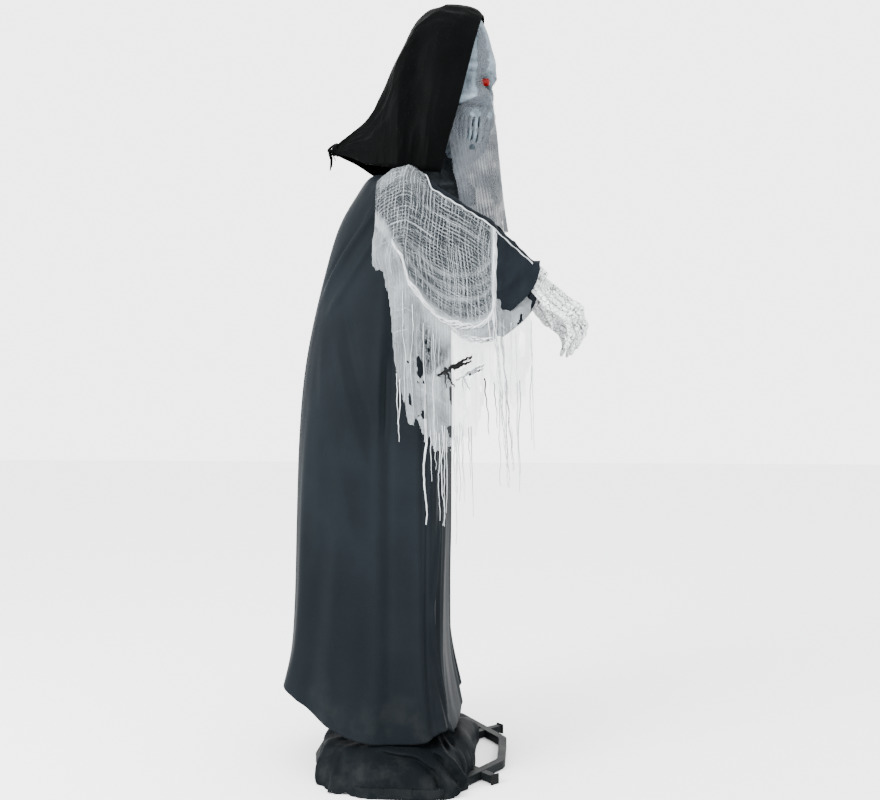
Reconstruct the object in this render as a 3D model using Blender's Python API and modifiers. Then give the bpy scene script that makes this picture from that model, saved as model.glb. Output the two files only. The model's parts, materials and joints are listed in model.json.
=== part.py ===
"""Animated ghost figure: a hooded, robed figure with a skull face and reaching hands.

It stands on a floor loop of square tube. A sleeved pole carries a turning motor at hip
height, which turns the torso: post, shoulder bar, body hoop, robe and control box. The
head turns on a second motor, the arms tilt on shoulder pins, and the hands swivel.

Units are metres. +X is the figure's left, -Y is the way it faces and +Z is up. The
origin is on the floor, on the axis of the pole.
"""

import math

import bmesh
import bpy
from mathutils import Matrix, Vector

# Clearances and wall values that several pieces share
GAP = 0.0003
OVERRUN = 0.002
MERGE = 0.00001
CLOTH = 0.002
PUSH_FIT = 0.0003
TURN_CLEARANCE = 0.0015

# Overall figure
FIGURE_HEIGHT = 2.130
SHOULDER_HEIGHT = 1.575
SHOULDER_SIDE = 0.2465
ELBOW_FORWARD = 0.205
ELBOW_HEIGHT = 1.446
WRIST_SIDE = 0.262
WRIST_FORWARD = 0.318
WRIST_HEIGHT = 1.345

# Floor frame: an octagonal loop in two halves, each welded to a pair of legs
LOOP_TUBE = 0.022
LEG_TUBE = 0.020
TUBE_WALL = 0.0018
LOOP_FRONT = 0.230
LOOP_REAR = 0.275
LOOP_SIDE_FRONT = 0.080
LOOP_SIDE_REAR = 0.125
LOOP_HALF_WIDTH = 0.330
LOOP_NOSE_HALF = 0.0925
LOOP_BEND = 0.045
LOOP_SPLIT = 0.0225
BEND_STEPS = 4
LEG_REACH = 0.305
LEG_ANGLE = math.radians(45)
LEG_START = 0.034
CAP_PLUG = 0.018
CAP_HEAD = 0.004
FLOOR_LIFT = 0.0022
JOINER_LENGTH = 0.070
JOINER_WALL = 0.0015

# Hub at the middle of the floor frame
HUB_RADIUS = 0.058
HUB_PLATE = 0.004
HUB_FOOT_RADIUS = 0.030
SOCKET_HEIGHT = 0.085
SOCKET_WALL = 0.003
BOLT_RADIUS = 0.003
BOLT_HEAD_RADIUS = 0.0055
BOLT_HEAD = 0.004
BOLT_CIRCLE = 0.045

# Poles, which push into each other and lock with sprung buttons
POLE_RADIUS = 0.0125
POLE_WALL = 0.0012
LOWER_POLE_TOP = 0.600
SPIGOT_LENGTH = 0.070
SHOULDER_STEP = 0.004
POLE_SIDES = 16
BUTTON_RADIUS = 0.0035
BUTTON_PROUD = 0.0028
BUTTON_SPRING_LENGTH = 0.034
BUTTON_SPRING_WIDTH = 0.006
BUTTON_SPRING = 0.0006
SOCKET_BUTTON_RISE = 0.052
POLE_BUTTON_DROP = 0.035

# Turning motor at hip height
HOUSING_BOTTOM = 1.100
HOUSING_RADIUS = 0.043
HOUSING_WALL = 0.0025
HOUSING_COLLAR = 0.030
HOUSING_COLLAR_WALL = 0.004
LID_THICKNESS = 0.004
LID_BOSS = 0.003
MOTOR_RADIUS = 0.0185
MOTOR_LENGTH = 0.046
GEARBOX_HEIGHT = 0.026
SPINDLE_RADIUS = 0.006
SPINDLE_REACH = 0.010
COUPLING_RADIUS = 0.028
COUPLING_THICKNESS = 0.007
COUPLING_SPIGOT = 0.030
COUPLING_CLEARANCE = 0.0008

# Torso: post, shoulder bar and body hoop
POST_TOP_DROP = 0.012
BAR_RADIUS = 0.011
BAR_HALF = 0.205
BAR_BORE_DEPTH = 0.030
TEE_RADIUS = 0.017
TEE_HEIGHT = 0.060
HOOP_WIRE = 0.0035
HOOP_HEIGHT = 1.050
HOOP_FRONT = 0.052
HOOP_REAR = 0.300
HOOP_HALF_WIDTH = 0.222
HOOP_POINTS = 20
HOOP_SQUARENESS = 3.0
STRUT_SIDE = 0.196

# Control box behind the post, with its batteries
BOX_WIDTH = 0.106
BOX_HEIGHT = 0.150
BOX_DEPTH = 0.046
BOX_WALL = 0.0025
BOX_BOTTOM = 1.285
BOX_EDGE = 0.004
BAY_HEIGHT = 0.072
BAY_BOTTOM = 0.012
DOOR_THICKNESS = 0.0025
DOOR_LAP = 0.006
CELL_RADIUS = 0.00725
CELL_LENGTH = 0.0485
CELL_NIPPLE = 0.0015
CELL_NIPPLE_RADIUS = 0.0026
CELL_COUNT = 3
CELL_SPACING = 0.0195
SPEAKER_RADIUS = 0.021
SPEAKER_PLATE = 0.003
SPEAKER_RISE = 0.117
SPEAKER_SLOTS = 5
SPEAKER_SLOT = 0.0022
SPEAKER_SLOT_PITCH = 0.0058
SWITCH_WIDTH = 0.007
SWITCH_LENGTH = 0.009
SWITCH_PROUD = 0.004
SWITCH_TRAVEL = 0.003
SWITCH_FLANGE = 0.0015
SWITCH_RISE = 0.112
CLIP_WIDTH = 0.024
SENSOR_RISE = 1.455
SENSOR_RADIUS = 0.013
SENSOR_DEPTH = 0.026
SENSOR_WALL = 0.002

# Neck
NECK_FORWARD = 0.042
BRACKET_THICKNESS = 0.004
BRACKET_HALF_WIDTH = 0.020
HEAD_MOTOR_RADIUS = 0.019
HEAD_MOTOR_HEIGHT = 0.026
NECK_RADIUS = 0.009
NECK_WALL = 0.0015
NECK_COLLAR_RADIUS = 0.038
NECK_COLLAR_WALL = 0.004
NECK_COLLAR_BOTTOM = 1.700
NECK_COLLAR_HEIGHT = 0.058
NECK_PLUG_LIP = 0.004
NECK_PLUG_THICKNESS = 0.014
NECK_TUBE_RISE = 0.030

# Skull mask
SKULL_FORWARD = 0.098
SKULL_HEIGHT = 1.893
SKULL_HALF_DEPTH = 0.113
SKULL_HALF_WIDTH = 0.084
SKULL_WALL = 0.0035
SKULL_COLUMNS = 26
SKULL_ROWS = 17
SKULL_SQUARENESS = 2.3
EYE_SIDE = 0.035
EYE_HEIGHT = 1.893
EYE_RADIUS = 0.0105
EYE_DOME = 0.006
EYE_LENGTH = 0.030

# Hood and veil
VEIL_HALF_ANGLE = math.radians(78)
VEIL_HALF_WIDTH = 0.094
VEIL_OFFSET = 0.0027
VEIL_ROWS = 8
VEIL_COLUMNS = 18
VEIL_TOP = 1.797
VEIL_BOTTOM = 1.476
VEIL_FRONT_BOTTOM = 0.236
VEIL_EDGE_BOTTOM = 0.122
VEIL_FOLD = 0.005
TIE_RADIUS = 0.0016
TIE_LENGTH = 0.062

# Robe
ROBE_POINTS = 32
PIN_HOLE_RADIUS = 0.008

# Base skirt
SKIRT_POINTS = 36

# Arms, sleeves and shawls
ARM_RADIUS = 0.0095
ARM_EYE_RADIUS = 0.019
ARM_EYE_HALF = 0.0105
PIN_RADIUS = 0.005
PIN_HEAD_RADIUS = 0.010
PIN_HEAD = 0.004
ARM_BORE_DEPTH = 0.036
PLUG_RADIUS = 0.0065
SLEEVE_HALF_WIDTH = 0.040
SLEEVE_OUTSET = 0.004
SLEEVE_POINTS = 16
SLEEVE_RISE_SHARE = 1.28
SHAWL_COLUMNS = 24
SHAWL_ROWS = 6
SHAWL_INSIDE = 0.250
SHAWL_CREST = 0.0425
SHAWL_SHOULDER = 0.050
SHAWL_REAR_DROP_SHARE = 0.49
SHAWL_DRIFT = 0.020

# Hands
PALM_LENGTH = 0.096
PALM_HALF_WIDTH = 0.040
PALM_THICKNESS = 0.0155
FINGER_RADIUS = 0.0108
FINGER_PITCH = 0.021
THUMB_RADIUS = 0.0098
HAND_WRIST_RADIUS = 0.0185
HAND_START = 0.003
HAND_BORE_DEPTH = 0.022
HAND_DROP = 0.026
HAND_ROLL = math.radians(45)
FINGER_BASE = 0.094
FINGER_BONE = 0.068
FINGER_TIP_BONE = 0.057


def at(side, forward, up):
    """Return a world point from how far left, forward and up it lies."""
    return Vector((side, -forward, up))


def clear_scene():
    """Remove every object that the scene holds."""
    for item in list(bpy.data.objects):
        bpy.data.objects.remove(item)


def new_collection(name):
    """Make a collection in the scene and return it."""
    group = bpy.data.collections.new(name)
    bpy.context.scene.collection.children.link(group)
    return group


def material(name, color, roughness, metallic=0.0):
    """Make a Principled material from a colour, a roughness and a metallic value."""
    made = bpy.data.materials.new(name)
    made.use_nodes = True
    shader = made.node_tree.nodes["Principled BSDF"]
    shader.inputs["Base Color"].default_value = (*color, 1.0)
    shader.inputs["Roughness"].default_value = roughness
    shader.inputs["Metallic"].default_value = metallic
    return made


def move_to(item, group):
    """Put an object in one collection only."""
    for owner in list(item.users_collection):
        owner.objects.unlink(item)
    group.objects.link(item)


def add_mesh(name, mesh, group):
    """Make an object from a mesh and put it in a collection."""
    item = bpy.data.objects.new(name, mesh)
    group.objects.link(item)
    return item


def finish(item, name, group, finish_material, smooth_angle=math.radians(40)):
    """Name a finished piece, file it, give it its material and shade it."""
    item.name = name
    item.data.name = name
    move_to(item, group)
    item.data.materials.clear()
    item.data.materials.append(finish_material)
    item.data.shade_smooth()
    item.data.set_sharp_from_angle(angle=smooth_angle)
    return item


def mesh_from(fill):
    """Return a mesh that a function fills through a bmesh."""
    made = bpy.data.meshes.new("shape")
    work = bmesh.new()
    fill(work)
    bmesh.ops.recalc_face_normals(work, faces=work.faces)
    work.to_mesh(made)
    work.free()
    return made


def block(low, high, group):
    """Return a box between two corners."""
    low, high = Vector(low), Vector(high)
    size = high - low

    def fill(work):
        bmesh.ops.create_cube(work, size=1.0)
        bmesh.ops.scale(work, vec=size, verts=work.verts)
        bmesh.ops.translate(work, vec=(low + high) / 2, verts=work.verts)

    return add_mesh("block", mesh_from(fill), group)


def rod(start, end, radius, group, sides=16, end_radius=None):
    """Return a cylinder or cone between two points."""
    start, end = Vector(start), Vector(end)
    along = end - start
    turn = Vector((0, 0, 1)).rotation_difference(along).to_matrix().to_4x4()
    place = Matrix.Translation((start + end) / 2) @ turn

    def fill(work):
        bmesh.ops.create_cone(
            work, cap_ends=True, segments=sides, radius1=radius,
            radius2=radius if end_radius is None else end_radius,
            depth=along.length, matrix=place)

    return add_mesh("rod", mesh_from(fill), group)


def ball(center, radii, group, columns=16, rows=10):
    """Return a sphere that is scaled to three radii."""
    def fill(work):
        bmesh.ops.create_uvsphere(work, u_segments=columns, v_segments=rows, radius=1.0)
        bmesh.ops.scale(work, vec=radii, verts=work.verts)
        bmesh.ops.translate(work, vec=Vector(center), verts=work.verts)

    return add_mesh("ball", mesh_from(fill), group)


def turned(profile, foot, group, sides=20, direction=(0, 0, 1)):
    """Return a turned shape: a closed profile of (radius, height) spun by a Screw."""
    made = bpy.data.meshes.new("profile")
    work = bmesh.new()
    points = [work.verts.new((radius, 0, height)) for radius, height in profile]
    for first, second in zip(points, points[1:] + points[:1]):
        if first.co.x > 0 or second.co.x > 0:
            work.edges.new((first, second))
    work.to_mesh(made)
    work.free()
    item = add_mesh("turned", made, group)
    spin = item.modifiers.new("spin", "SCREW")
    spin.steps = sides
    spin.render_steps = sides
    spin.use_merge_vertices = True
    spin.merge_threshold = MERGE
    spin.use_normal_calculate = True
    turn = Vector((0, 0, 1)).rotation_difference(Vector(direction)).to_matrix().to_4x4()
    return applied(item, Matrix.Translation(foot) @ turn, group)


def applied(item, place, group):
    """Return a mesh object with the item's modifiers applied, moved to its place."""
    graph = bpy.context.evaluated_depsgraph_get()
    made = bpy.data.meshes.new_from_object(item.evaluated_get(graph))
    work = bmesh.new()
    work.from_mesh(made)
    bmesh.ops.remove_doubles(work, verts=work.verts, dist=MERGE)
    bmesh.ops.transform(work, matrix=place @ item.matrix_world, verts=work.verts)
    bmesh.ops.recalc_face_normals(work, faces=work.faces)
    work.to_mesh(made)
    work.free()
    bpy.data.objects.remove(item)
    return add_mesh("shape", made, group)


def tube(points, radius, group, resolution=2, cyclic=False, tilt=0.0, radii=None):
    """Return a tube along points: a curve with a bevel and filled caps, made a mesh."""
    path = bpy.data.curves.new("path", "CURVE")
    path.dimensions = "3D"
    path.twist_mode = "Z_UP"
    path.bevel_depth = radius
    path.bevel_resolution = resolution
    path.use_fill_caps = True
    spline = path.splines.new("POLY")
    spline.points.add(len(points) - 1)
    shares = radii or [1.0] * len(points)
    for spot, place, share in zip(spline.points, points, shares):
        spot.co = (*place, 1.0)
        spot.radius = share
        spot.tilt = tilt
    spline.use_cyclic_u = cyclic
    item = bpy.data.objects.new("path", path)
    group.objects.link(item)
    return applied(item, Matrix.Identity(4), group)


def square_tube(points, side, group):
    """Return a square bar along points: four bevel sides, tilted to lie flat."""
    return tube(points, side / math.sqrt(2), group, resolution=0, tilt=math.radians(45))


def rounded_path(corners, radius, steps):
    """Return the points of a path whose inner corners are bent to arcs."""
    path = [Vector(corners[0])]
    for before, corner, after in zip(corners, corners[1:], corners[2:]):
        corner = Vector(corner)
        back = (Vector(before) - corner).normalized()
        ahead = (Vector(after) - corner).normalized()
        half = back.angle(ahead) / 2
        tangent = radius / math.tan(half)
        middle = corner + (back + ahead).normalized() * (radius / math.sin(half))
        start = corner + back * tangent - middle
        end = corner + ahead * tangent - middle
        sweep = start.angle(end)
        for step in range(steps + 1):
            turn = Matrix.Rotation(sweep * step / steps, 3, start.cross(end))
            path.append(middle + turn @ start)
    path.append(Vector(corners[-1]))
    return path


def boolean(item, other, operation, keep_cutter=None):
    """Apply a Boolean of another object to an item, and remove or file the other."""
    change = item.modifiers.new(operation.lower(), "BOOLEAN")
    change.operation = operation
    change.object = other
    graph = bpy.context.evaluated_depsgraph_get()
    made = bpy.data.meshes.new_from_object(item.evaluated_get(graph))
    item.modifiers.clear()
    item.data = made
    if keep_cutter is None:
        bpy.data.objects.remove(other)
    else:
        move_to(other, keep_cutter)
        other.hide_render = True
        other.display_type = "WIRE"
    return item


def join(item, *others):
    """Weld other shapes to an item by Boolean union."""
    for other in others:
        boolean(item, other, "UNION")
    return item


def cut(item, *cutters):
    """Cut other shapes out of an item."""
    for cutter in cutters:
        boolean(item, cutter, "DIFFERENCE")
    return item


def soften(item, width, segments=1):
    """Round an item's edges with a Bevel and apply it."""
    edge = item.modifiers.new("edges", "BEVEL")
    edge.width = width
    edge.segments = segments
    edge.limit_method = "ANGLE"
    edge.angle_limit = math.radians(35)
    graph = bpy.context.evaluated_depsgraph_get()
    made = bpy.data.meshes.new_from_object(item.evaluated_get(graph))
    item.modifiers.clear()
    item.data = made
    return item


def sheet(rows, thickness, group, closed=False, offset=0.0):
    """Return cloth of a thickness, lofted through rows of points, closed or open."""
    def fill(work):
        lines = [[work.verts.new(point) for point in row] for row in rows]
        for upper, lower in zip(lines, lines[1:]):
            count = len(upper) if closed else len(upper) - 1
            for index in range(count):
                after = (index + 1) % len(upper)
                corners = (upper[index], upper[after], lower[after], lower[index])
                work.faces.new(corners)

    item = add_mesh("sheet", mesh_from(fill), group)
    wall = item.modifiers.new("cloth", "SOLIDIFY")
    wall.thickness = thickness
    wall.offset = offset
    wall.use_even_offset = True
    wall.use_quality_normals = True
    return applied(item, Matrix.Identity(4), group)


def between(value, table):
    """Read a smooth curve through a table of (share, value) rows."""
    if value <= table[0][0]:
        return table[0][1]
    for (low, start), (high, end) in zip(table, table[1:]):
        if value <= high:
            share = (value - low) / (high - low)
            return start + (end - start) * share * share * (3 - 2 * share)
    return table[-1][1]


# Heights that follow from the sizes above
TUBE_HEIGHT = FLOOR_LIFT + LOOP_TUBE / 2
LEG_TOP = TUBE_HEIGHT + LEG_TUBE / 2
PLATE_BOTTOM = LEG_TOP + GAP
PLATE_TOP = PLATE_BOTTOM + HUB_PLATE
POLE_BORE = POLE_RADIUS - POLE_WALL
SPIGOT_RADIUS = POLE_BORE - PUSH_FIT
SOCKET_BORE = POLE_RADIUS + PUSH_FIT
SOCKET_RADIUS = SOCKET_BORE + SOCKET_WALL
MOTOR_BOTTOM = HOUSING_BOTTOM + HOUSING_WALL + GAP
GEARBOX_BOTTOM = MOTOR_BOTTOM + MOTOR_LENGTH
GEARBOX_TOP = GEARBOX_BOTTOM + GEARBOX_HEIGHT
LID_BOTTOM = GEARBOX_TOP + GAP
LID_TOP = LID_BOTTOM + LID_THICKNESS + LID_BOSS
COUPLING_BOTTOM = LID_TOP + COUPLING_CLEARANCE
COUPLING_TOP = COUPLING_BOTTOM + COUPLING_THICKNESS
POST_BOTTOM = COUPLING_TOP + GAP
POST_TOP = SHOULDER_HEIGHT - POST_TOP_DROP
TEE_TOP = SHOULDER_HEIGHT + BAR_RADIUS + GAP
BRACKET_BOTTOM = TEE_TOP + GAP
BRACKET_TOP = BRACKET_BOTTOM + BRACKET_THICKNESS
HEAD_MOTOR_BOTTOM = BRACKET_TOP + GAP
HEAD_MOTOR_TOP = HEAD_MOTOR_BOTTOM + HEAD_MOTOR_HEIGHT
NECK_BORE = NECK_RADIUS - NECK_WALL
COLLAR_BORE = NECK_COLLAR_RADIUS - NECK_COLLAR_WALL


def leg_point(reach, turn, height=TUBE_HEIGHT):
    """Return the point at a reach along a leg, which lies at a turn from the front."""
    return at(reach * math.sin(turn), reach * math.cos(turn), height)


def floor_frame(name, front, group, steel):
    """Make one half of the floor loop with its two legs welded to it."""
    sign = 1 if front else -1
    reach = LOOP_FRONT if front else LOOP_REAR
    side_end = LOOP_SIDE_FRONT if front else LOOP_SIDE_REAR
    split = -LOOP_SPLIT + sign * GAP
    corners = [
        at(LOOP_HALF_WIDTH, split, TUBE_HEIGHT),
        at(LOOP_HALF_WIDTH, sign * side_end, TUBE_HEIGHT),
        at(LOOP_NOSE_HALF, sign * reach, TUBE_HEIGHT),
        at(-LOOP_NOSE_HALF, sign * reach, TUBE_HEIGHT),
        at(-LOOP_HALF_WIDTH, sign * side_end, TUBE_HEIGHT),
        at(-LOOP_HALF_WIDTH, split, TUBE_HEIGHT),
    ]
    frame = square_tube(rounded_path(corners, LOOP_BEND, BEND_STEPS), LOOP_TUBE, group)
    middle = 0 if front else math.pi
    for turn in (middle - LEG_ANGLE, middle + LEG_ANGLE):
        ends = [leg_point(LEG_START, turn), leg_point(LEG_REACH, turn)]
        join(frame, square_tube(ends, LEG_TUBE, group))
        pocket = [leg_point(LEG_REACH - CAP_PLUG - OVERRUN, turn),
                  leg_point(LEG_REACH + OVERRUN, turn)]
        cut(frame, square_tube(pocket, LEG_TUBE - 2 * TUBE_WALL, group))
        hole = leg_point(BOLT_CIRCLE, turn)
        reach_down = Vector((0, 0, LEG_TUBE))
        cut(frame, rod(hole - reach_down, hole + reach_down, BOLT_RADIUS + GAP, group, 12))
    return finish(frame, name, group, steel, math.radians(30))


def leg_cap(name, turn, group, plastic):
    """Make the plastic cap that plugs a leg's end and stands on the floor."""
    head = [leg_point(LEG_REACH + GAP, turn), leg_point(LEG_REACH + GAP + CAP_HEAD, turn)]
    plug = [leg_point(LEG_REACH - CAP_PLUG, turn), leg_point(LEG_REACH + 2 * GAP, turn)]
    cap = square_tube(head, 2 * TUBE_HEIGHT, group)
    join(cap, square_tube(plug, LEG_TUBE - 2 * TUBE_WALL - 2 * GAP, group))
    return finish(cap, name, group, plastic)


def loop_joiner(name, side, group, steel):
    """Make the square sleeve that holds the two halves of the loop end to end."""
    inner = LOOP_TUBE + 2 * GAP
    outer = inner + 2 * JOINER_WALL
    middle = at(side * LOOP_HALF_WIDTH, -LOOP_SPLIT, TUBE_HEIGHT)
    half = Vector((0, JOINER_LENGTH / 2, 0))
    run = Vector((0, OVERRUN, 0))
    sleeve = square_tube([middle - half, middle + half], outer, group)
    cut(sleeve, square_tube([middle - half - run, middle + half + run], inner, group))
    return finish(sleeve, name, group, steel)


def hub_foot(group, rubber):
    """Make the round foot under the hub, which carries the pole's end."""
    chamfer = HUB_FOOT_RADIUS / 10
    profile = [(0, PLATE_BOTTOM - GAP), (HUB_FOOT_RADIUS, PLATE_BOTTOM - GAP),
               (HUB_FOOT_RADIUS, chamfer), (HUB_FOOT_RADIUS - chamfer, 0), (0, 0)]
    foot = turned(profile, Vector(), group)
    return finish(foot, "hub_foot", group, rubber)


def hub_socket(group, steel, cutters):
    """Make the bolted plate and the upright socket that the lower pole stands in."""
    socket_top = PLATE_TOP + SOCKET_HEIGHT
    weld = SOCKET_WALL
    profile = [(SOCKET_RADIUS, socket_top), (SOCKET_RADIUS, PLATE_TOP + weld),
               (SOCKET_RADIUS + weld, PLATE_TOP), (HUB_RADIUS, PLATE_TOP),
               (HUB_RADIUS, PLATE_BOTTOM), (SOCKET_BORE, PLATE_BOTTOM),
               (SOCKET_BORE, socket_top)]
    hub = turned(profile, Vector(), group)
    for index in range(4):
        turn = LEG_ANGLE + index * math.pi / 2
        hole = leg_point(BOLT_CIRCLE, turn, PLATE_TOP)
        deep = Vector((0, 0, HUB_PLATE + OVERRUN))
        cut(hub, rod(hole - deep, hole + deep, BOLT_RADIUS + GAP, group, 12))
    hole = at(-SOCKET_RADIUS, 0, PLATE_TOP + SOCKET_BUTTON_RISE)
    drill = rod(hole - Vector((OVERRUN, 0, 0)), hole + Vector((SOCKET_RADIUS, 0, 0)),
                BUTTON_RADIUS + GAP, group, 12)
    boolean(hub, drill, "DIFFERENCE", keep_cutter=cutters)
    return finish(hub, "hub_socket", group, steel)


def hub_bolt(name, turn, group, steel):
    """Make one bolt that holds a leg under the hub plate."""
    foot = leg_point(BOLT_CIRCLE, turn, LEG_TOP - LEG_TUBE + TUBE_WALL)
    head = leg_point(BOLT_CIRCLE, turn, PLATE_TOP + GAP)
    top = head + Vector((0, 0, BOLT_HEAD))
    bolt = rod(head, top, BOLT_HEAD_RADIUS, group, 6)
    join(bolt, rod(foot, head + Vector((0, 0, BOLT_HEAD / 2)), BOLT_RADIUS, group, 12))
    return finish(bolt, name, group, steel)


def lower_pole(group, steel):
    """Make the tube that stands in the hub, with its two button holes."""
    foot = PLATE_BOTTOM
    profile = [(POLE_RADIUS, LOWER_POLE_TOP), (POLE_RADIUS, foot), (POLE_BORE, foot),
               (POLE_BORE, LOWER_POLE_TOP)]
    pole = turned(profile, Vector(), group, sides=POLE_SIDES)
    for height in (PLATE_TOP + SOCKET_BUTTON_RISE, LOWER_POLE_TOP - POLE_BUTTON_DROP):
        hole = at(-POLE_RADIUS, 0, height)
        drill = rod(hole - Vector((OVERRUN, 0, 0)), hole + Vector((POLE_RADIUS, 0, 0)),
                    BUTTON_RADIUS + GAP, group, 12)
        cut(pole, drill)
    return finish(pole, "lower_pole", group, steel)


def upper_pole(group, steel):
    """Make the tube whose swaged end pushes into the lower pole."""
    seat = LOWER_POLE_TOP + GAP
    foot = LOWER_POLE_TOP - SPIGOT_LENGTH
    top = HOUSING_BOTTOM - GAP
    spigot_bore = SPIGOT_RADIUS - POLE_WALL
    profile = [(POLE_RADIUS, top), (POLE_RADIUS, seat), (SPIGOT_RADIUS, seat),
               (SPIGOT_RADIUS, foot), (spigot_bore, foot),
               (spigot_bore, seat), (POLE_BORE, seat + SHOULDER_STEP), (POLE_BORE, top)]
    pole = turned(profile, Vector(), group, sides=POLE_SIDES)
    hole = at(-SPIGOT_RADIUS, 0, LOWER_POLE_TOP - POLE_BUTTON_DROP)
    drill = rod(hole - Vector((OVERRUN, 0, 0)), hole + Vector((SPIGOT_RADIUS, 0, 0)),
                BUTTON_RADIUS + GAP, group, 12)
    cut(pole, drill)
    return finish(pole, "upper_pole", group, steel)


def snap_button(name, outer_radius, bore, height, group, steel):
    """Make a sprung button: a domed pin through two walls, on a leaf inside the tube."""
    leaf_face = bore - 2 * BUTTON_SPRING
    tip = at(-outer_radius - BUTTON_PROUD, 0, height)
    root = at(-leaf_face + BUTTON_SPRING / 2, 0, height)
    dome = at(-outer_radius - BUTTON_PROUD / 2, 0, height)
    pin = rod(dome, tip, BUTTON_RADIUS, group, 12, end_radius=BUTTON_RADIUS / 2)
    join(pin, rod(dome + Vector((-MERGE, 0, 0)), root, BUTTON_RADIUS, group, 12))
    low = (-leaf_face, -BUTTON_SPRING_WIDTH / 2, height - BUTTON_SPRING_WIDTH)
    high = (-leaf_face + BUTTON_SPRING, BUTTON_SPRING_WIDTH / 2,
            height + BUTTON_SPRING_LENGTH - BUTTON_SPRING_WIDTH)
    join(pin, block(low, high, group))
    return finish(pin, name, group, steel)


def motor_housing(group, plastic):
    """Make the cup that holds the turning motor and sits on the pole's top."""
    rim = LID_BOTTOM - GAP
    inside = HOUSING_RADIUS - HOUSING_WALL
    collar = SOCKET_BORE + HOUSING_COLLAR_WALL
    collar_foot = HOUSING_BOTTOM - HOUSING_COLLAR
    floor = HOUSING_BOTTOM + HOUSING_WALL
    profile = [(0, floor), (inside, floor), (inside, rim), (HOUSING_RADIUS, rim),
               (HOUSING_RADIUS, HOUSING_BOTTOM + HOUSING_WALL),
               (HOUSING_RADIUS - HOUSING_WALL, HOUSING_BOTTOM),
               (collar, HOUSING_BOTTOM), (collar, collar_foot),
               (SOCKET_BORE, collar_foot), (SOCKET_BORE, HOUSING_BOTTOM),
               (0, HOUSING_BOTTOM)]
    cup = turned(profile, Vector(), group)
    return finish(cup, "motor_housing", group, plastic)


def motor_lid(group, plastic):
    """Make the lid that closes the motor housing, with a boss round the spindle."""
    bore = SPINDLE_RADIUS + TURN_CLEARANCE
    shoulder = LID_BOTTOM + LID_THICKNESS
    boss = bore + 2 * HOUSING_WALL
    profile = [(boss, LID_TOP), (boss, shoulder),
               (HOUSING_RADIUS - HOUSING_WALL, shoulder),
               (HOUSING_RADIUS, shoulder - HOUSING_WALL / 2),
               (HOUSING_RADIUS, LID_BOTTOM), (bore, LID_BOTTOM), (bore, LID_TOP)]
    lid = turned(profile, Vector(), group)
    return finish(lid, "motor_lid", group, plastic)


def turn_motor(group, steel):
    """Make the geared motor: a can below a wide gearbox with a bored output."""
    gearbox = HOUSING_RADIUS - HOUSING_WALL - GAP
    bore = SPINDLE_RADIUS + GAP
    floor = GEARBOX_TOP - SPINDLE_REACH - GAP
    profile = [(gearbox, GEARBOX_TOP), (gearbox, GEARBOX_BOTTOM),
               (MOTOR_RADIUS, GEARBOX_BOTTOM), (MOTOR_RADIUS, MOTOR_BOTTOM),
               (0, MOTOR_BOTTOM), (0, floor), (bore, floor), (bore, GEARBOX_TOP)]
    motor = turned(profile, Vector(), group)
    return finish(motor, "turn_motor", group, steel)


def turn_coupling(group, steel):
    """Make the disc that the motor turns: a stub below and a spigot in the post."""
    spigot = POLE_BORE - PUSH_FIT
    profile = [(0, COUPLING_TOP + COUPLING_SPIGOT), (spigot, COUPLING_TOP + COUPLING_SPIGOT),
               (spigot, COUPLING_TOP), (COUPLING_RADIUS, COUPLING_TOP),
               (COUPLING_RADIUS, COUPLING_BOTTOM), (SPINDLE_RADIUS, COUPLING_BOTTOM),
               (SPINDLE_RADIUS, GEARBOX_TOP - SPINDLE_REACH),
               (0, GEARBOX_TOP - SPINDLE_REACH)]
    disc = turned(profile, Vector(), group)
    return finish(disc, "turn_coupling", group, steel)


def torso_post(group, steel):
    """Make the tube from the coupling up to the shoulder bar."""
    profile = [(POLE_RADIUS, POST_TOP), (POLE_RADIUS, POST_BOTTOM),
               (POLE_BORE, POST_BOTTOM), (POLE_BORE, POST_TOP)]
    post = turned(profile, Vector(), group, sides=POLE_SIDES)
    return finish(post, "torso_post", group, steel)


def shoulder_bar(group, steel):
    """Make the cross bar with the tee that sits on the post and a bore in each end."""
    bar = rod(at(-BAR_HALF, 0, SHOULDER_HEIGHT), at(BAR_HALF, 0, SHOULDER_HEIGHT),
              BAR_RADIUS, group, 20)
    join(bar, rod(at(0, 0, TEE_TOP - TEE_HEIGHT), at(0, 0, TEE_TOP), TEE_RADIUS, group, 20))
    cut(bar, rod(at(0, 0, TEE_TOP - TEE_HEIGHT - OVERRUN), at(0, 0, POST_TOP + GAP),
                 SOCKET_BORE, group, POLE_SIDES))
    for side in (-1, 1):
        start = at(side * (BAR_HALF - BAR_BORE_DEPTH), 0, SHOULDER_HEIGHT)
        end = at(side * (BAR_HALF + OVERRUN), 0, SHOULDER_HEIGHT)
        cut(bar, rod(start, end, PIN_RADIUS + GAP, group, 12))
    return finish(bar, "shoulder_bar", group, steel)


def shoulder_pin(name, side, group, steel):
    """Make the pin that an arm tilts on, pushed into the end of the shoulder bar."""
    inner = at(side * (BAR_HALF - BAR_BORE_DEPTH + GAP), 0, SHOULDER_HEIGHT)
    seat = side * (SHOULDER_SIDE + ARM_EYE_HALF + GAP)
    head = at(seat, 0, SHOULDER_HEIGHT)
    cap = at(seat + side * PIN_HEAD, 0, SHOULDER_HEIGHT)
    pin = rod(head, cap, PIN_HEAD_RADIUS, group, 16, end_radius=PIN_HEAD_RADIUS * 0.8)
    join(pin, rod(inner, (head + cap) / 2, PIN_RADIUS, group, 12))
    return finish(pin, name, group, steel)


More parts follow.
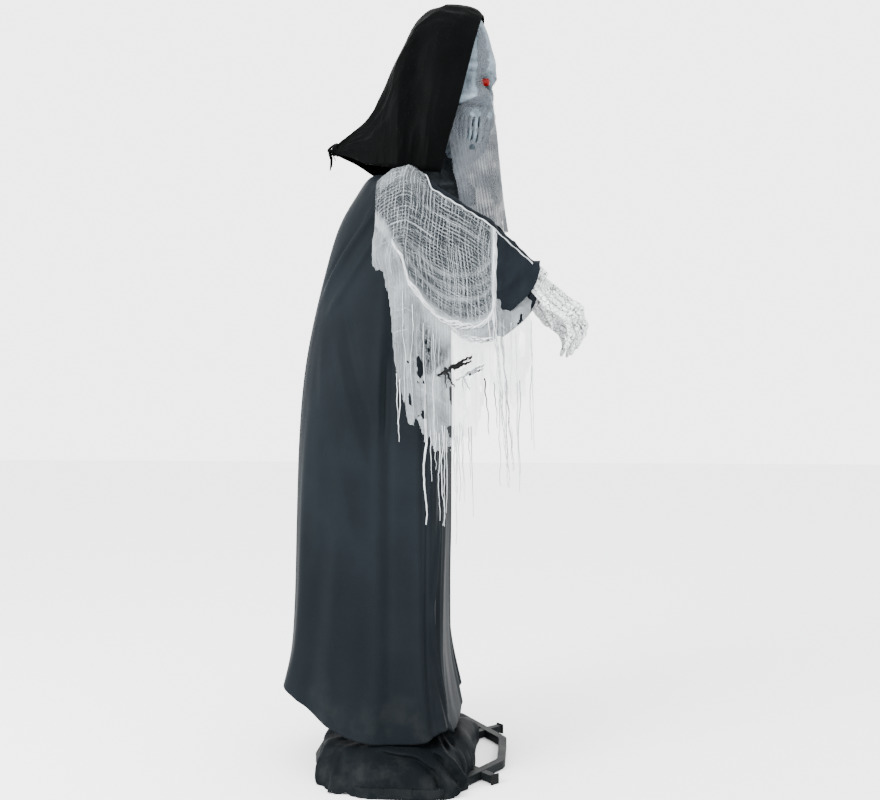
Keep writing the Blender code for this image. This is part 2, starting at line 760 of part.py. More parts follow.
def hoop_point(turn):
    """Return a point of the body hoop at a turn from the front."""
    power = 2 / HOOP_SQUARENESS
    ahead, across = math.cos(turn), math.sin(turn)
    reach = HOOP_FRONT if ahead > 0 else HOOP_REAR
    return at(math.copysign(abs(across) ** power, across) * HOOP_HALF_WIDTH,
              math.copysign(abs(ahead) ** power, ahead) * reach, HOOP_HEIGHT)


def body_hoop(group, steel):
    """Make the wire hoop that fills out the robe, hung from the bar by two struts."""
    turns = [2 * math.pi * index / HOOP_POINTS for index in range(HOOP_POINTS)]
    hoop = tube([hoop_point(turn) for turn in turns], HOOP_WIRE, group, 1, cyclic=True)
    top = SHOULDER_HEIGHT - BAR_RADIUS - GAP
    for side in (-1, 1):
        foot = at(side * HOOP_HALF_WIDTH, 0, HOOP_HEIGHT)
        bend = at(side * STRUT_SIDE, 0, HOOP_HEIGHT + (top - HOOP_HEIGHT) / 2)
        strut = tube([foot, bend, at(side * STRUT_SIDE, 0, top)], HOOP_WIRE, group, 1)
        join(hoop, strut)
    return finish(hoop, "body_hoop", group, steel)


def box_y(depth):
    """Return Y at a depth behind the front of the control box."""
    return POLE_RADIUS + GAP + BOX_WALL + depth


def control_box(group, plastic):
    """Make the moulded box clipped to the back of the post, with its open bay."""
    half = BOX_WIDTH / 2
    back = box_y(BOX_DEPTH)
    body = block((-half, box_y(0), BOX_BOTTOM), (half, back, BOX_BOTTOM + BOX_HEIGHT), group)
    soften(body, BOX_EDGE, 2)
    clip = block((-CLIP_WIDTH / 2, -POLE_RADIUS / 2, BOX_BOTTOM + BOX_WALL),
                 (CLIP_WIDTH / 2, box_y(BOX_WALL), BOX_BOTTOM + BOX_HEIGHT - BOX_WALL), group)
    clip_half = SOCKET_BORE + BOX_WALL
    cheeks = block((-clip_half, -POLE_RADIUS / 2, BOX_BOTTOM + BOX_WALL),
                   (clip_half, box_y(BOX_WALL), BOX_BOTTOM + BOX_HEIGHT - BOX_WALL), group)
    join(body, clip, cheeks)
    cut(body, rod(at(0, 0, BOX_BOTTOM - OVERRUN), at(0, 0, BOX_BOTTOM + BOX_HEIGHT + OVERRUN),
                  SOCKET_BORE, group, POLE_SIDES))
    inner = half - BOX_WALL - DOOR_LAP
    bay_low = BOX_BOTTOM + BAY_BOTTOM
    bay = block((-inner, box_y(BOX_DEPTH - 2 * CELL_RADIUS - 3 * BOX_WALL), bay_low),
                (inner, back + OVERRUN, bay_low + BAY_HEIGHT), group)
    rebate = block((-inner - DOOR_LAP - GAP, back - DOOR_THICKNESS - GAP, bay_low - DOOR_LAP - GAP),
                   (inner + DOOR_LAP + GAP, back + OVERRUN, bay_low + BAY_HEIGHT + DOOR_LAP + GAP),
                   group)
    cut(body, bay, rebate)
    speaker = at(0, -back, BOX_BOTTOM + SPEAKER_RISE)
    deep = Vector((0, SPEAKER_PLATE + GAP, 0))
    throat = Vector((0, 4 * SPEAKER_PLATE, 0))
    over = Vector((0, OVERRUN, 0))
    cut(body, rod(speaker - deep, speaker + over, SPEAKER_RADIUS + GAP, group, 24))
    cut(body, rod(speaker - throat, speaker, SPEAKER_RADIUS - SPEAKER_PLATE, group, 24))
    slot_half = SWITCH_LENGTH / 2 + SWITCH_TRAVEL + GAP
    middle = BOX_BOTTOM + SWITCH_RISE
    across = (box_y(0) + back) / 2
    well = SWITCH_FLANGE + 2 * GAP
    cut(body, block((-half - OVERRUN, across - SWITCH_WIDTH / 2 - GAP, middle - slot_half),
                    (-half + well, across + SWITCH_WIDTH / 2 + GAP, middle + slot_half), group))
    return finish(body, "control_box", group, plastic)


def battery_door(group, plastic):
    """Make the door over the battery bay, hinged along its lower edge."""
    inner = BOX_WIDTH / 2 - BOX_WALL - DOOR_LAP
    half = inner + DOOR_LAP - GAP
    back = box_y(BOX_DEPTH)
    low = BOX_BOTTOM + BAY_BOTTOM - DOOR_LAP + GAP
    high = BOX_BOTTOM + BAY_BOTTOM + BAY_HEIGHT + DOOR_LAP - GAP
    door = block((-half, back - DOOR_THICKNESS, low), (half, back, high), group)
    grip = block((-half / 4, back - MERGE, high - 2 * DOOR_LAP),
                 (half / 4, back + DOOR_THICKNESS / 2, high - DOOR_LAP), group)
    join(door, grip)
    return finish(door, "battery_door", group, plastic)


def battery(name, index, group, zinc):
    """Make one cell of the row that lies across the bay."""
    row = index - (CELL_COUNT - 1) / 2
    height = BOX_BOTTOM + BAY_BOTTOM + BAY_HEIGHT / 2 + row * CELL_SPACING
    depth = box_y(BOX_DEPTH - 2 * CELL_RADIUS - 3 * BOX_WALL) + GAP + CELL_RADIUS
    flip = 1 if index % 2 else -1
    half = CELL_LENGTH / 2
    start, end = at(-flip * half, -depth, height), at(flip * half, -depth, height)
    cell = rod(start, end, CELL_RADIUS, group, 16)
    nipple = Vector((flip * CELL_NIPPLE, 0, 0))
    join(cell, rod(end - nipple, end + nipple, CELL_NIPPLE_RADIUS, group, 12))
    return finish(cell, name, group, zinc)


def speaker_grille(group, plastic):
    """Make the round slotted plate over the speaker."""
    back = box_y(BOX_DEPTH)
    center = at(0, -back, BOX_BOTTOM + SPEAKER_RISE)
    deep = Vector((0, SPEAKER_PLATE, 0))
    plate = rod(center - deep, center, SPEAKER_RADIUS, group, 24)
    for index in range(SPEAKER_SLOTS):
        rise = (index - (SPEAKER_SLOTS - 1) / 2) * SPEAKER_SLOT_PITCH
        reach = math.sqrt((SPEAKER_RADIUS - 2 * SPEAKER_PLATE) ** 2 - rise ** 2)
        height = center.z + rise
        cut(plate, block((-reach, back - SPEAKER_PLATE - OVERRUN, height - SPEAKER_SLOT / 2),
                         (reach, back + OVERRUN, height + SPEAKER_SLOT / 2), group))
    return finish(plate, "speaker_grille", group, plastic)


def mode_switch(group, plastic):
    """Make the slide switch on the control box's side."""
    face = -BOX_WIDTH / 2
    middle = BOX_BOTTOM + SWITCH_RISE
    across = (box_y(0) + box_y(BOX_DEPTH)) / 2
    knob = block((face - SWITCH_PROUD, across - SWITCH_WIDTH / 2, middle - SWITCH_LENGTH / 2),
                 (face + SWITCH_FLANGE, across + SWITCH_WIDTH / 2, middle + SWITCH_LENGTH / 2),
                 group)
    soften(knob, SWITCH_FLANGE / 3)
    return finish(knob, "mode_switch", group, plastic)


def sensor_pod(group, plastic):
    """Make the sound sensor's cup, clipped to the front of the post."""
    start = at(0, POLE_RADIUS + GAP, SENSOR_RISE)
    end = at(0, POLE_RADIUS + GAP + SENSOR_DEPTH, SENSOR_RISE)
    pod = rod(start, end, SENSOR_RADIUS, group, 20)
    well = at(0, POLE_RADIUS + GAP + SENSOR_DEPTH / 2, SENSOR_RISE)
    cut(pod, rod(well, end + (end - well), SENSOR_RADIUS - SENSOR_WALL, group, 20))
    return finish(pod, "sensor_pod", group, plastic)


def sensor_lens(group, clear):
    """Make the domed lens in the sensor's cup."""
    radius = SENSOR_RADIUS - SENSOR_WALL - GAP
    well = POLE_RADIUS + 2 * GAP + SENSOR_DEPTH / 2
    start, rim = at(0, well, SENSOR_RISE), at(0, well + SENSOR_DEPTH / 4, SENSOR_RISE)
    lens = rod(start, rim, radius, group, 16)
    dome = ball(rim, (radius, radius / 2, radius), group, 16, 6)
    join(lens, dome)
    return finish(lens, "sensor_lens", group, clear)


def head_motor_bracket(group, steel):
    """Make the plate on the shoulder tee that carries the head's motor."""
    half = BRACKET_HALF_WIDTH
    front = NECK_FORWARD + HEAD_MOTOR_RADIUS
    plate = block((-half, -front, BRACKET_BOTTOM), (half, TEE_RADIUS, BRACKET_TOP), group)
    soften(plate, BRACKET_THICKNESS / 4)
    return finish(plate, "head_motor_bracket", group, steel)


def head_motor(group, plastic):
    """Make the small geared motor that turns the neck tube."""
    boss = NECK_BORE - GAP
    profile = [(0, HEAD_MOTOR_TOP + HEAD_MOTOR_HEIGHT / 2),
               (boss, HEAD_MOTOR_TOP + HEAD_MOTOR_HEIGHT / 2), (boss, HEAD_MOTOR_TOP),
               (HEAD_MOTOR_RADIUS - BRACKET_THICKNESS / 2, HEAD_MOTOR_TOP),
               (HEAD_MOTOR_RADIUS, HEAD_MOTOR_TOP - BRACKET_THICKNESS / 2),
               (HEAD_MOTOR_RADIUS, HEAD_MOTOR_BOTTOM), (0, HEAD_MOTOR_BOTTOM)]
    motor = turned(profile, at(0, NECK_FORWARD, 0), group, sides=24)
    return finish(motor, "head_motor", group, plastic)


def neck_tube(group, steel):
    """Make the tube that carries the head on the motor's boss."""
    top = NECK_COLLAR_BOTTOM + NECK_PLUG_THICKNESS + NECK_TUBE_RISE
    foot = HEAD_MOTOR_TOP + COUPLING_CLEARANCE
    profile = [(NECK_RADIUS, top), (NECK_RADIUS, foot), (NECK_BORE, foot), (NECK_BORE, top)]
    neck = turned(profile, at(0, NECK_FORWARD, 0), group, sides=16)
    return finish(neck, "neck_tube", group, steel)


def neck_plug(group, plastic):
    """Make the plug that seats in the skull's neck collar, with the tube through it."""
    bore = NECK_RADIUS + GAP
    radius = COLLAR_BORE - GAP
    low = NECK_COLLAR_BOTTOM - GAP - NECK_PLUG_LIP
    high = NECK_COLLAR_BOTTOM + NECK_PLUG_THICKNESS
    profile = [(radius, high), (radius, NECK_COLLAR_BOTTOM - GAP),
               (NECK_COLLAR_RADIUS, NECK_COLLAR_BOTTOM - GAP), (NECK_COLLAR_RADIUS, low),
               (bore, low), (bore, high)]
    plug = turned(profile, at(0, NECK_FORWARD, 0), group, sides=28)
    return finish(plug, "neck_plug", group, plastic)


# The skull's relief, as bumps and hollows: where they lie across and up, how wide they
# are, and how far they stand out, all as shares of the half width and the half height
SKULL_RELIEF_SHARES = [
    (0.42, 0.02, 0.24, 0.15, -0.17),
    (0.40, 0.25, 0.34, 0.09, 0.075),
    (0.00, 0.30, 0.20, 0.12, 0.030),
    (0.00, -0.10, 0.16, 0.12, -0.105),
    (0.00, 0.10, 0.12, 0.08, 0.050),
    (0.72, -0.17, 0.22, 0.11, 0.095),
    (0.95, 0.13, 0.20, 0.20, -0.080),
    (0.80, -0.48, 0.26, 0.16, -0.120),
    (0.00, -0.42, 0.50, 0.10, 0.050),
    (0.00, -0.55, 0.44, 0.04, -0.035),
    (0.00, -0.80, 0.34, 0.12, 0.090),
    (0.45, -0.68, 0.30, 0.10, 0.030),
]


def skull_half_height():
    """Return half the height between the chin and the crown."""
    crown = FIGURE_HEIGHT - 3.5 * CLOTH - GAP
    return crown - SKULL_HEIGHT


def skull_point(direction, shrink=0.0):
    """Return the skull's surface point in a direction, drawn in by a wall."""
    radii = (SKULL_HALF_WIDTH - shrink, SKULL_HALF_DEPTH - shrink, skull_half_height() - shrink)
    power = SKULL_SQUARENESS
    spread = sum(abs(part) ** power for part in direction) ** (-1 / power)
    unit = Vector(direction) * spread
    ahead = max(0.0, -unit.y)
    relief = 0.0
    for across, up, wide, tall, rise in SKULL_RELIEF_SHARES:
        off_side = (abs(unit.x) - across) / wide
        off_up = (unit.z - up) / tall
        relief += rise * math.exp(-off_side ** 2 - off_up ** 2)
    drawn = 1 + relief * min(1.0, 2.2 * ahead)
    jaw = 1 - 0.30 * max(0.0, -unit.z) ** 1.5
    return at(unit.x * radii[0] * drawn * jaw,
              SKULL_FORWARD - unit.y * radii[1] * drawn,
              SKULL_HEIGHT + unit.z * radii[2] * (1 + relief * 0.15))


def skull_mask(group, plastic):
    """Make the hollow skull: a sphere pushed to shape, with a neck collar and sockets."""
    def shell(shrink):
        def fill(work):
            bmesh.ops.create_uvsphere(
                work, u_segments=SKULL_COLUMNS, v_segments=SKULL_ROWS, radius=1.0)
            bmesh.ops.rotate(work, matrix=Matrix.Rotation(math.pi / SKULL_COLUMNS, 3, "Z"),
                             verts=work.verts)
            for vert in work.verts:
                vert.co = skull_point(vert.co, shrink)
        return add_mesh("skull", mesh_from(fill), group)

    mask = shell(0.0)
    collar_low = at(0, NECK_FORWARD, NECK_COLLAR_BOTTOM)
    collar_high = at(0, NECK_FORWARD, NECK_COLLAR_BOTTOM + NECK_COLLAR_HEIGHT)
    down = Vector((0, 0, OVERRUN))
    drop = Vector((0, 0, NECK_COLLAR_HEIGHT))
    join(mask, rod(collar_low, collar_high, NECK_COLLAR_RADIUS, group, 28))
    cut(mask, shell(SKULL_WALL))
    cut(mask, rod(collar_low - drop, collar_high + down, COLLAR_BORE, group, 28))
    cut(mask, rod(collar_low - drop, collar_low, NECK_COLLAR_RADIUS + GAP, group, 28))
    for side in (-1, 1):
        middle = at(side * EYE_SIDE, SKULL_FORWARD, EYE_HEIGHT)
        ahead = at(side * EYE_SIDE, SKULL_FORWARD + 2 * SKULL_HALF_DEPTH, EYE_HEIGHT)
        cut(mask, rod(middle, ahead, EYE_RADIUS + GAP, group, 16))
    return finish(mask, "skull_mask", group, plastic, math.radians(60))


def eye_depth():
    """Return how far forward the skull's surface lies in the middle of an eye socket."""
    best = min((Vector((math.sin(turn / 100), -math.cos(turn / 100), 0)) for turn in range(90)),
               key=lambda ray: abs(skull_point(ray).x - EYE_SIDE))
    return -skull_point(best).y


def eye_lamp(name, side, group, red):
    """Make one red eye lamp, pushed through its hole in the skull's socket."""
    front = eye_depth() + EYE_DOME
    rim = at(side * EYE_SIDE, front, EYE_HEIGHT)
    back = at(side * EYE_SIDE, front - EYE_LENGTH, EYE_HEIGHT)
    lamp = rod(back, rim, EYE_RADIUS, group, 12)
    join(lamp, ball(rim, (EYE_RADIUS, EYE_DOME, EYE_RADIUS), group, 12, 6))
    return finish(lamp, name, group, red)


# The hood as arches, front to back: how far forward and high its feet stand, how far
# forward and high its crown is, and its half width, as shares of the figure's height
HOOD_ARCH_SHARES = [
    (0.02347, 0.76150, 0.08592, 0.98122, 0.05540),
    (0.01502, 0.76056, 0.06197, 0.99601, 0.06009),
    (0.00376, 0.76009, 0.03474, 0.99953, 0.06291),
    (-0.00939, 0.76009, 0.00939, 0.98779, 0.06385),
    (-0.02347, 0.76103, -0.01033, 0.96714, 0.06338),
    (-0.03850, 0.76432, -0.02817, 0.92864, 0.06009),
    (-0.05258, 0.76995, -0.04601, 0.88498, 0.05352),
    (-0.06948, 0.77934, -0.06667, 0.85211, 0.04225),
    (-0.08920, 0.79061, -0.09202, 0.83192, 0.02629),
    (-0.10892, 0.79906, -0.11455, 0.81596, 0.01033),
    (-0.11925, 0.80188, -0.12300, 0.80845, 0.00329),
]
HOOD_COLUMNS = 20
HOOD_SQUARENESS = 2.6
HOOD_FOLD = 0.004

# The robe as rings, top to bottom: height at the sides, at the front and at the back,
# reach forward and back, and half width, as shares of the figure's height
ROBE_RING_SHARES = [
    (0.75047, 0.75047, 0.76995, 0.03099, 0.02723, 0.03380),
    (0.74521, 0.74521, 0.76808, 0.03286, 0.06009, 0.09789),
    (0.72770, 0.72864, 0.74178, 0.03333, 0.08169, 0.10070),
    (0.69014, 0.69014, 0.69484, 0.03380, 0.10798, 0.10070),
    (0.62911, 0.62911, 0.63146, 0.03474, 0.12723, 0.10070),
    (0.55869, 0.55869, 0.55869, 0.03521, 0.14319, 0.10117),
    (0.49296, 0.49296, 0.49296, 0.03521, 0.15211, 0.11362),
    (0.41315, 0.41315, 0.41315, 0.03521, 0.15775, 0.11878),
    (0.30986, 0.30986, 0.30986, 0.03474, 0.16103, 0.12207),
    (0.20657, 0.20657, 0.20657, 0.03333, 0.16385, 0.12394),
    (0.12676, 0.12676, 0.13615, 0.03662, 0.16901, 0.12488),
    (0.05258, 0.05164, 0.08545, 0.05258, 0.18028, 0.12582),
]
ROBE_FRONT_SQUARENESS = 4.2
ROBE_BACK_SQUARENESS = 2.5
ROBE_FOLD = 0.012

# The base skirt as rings, collar to hem, in the same order as the robe's
SKIRT_RING_SHARES = [
    (0.09390, 0.09390, 0.09390, 0.00657, 0.00657, 0.00657),
    (0.08732, 0.08732, 0.08732, 0.00939, 0.00939, 0.00939),
    (0.06056, 0.06056, 0.06056, 0.02254, 0.02817, 0.02817),
    (0.04366, 0.04366, 0.04413, 0.04601, 0.07512, 0.07512),
    (0.04131, 0.04178, 0.04225, 0.06573, 0.12488, 0.14836),
    (0.03474, 0.03568, 0.03568, 0.07324, 0.13615, 0.16244),
    (0.02113, 0.02582, 0.02347, 0.07230, 0.13803, 0.16432),
    (0.00563, 0.01408, 0.00563, 0.06854, 0.13897, 0.16526),
]
SKIRT_SQUARENESS = 4.0
SKIRT_FOLD = 0.007

# The sleeve as rings along the arm: how far along the arm its top lies, how far its foot
# lies forward and high, and its half width as a share
SLEEVE_TOP_SHARES = (-0.02, 0.16, 0.38, 0.645, 0.82, 0.99)
SLEEVE_LIFT_SHARES = (2.8, 2.5, 2.15, 1.85, 1.62, 1.46)
SLEEVE_FOOT_SHARES = [
    (-0.02629, 0.70423),
    (-0.01878, 0.65962),
    (0.00563, 0.61033),
    (0.03568, 0.57653),
    (0.07042, 0.56338),
    (0.10610, 0.56432),
]
SLEEVE_WIDTH_SHARES = (0.70, 0.76, 0.90, 1.0, 1.0, 0.95)

# The shawl's hem from its rear edge to its front edge: how far along, and how high as a
# share of the figure's height
SHAWL_REAR = -0.082
SHAWL_FRONT = 0.318
SHAWL_OUTSIDE = 0.322
SHAWL_HEM_SHARES = [
    (0.00, 0.63380), (0.04, 0.55869), (0.09, 0.47887), (0.16, 0.43662), (0.22, 0.40376),
    (0.30, 0.34742), (0.38, 0.30516), (0.46, 0.32864), (0.54, 0.30986), (0.60, 0.40376),
    (0.66, 0.48826), (0.74, 0.41315), (0.82, 0.37559), (0.90, 0.45070), (1.00, 0.46479),
]
SHAWL_FOLD = 0.006
SHAWL_TOP_ROWS = 3


def scaled(shares):
    """Return lengths from shares of the figure's height."""
    return tuple(share * FIGURE_HEIGHT for share in shares)


def ring_point(turn, front, back, half_width, front_power, back_power):
    """Return how far left and forward a rounded box outline lies at a turn."""
    ahead, across = math.cos(turn), math.sin(turn)
    reach = front if ahead > 0 else back
    power = 2 / (front_power if ahead > 0 else back_power)
    side = math.copysign(abs(across) ** power, across) * half_width
    forward = math.copysign(abs(ahead) ** power, ahead) * reach
    return side, forward


def ring_rows(rings, count, front_power, back_power, fold, waves):
    """Return rows of cloth points through rings, with folds that grow downwards."""
    rows = []
    for level, ring in enumerate(rings):
        side_height, front_height, back_height, front, back, half_width = scaled(ring)
        depth = (level / (len(rings) - 1)) ** 1.5
        row = []
        for index in range(count):
            turn = 2 * math.pi * index / count
            side, forward = ring_point(turn, front, back, half_width, front_power, back_power)
            wave = sum(share * math.cos(times * turn + start) for times, start, share in waves)
            out = Vector((side, forward)).normalized() * fold * depth * wave
            ahead = math.cos(turn)
            if ahead > 0:
                height = side_height + (front_height - side_height) * ahead ** 2
            else:
                height = side_height + (back_height - side_height) * ahead ** 4
            row.append(at(side + out.x, forward + out.y, height))
        rows.append(row)
    return rows


def robe(group, satin):
    """Make the long robe, closed over the shoulders and open below."""
    waves = [(7, 0.4, 0.45), (11, 1.9, 0.35), (4, 2.6, 0.20)]
    rows = ring_rows(ROBE_RING_SHARES, ROBE_POINTS, ROBE_FRONT_SQUARENESS, ROBE_BACK_SQUARENESS,
                     ROBE_FOLD, waves)
    cloth = sheet(rows, CLOTH, group, closed=True)
    for side in (-1, 1):
        start = at(side * (BAR_HALF + OVERRUN / 2), 0, SHOULDER_HEIGHT)
        end = at(side * (BAR_HALF + 10 * OVERRUN), 0, SHOULDER_HEIGHT)
        cut(cloth, rod(start, end, PIN_HOLE_RADIUS, group, 12))
    return finish(cloth, "robe", group, satin, math.radians(60))


def base_skirt(group, satin):
    """Make the cloth that is tied round the pole and draped over the floor frame."""
    waves = [(9, 0.7, 0.30), (14, 2.1, 0.20), (0, 0.0, 0.50)]
    rows = ring_rows(SKIRT_RING_SHARES, SKIRT_POINTS, SKIRT_SQUARENESS, SKIRT_SQUARENESS,
                     SKIRT_FOLD, waves)
    cloth = sheet(rows, CLOTH, group, closed=True)
    return finish(cloth, "base_skirt", group, satin, math.radians(60))


def hood(group, satin):
    """Make the pointed hood from arches that step back over the head."""
    power = 2 / HOOD_SQUARENESS
    rows = []
    widest = max(shares[4] for shares in HOOD_ARCH_SHARES) * FIGURE_HEIGHT
    for level, shares in enumerate(HOOD_ARCH_SHARES):
        foot, foot_up, crown, crown_up, half_width = scaled(shares)
        row = []
        for index in range(HOOD_COLUMNS + 1):
            turn = math.pi * index / HOOD_COLUMNS
            across, rise = math.cos(turn), math.sin(turn)
            share = rise ** power
            side = math.copysign(abs(across) ** power, across) * half_width
            ripple = HOOD_FOLD * (1 - share) * math.sin(2.1 * level + 5 * turn)
            row.append(at(side + math.copysign(ripple * half_width / widest, side),
                          foot + (crown - foot) * share,
                          foot_up + (crown_up - foot_up) * share))
        rows.append(row)
    cloth = sheet(rows, CLOTH, group)
    return finish(cloth, "hood", group, satin, math.radians(60))


def hood_tie(group, satin):
    """Make the cord end that hangs from the knot at the hood's tip."""
    foot, foot_up, _, _, side = scaled(HOOD_ARCH_SHARES[-1])
    top = foot_up - GAP - TIE_RADIUS / 2
    points = [at(side + TIE_RADIUS * math.sin(step), foot - step * TIE_RADIUS / 2,
                 top - TIE_LENGTH * step / 6) for step in range(7)]
    return finish(tube(points, TIE_RADIUS, group, 1), "hood_tie", group, satin)


def skull_ring_point(height, turn):
    """Return the skull's surface point at a height and a turn from the front."""
    power = SKULL_SQUARENESS
    up = (height - SKULL_HEIGHT) / skull_half_height()
    across, ahead = math.sin(turn), math.cos(turn)
    reach = ((1 - abs(up) ** power) / (abs(across) ** power + abs(ahead) ** power)) ** (1 / power)
    return skull_point(Vector((reach * across, -reach * ahead, up)))


def veil(group, gauze):
    """Make the gauze stuck to the face at mouth height, as a half round curtain below."""
    rows = []
    for level in range(VEIL_ROWS + 1):
        share = level / VEIL_ROWS
        row = []
        for index in range(VEIL_COLUMNS + 1):
            turn = (2 * index / VEIL_COLUMNS - 1) * VEIL_HALF_ANGLE
            outward = Vector((math.sin(turn), -math.cos(turn), 0))
            top = skull_ring_point(VEIL_TOP, turn) + outward * VEIL_OFFSET
            bow = math.cos(turn) - math.cos(VEIL_HALF_ANGLE)
            reach = (VEIL_FRONT_BOTTOM - VEIL_EDGE_BOTTOM) / (1 - math.cos(VEIL_HALF_ANGLE))
            fold = VEIL_FOLD * math.sin(9 * turn + 1.3)
            hem = at(VEIL_HALF_WIDTH * math.sin(turn) / math.sin(VEIL_HALF_ANGLE),
                     VEIL_EDGE_BOTTOM + reach * bow + fold, VEIL_BOTTOM)
            row.append(top + (hem - top) * share)
        rows.append(row)
    cloth = sheet(rows, CLOTH / 2, group)
    return finish(cloth, "veil", group, gauze, math.radians(60))


def arm_points(side):
    """Return the shoulder, elbow and wrist of an arm."""
    return [at(side * SHOULDER_SIDE, 0, SHOULDER_HEIGHT),
            at(side * WRIST_SIDE, ELBOW_FORWARD, ELBOW_HEIGHT),
            at(side * WRIST_SIDE, WRIST_FORWARD, WRIST_HEIGHT)]


def arm_along(side, share):
    """Return the point of an arm's middle line at a share of its forward reach."""
    shoulder, elbow, wrist = arm_points(side)
    reach = share * WRIST_FORWARD
    if reach < ELBOW_FORWARD:
        return shoulder + (elbow - shoulder) * reach / ELBOW_FORWARD
    return elbow + (wrist - elbow) * (reach - ELBOW_FORWARD) / (WRIST_FORWARD - ELBOW_FORWARD)


def arm_tube(name, side, group, steel):
    """Make the bent arm tube with a flat eye for the shoulder pin."""
    shoulder, elbow, wrist = arm_points(side)
    path = rounded_path([shoulder, elbow, wrist], 6 * ARM_RADIUS, BEND_STEPS)
    arm = tube(path, ARM_RADIUS, group, 1)
    half = Vector((ARM_EYE_HALF, 0, 0))
    join(arm, rod(shoulder - half, shoulder + half, ARM_EYE_RADIUS, group, 24))
    slack = half + Vector((OVERRUN, 0, 0))
    cut(arm, rod(shoulder - slack, shoulder + slack, PIN_RADIUS + GAP, group, 12))
    along = (wrist - elbow).normalized()
    cut(arm, rod(wrist - along * ARM_BORE_DEPTH, wrist + along * OVERRUN,
                 PLUG_RADIUS + GAP, group, 12))
    return finish(arm, name, group, steel)


def sleeve_rows(side):
    """Return the rings of a bell sleeve, from the shoulder to the cuff."""
    rows = []
    for top_share, lift_share, foot_shares, width_share in zip(
            SLEEVE_TOP_SHARES, SLEEVE_LIFT_SHARES, SLEEVE_FOOT_SHARES, SLEEVE_WIDTH_SHARES):
        foot, foot_up = scaled(foot_shares)
        spine = arm_along(side, top_share)
        lift = ARM_RADIUS * lift_share + CLOTH / 2
        middle = spine.x + side * SLEEVE_OUTSET
        top = Vector((middle, spine.y, spine.z + lift * SLEEVE_RISE_SHARE))
        bottom = at(middle, foot, foot_up)
        row = []
        for index in range(SLEEVE_POINTS):
            turn = 2 * math.pi * index / SLEEVE_POINTS
            drop = (1 - math.cos(turn)) / 2
            point = top + (bottom - top) * drop
            point.x += side * math.sin(turn) * SLEEVE_HALF_WIDTH * width_share
            row.append(point)
        rows.append(row)
    return rows


def sleeve(name, side, group, satin):
    """Make a bell sleeve that hangs from the arm, with a hole for the shoulder pin."""
    cloth = sheet(sleeve_rows(side), CLOTH, group, closed=True)
    start = at(side * (SHOULDER_SIDE - SLEEVE_HALF_WIDTH), 0, SHOULDER_HEIGHT)
    end = at(side * SHOULDER_SIDE, 0, SHOULDER_HEIGHT)
    cut(cloth, rod(start, end, ARM_EYE_RADIUS + 2 * CLOTH, group, 20))
    return finish(cloth, name, group, satin, math.radians(60))


def shawl(name, side, group, gauze):
    """Make the gauze shawl over an arm: from the inside over the sleeve to the hem."""
    columns = []
    for index in range(SHAWL_COLUMNS + 1):
        share = index / SHAWL_COLUMNS
        forward = SHAWL_REAR + (SHAWL_FRONT - SHAWL_REAR) * share
        spine = arm_along(side, max(0.0, forward) / WRIST_FORWARD)
        rounding = max(0.0, -forward) ** 2 * SHAWL_REAR_DROP_SHARE / -SHAWL_REAR
        crest = spine.z + SHAWL_CREST - rounding
        hem = between(share, SHAWL_HEM_SHARES) * FIGURE_HEIGHT
        column = []
        for level in range(SHAWL_TOP_ROWS + 1):
            turn = math.pi / 2 * level / SHAWL_TOP_ROWS
            out = SHAWL_INSIDE + (SHAWL_OUTSIDE - SHAWL_INSIDE) * math.sin(turn)
            drop = SHAWL_SHOULDER * (1 - math.cos(turn))
            column.append(at(side * out, forward, crest - drop))
        start = crest - SHAWL_SHOULDER
        for level in range(1, SHAWL_ROWS + 1):
            fall = level / SHAWL_ROWS
            fold = SHAWL_FOLD * fall * math.sin(2 * math.pi * 6 * share)
            drift = SHAWL_DRIFT * fall * fall
            column.append(at(side * (SHAWL_OUTSIDE + fold), forward + drift * (0.5 - share),
                             start + (hem - start) * fall))
        columns.append(column)
    cloth = sheet(columns, CLOTH / 2, group)
    return finish(cloth, name, group, gauze, math.radians(60))


# The fingers: where each knuckle lies across the palm as a share of the finger pitch,
# and how long its bones are as a share of the longest
FINGER_SHARES = [(-1.5, 0.93), (-0.5, 1.0), (0.5, 0.96), (1.5, 0.84)]
FINGER_BENDS = (math.radians(-8), math.radians(40), math.radians(76))
BONE_WIDTH_SHARES = (0.95, 1.10, 0.82, 1.04, 0.78, 0.96, 0.72, 0.42)
# The heel of the hand: its middle and half length as shares of the finger base, and its
# half width and half thickness as shares of the palm's
HEEL_MIDDLE_SHARE = 0.52
HEEL_HALF_SHARE = 0.42
HEEL_WIDTH_SHARE = 0.84
HEEL_THICKNESS_SHARE = 1.15
PALM_MIDDLE_SHARE = 0.74


def hand_path(side, across, bends, bones):
    """Return a finger's points: bones laid end to end, each bent further down."""
    wrist, along, down, out, heel = hand_frame(side)
    point = heel + along * FINGER_BASE + out * across
    path = [heel + along * FINGER_BASE / 2 + out * across / 2, point]
    for bend, bone in zip(bends, bones):
        step = along * math.cos(bend) + down * math.sin(bend)
        path.append(point + step * bone / 2)
        point = point + step * bone
        path.append(point)
    return path


def hand_frame(side):
    """Return the wrist, the rolled hand's directions along, palm and out, and its heel."""
    shoulder, elbow, wrist = arm_points(side)
    along = (wrist - elbow).normalized()
    level = Vector((side, 0, 0))
    below = along.cross(level) * (1 if along.cross(level).z < 0 else -1)
    down = below * math.cos(HAND_ROLL) - level * math.sin(HAND_ROLL)
    out = below * math.sin(HAND_ROLL) + level * math.cos(HAND_ROLL)
    return wrist, along, down, out, wrist + below * HAND_DROP


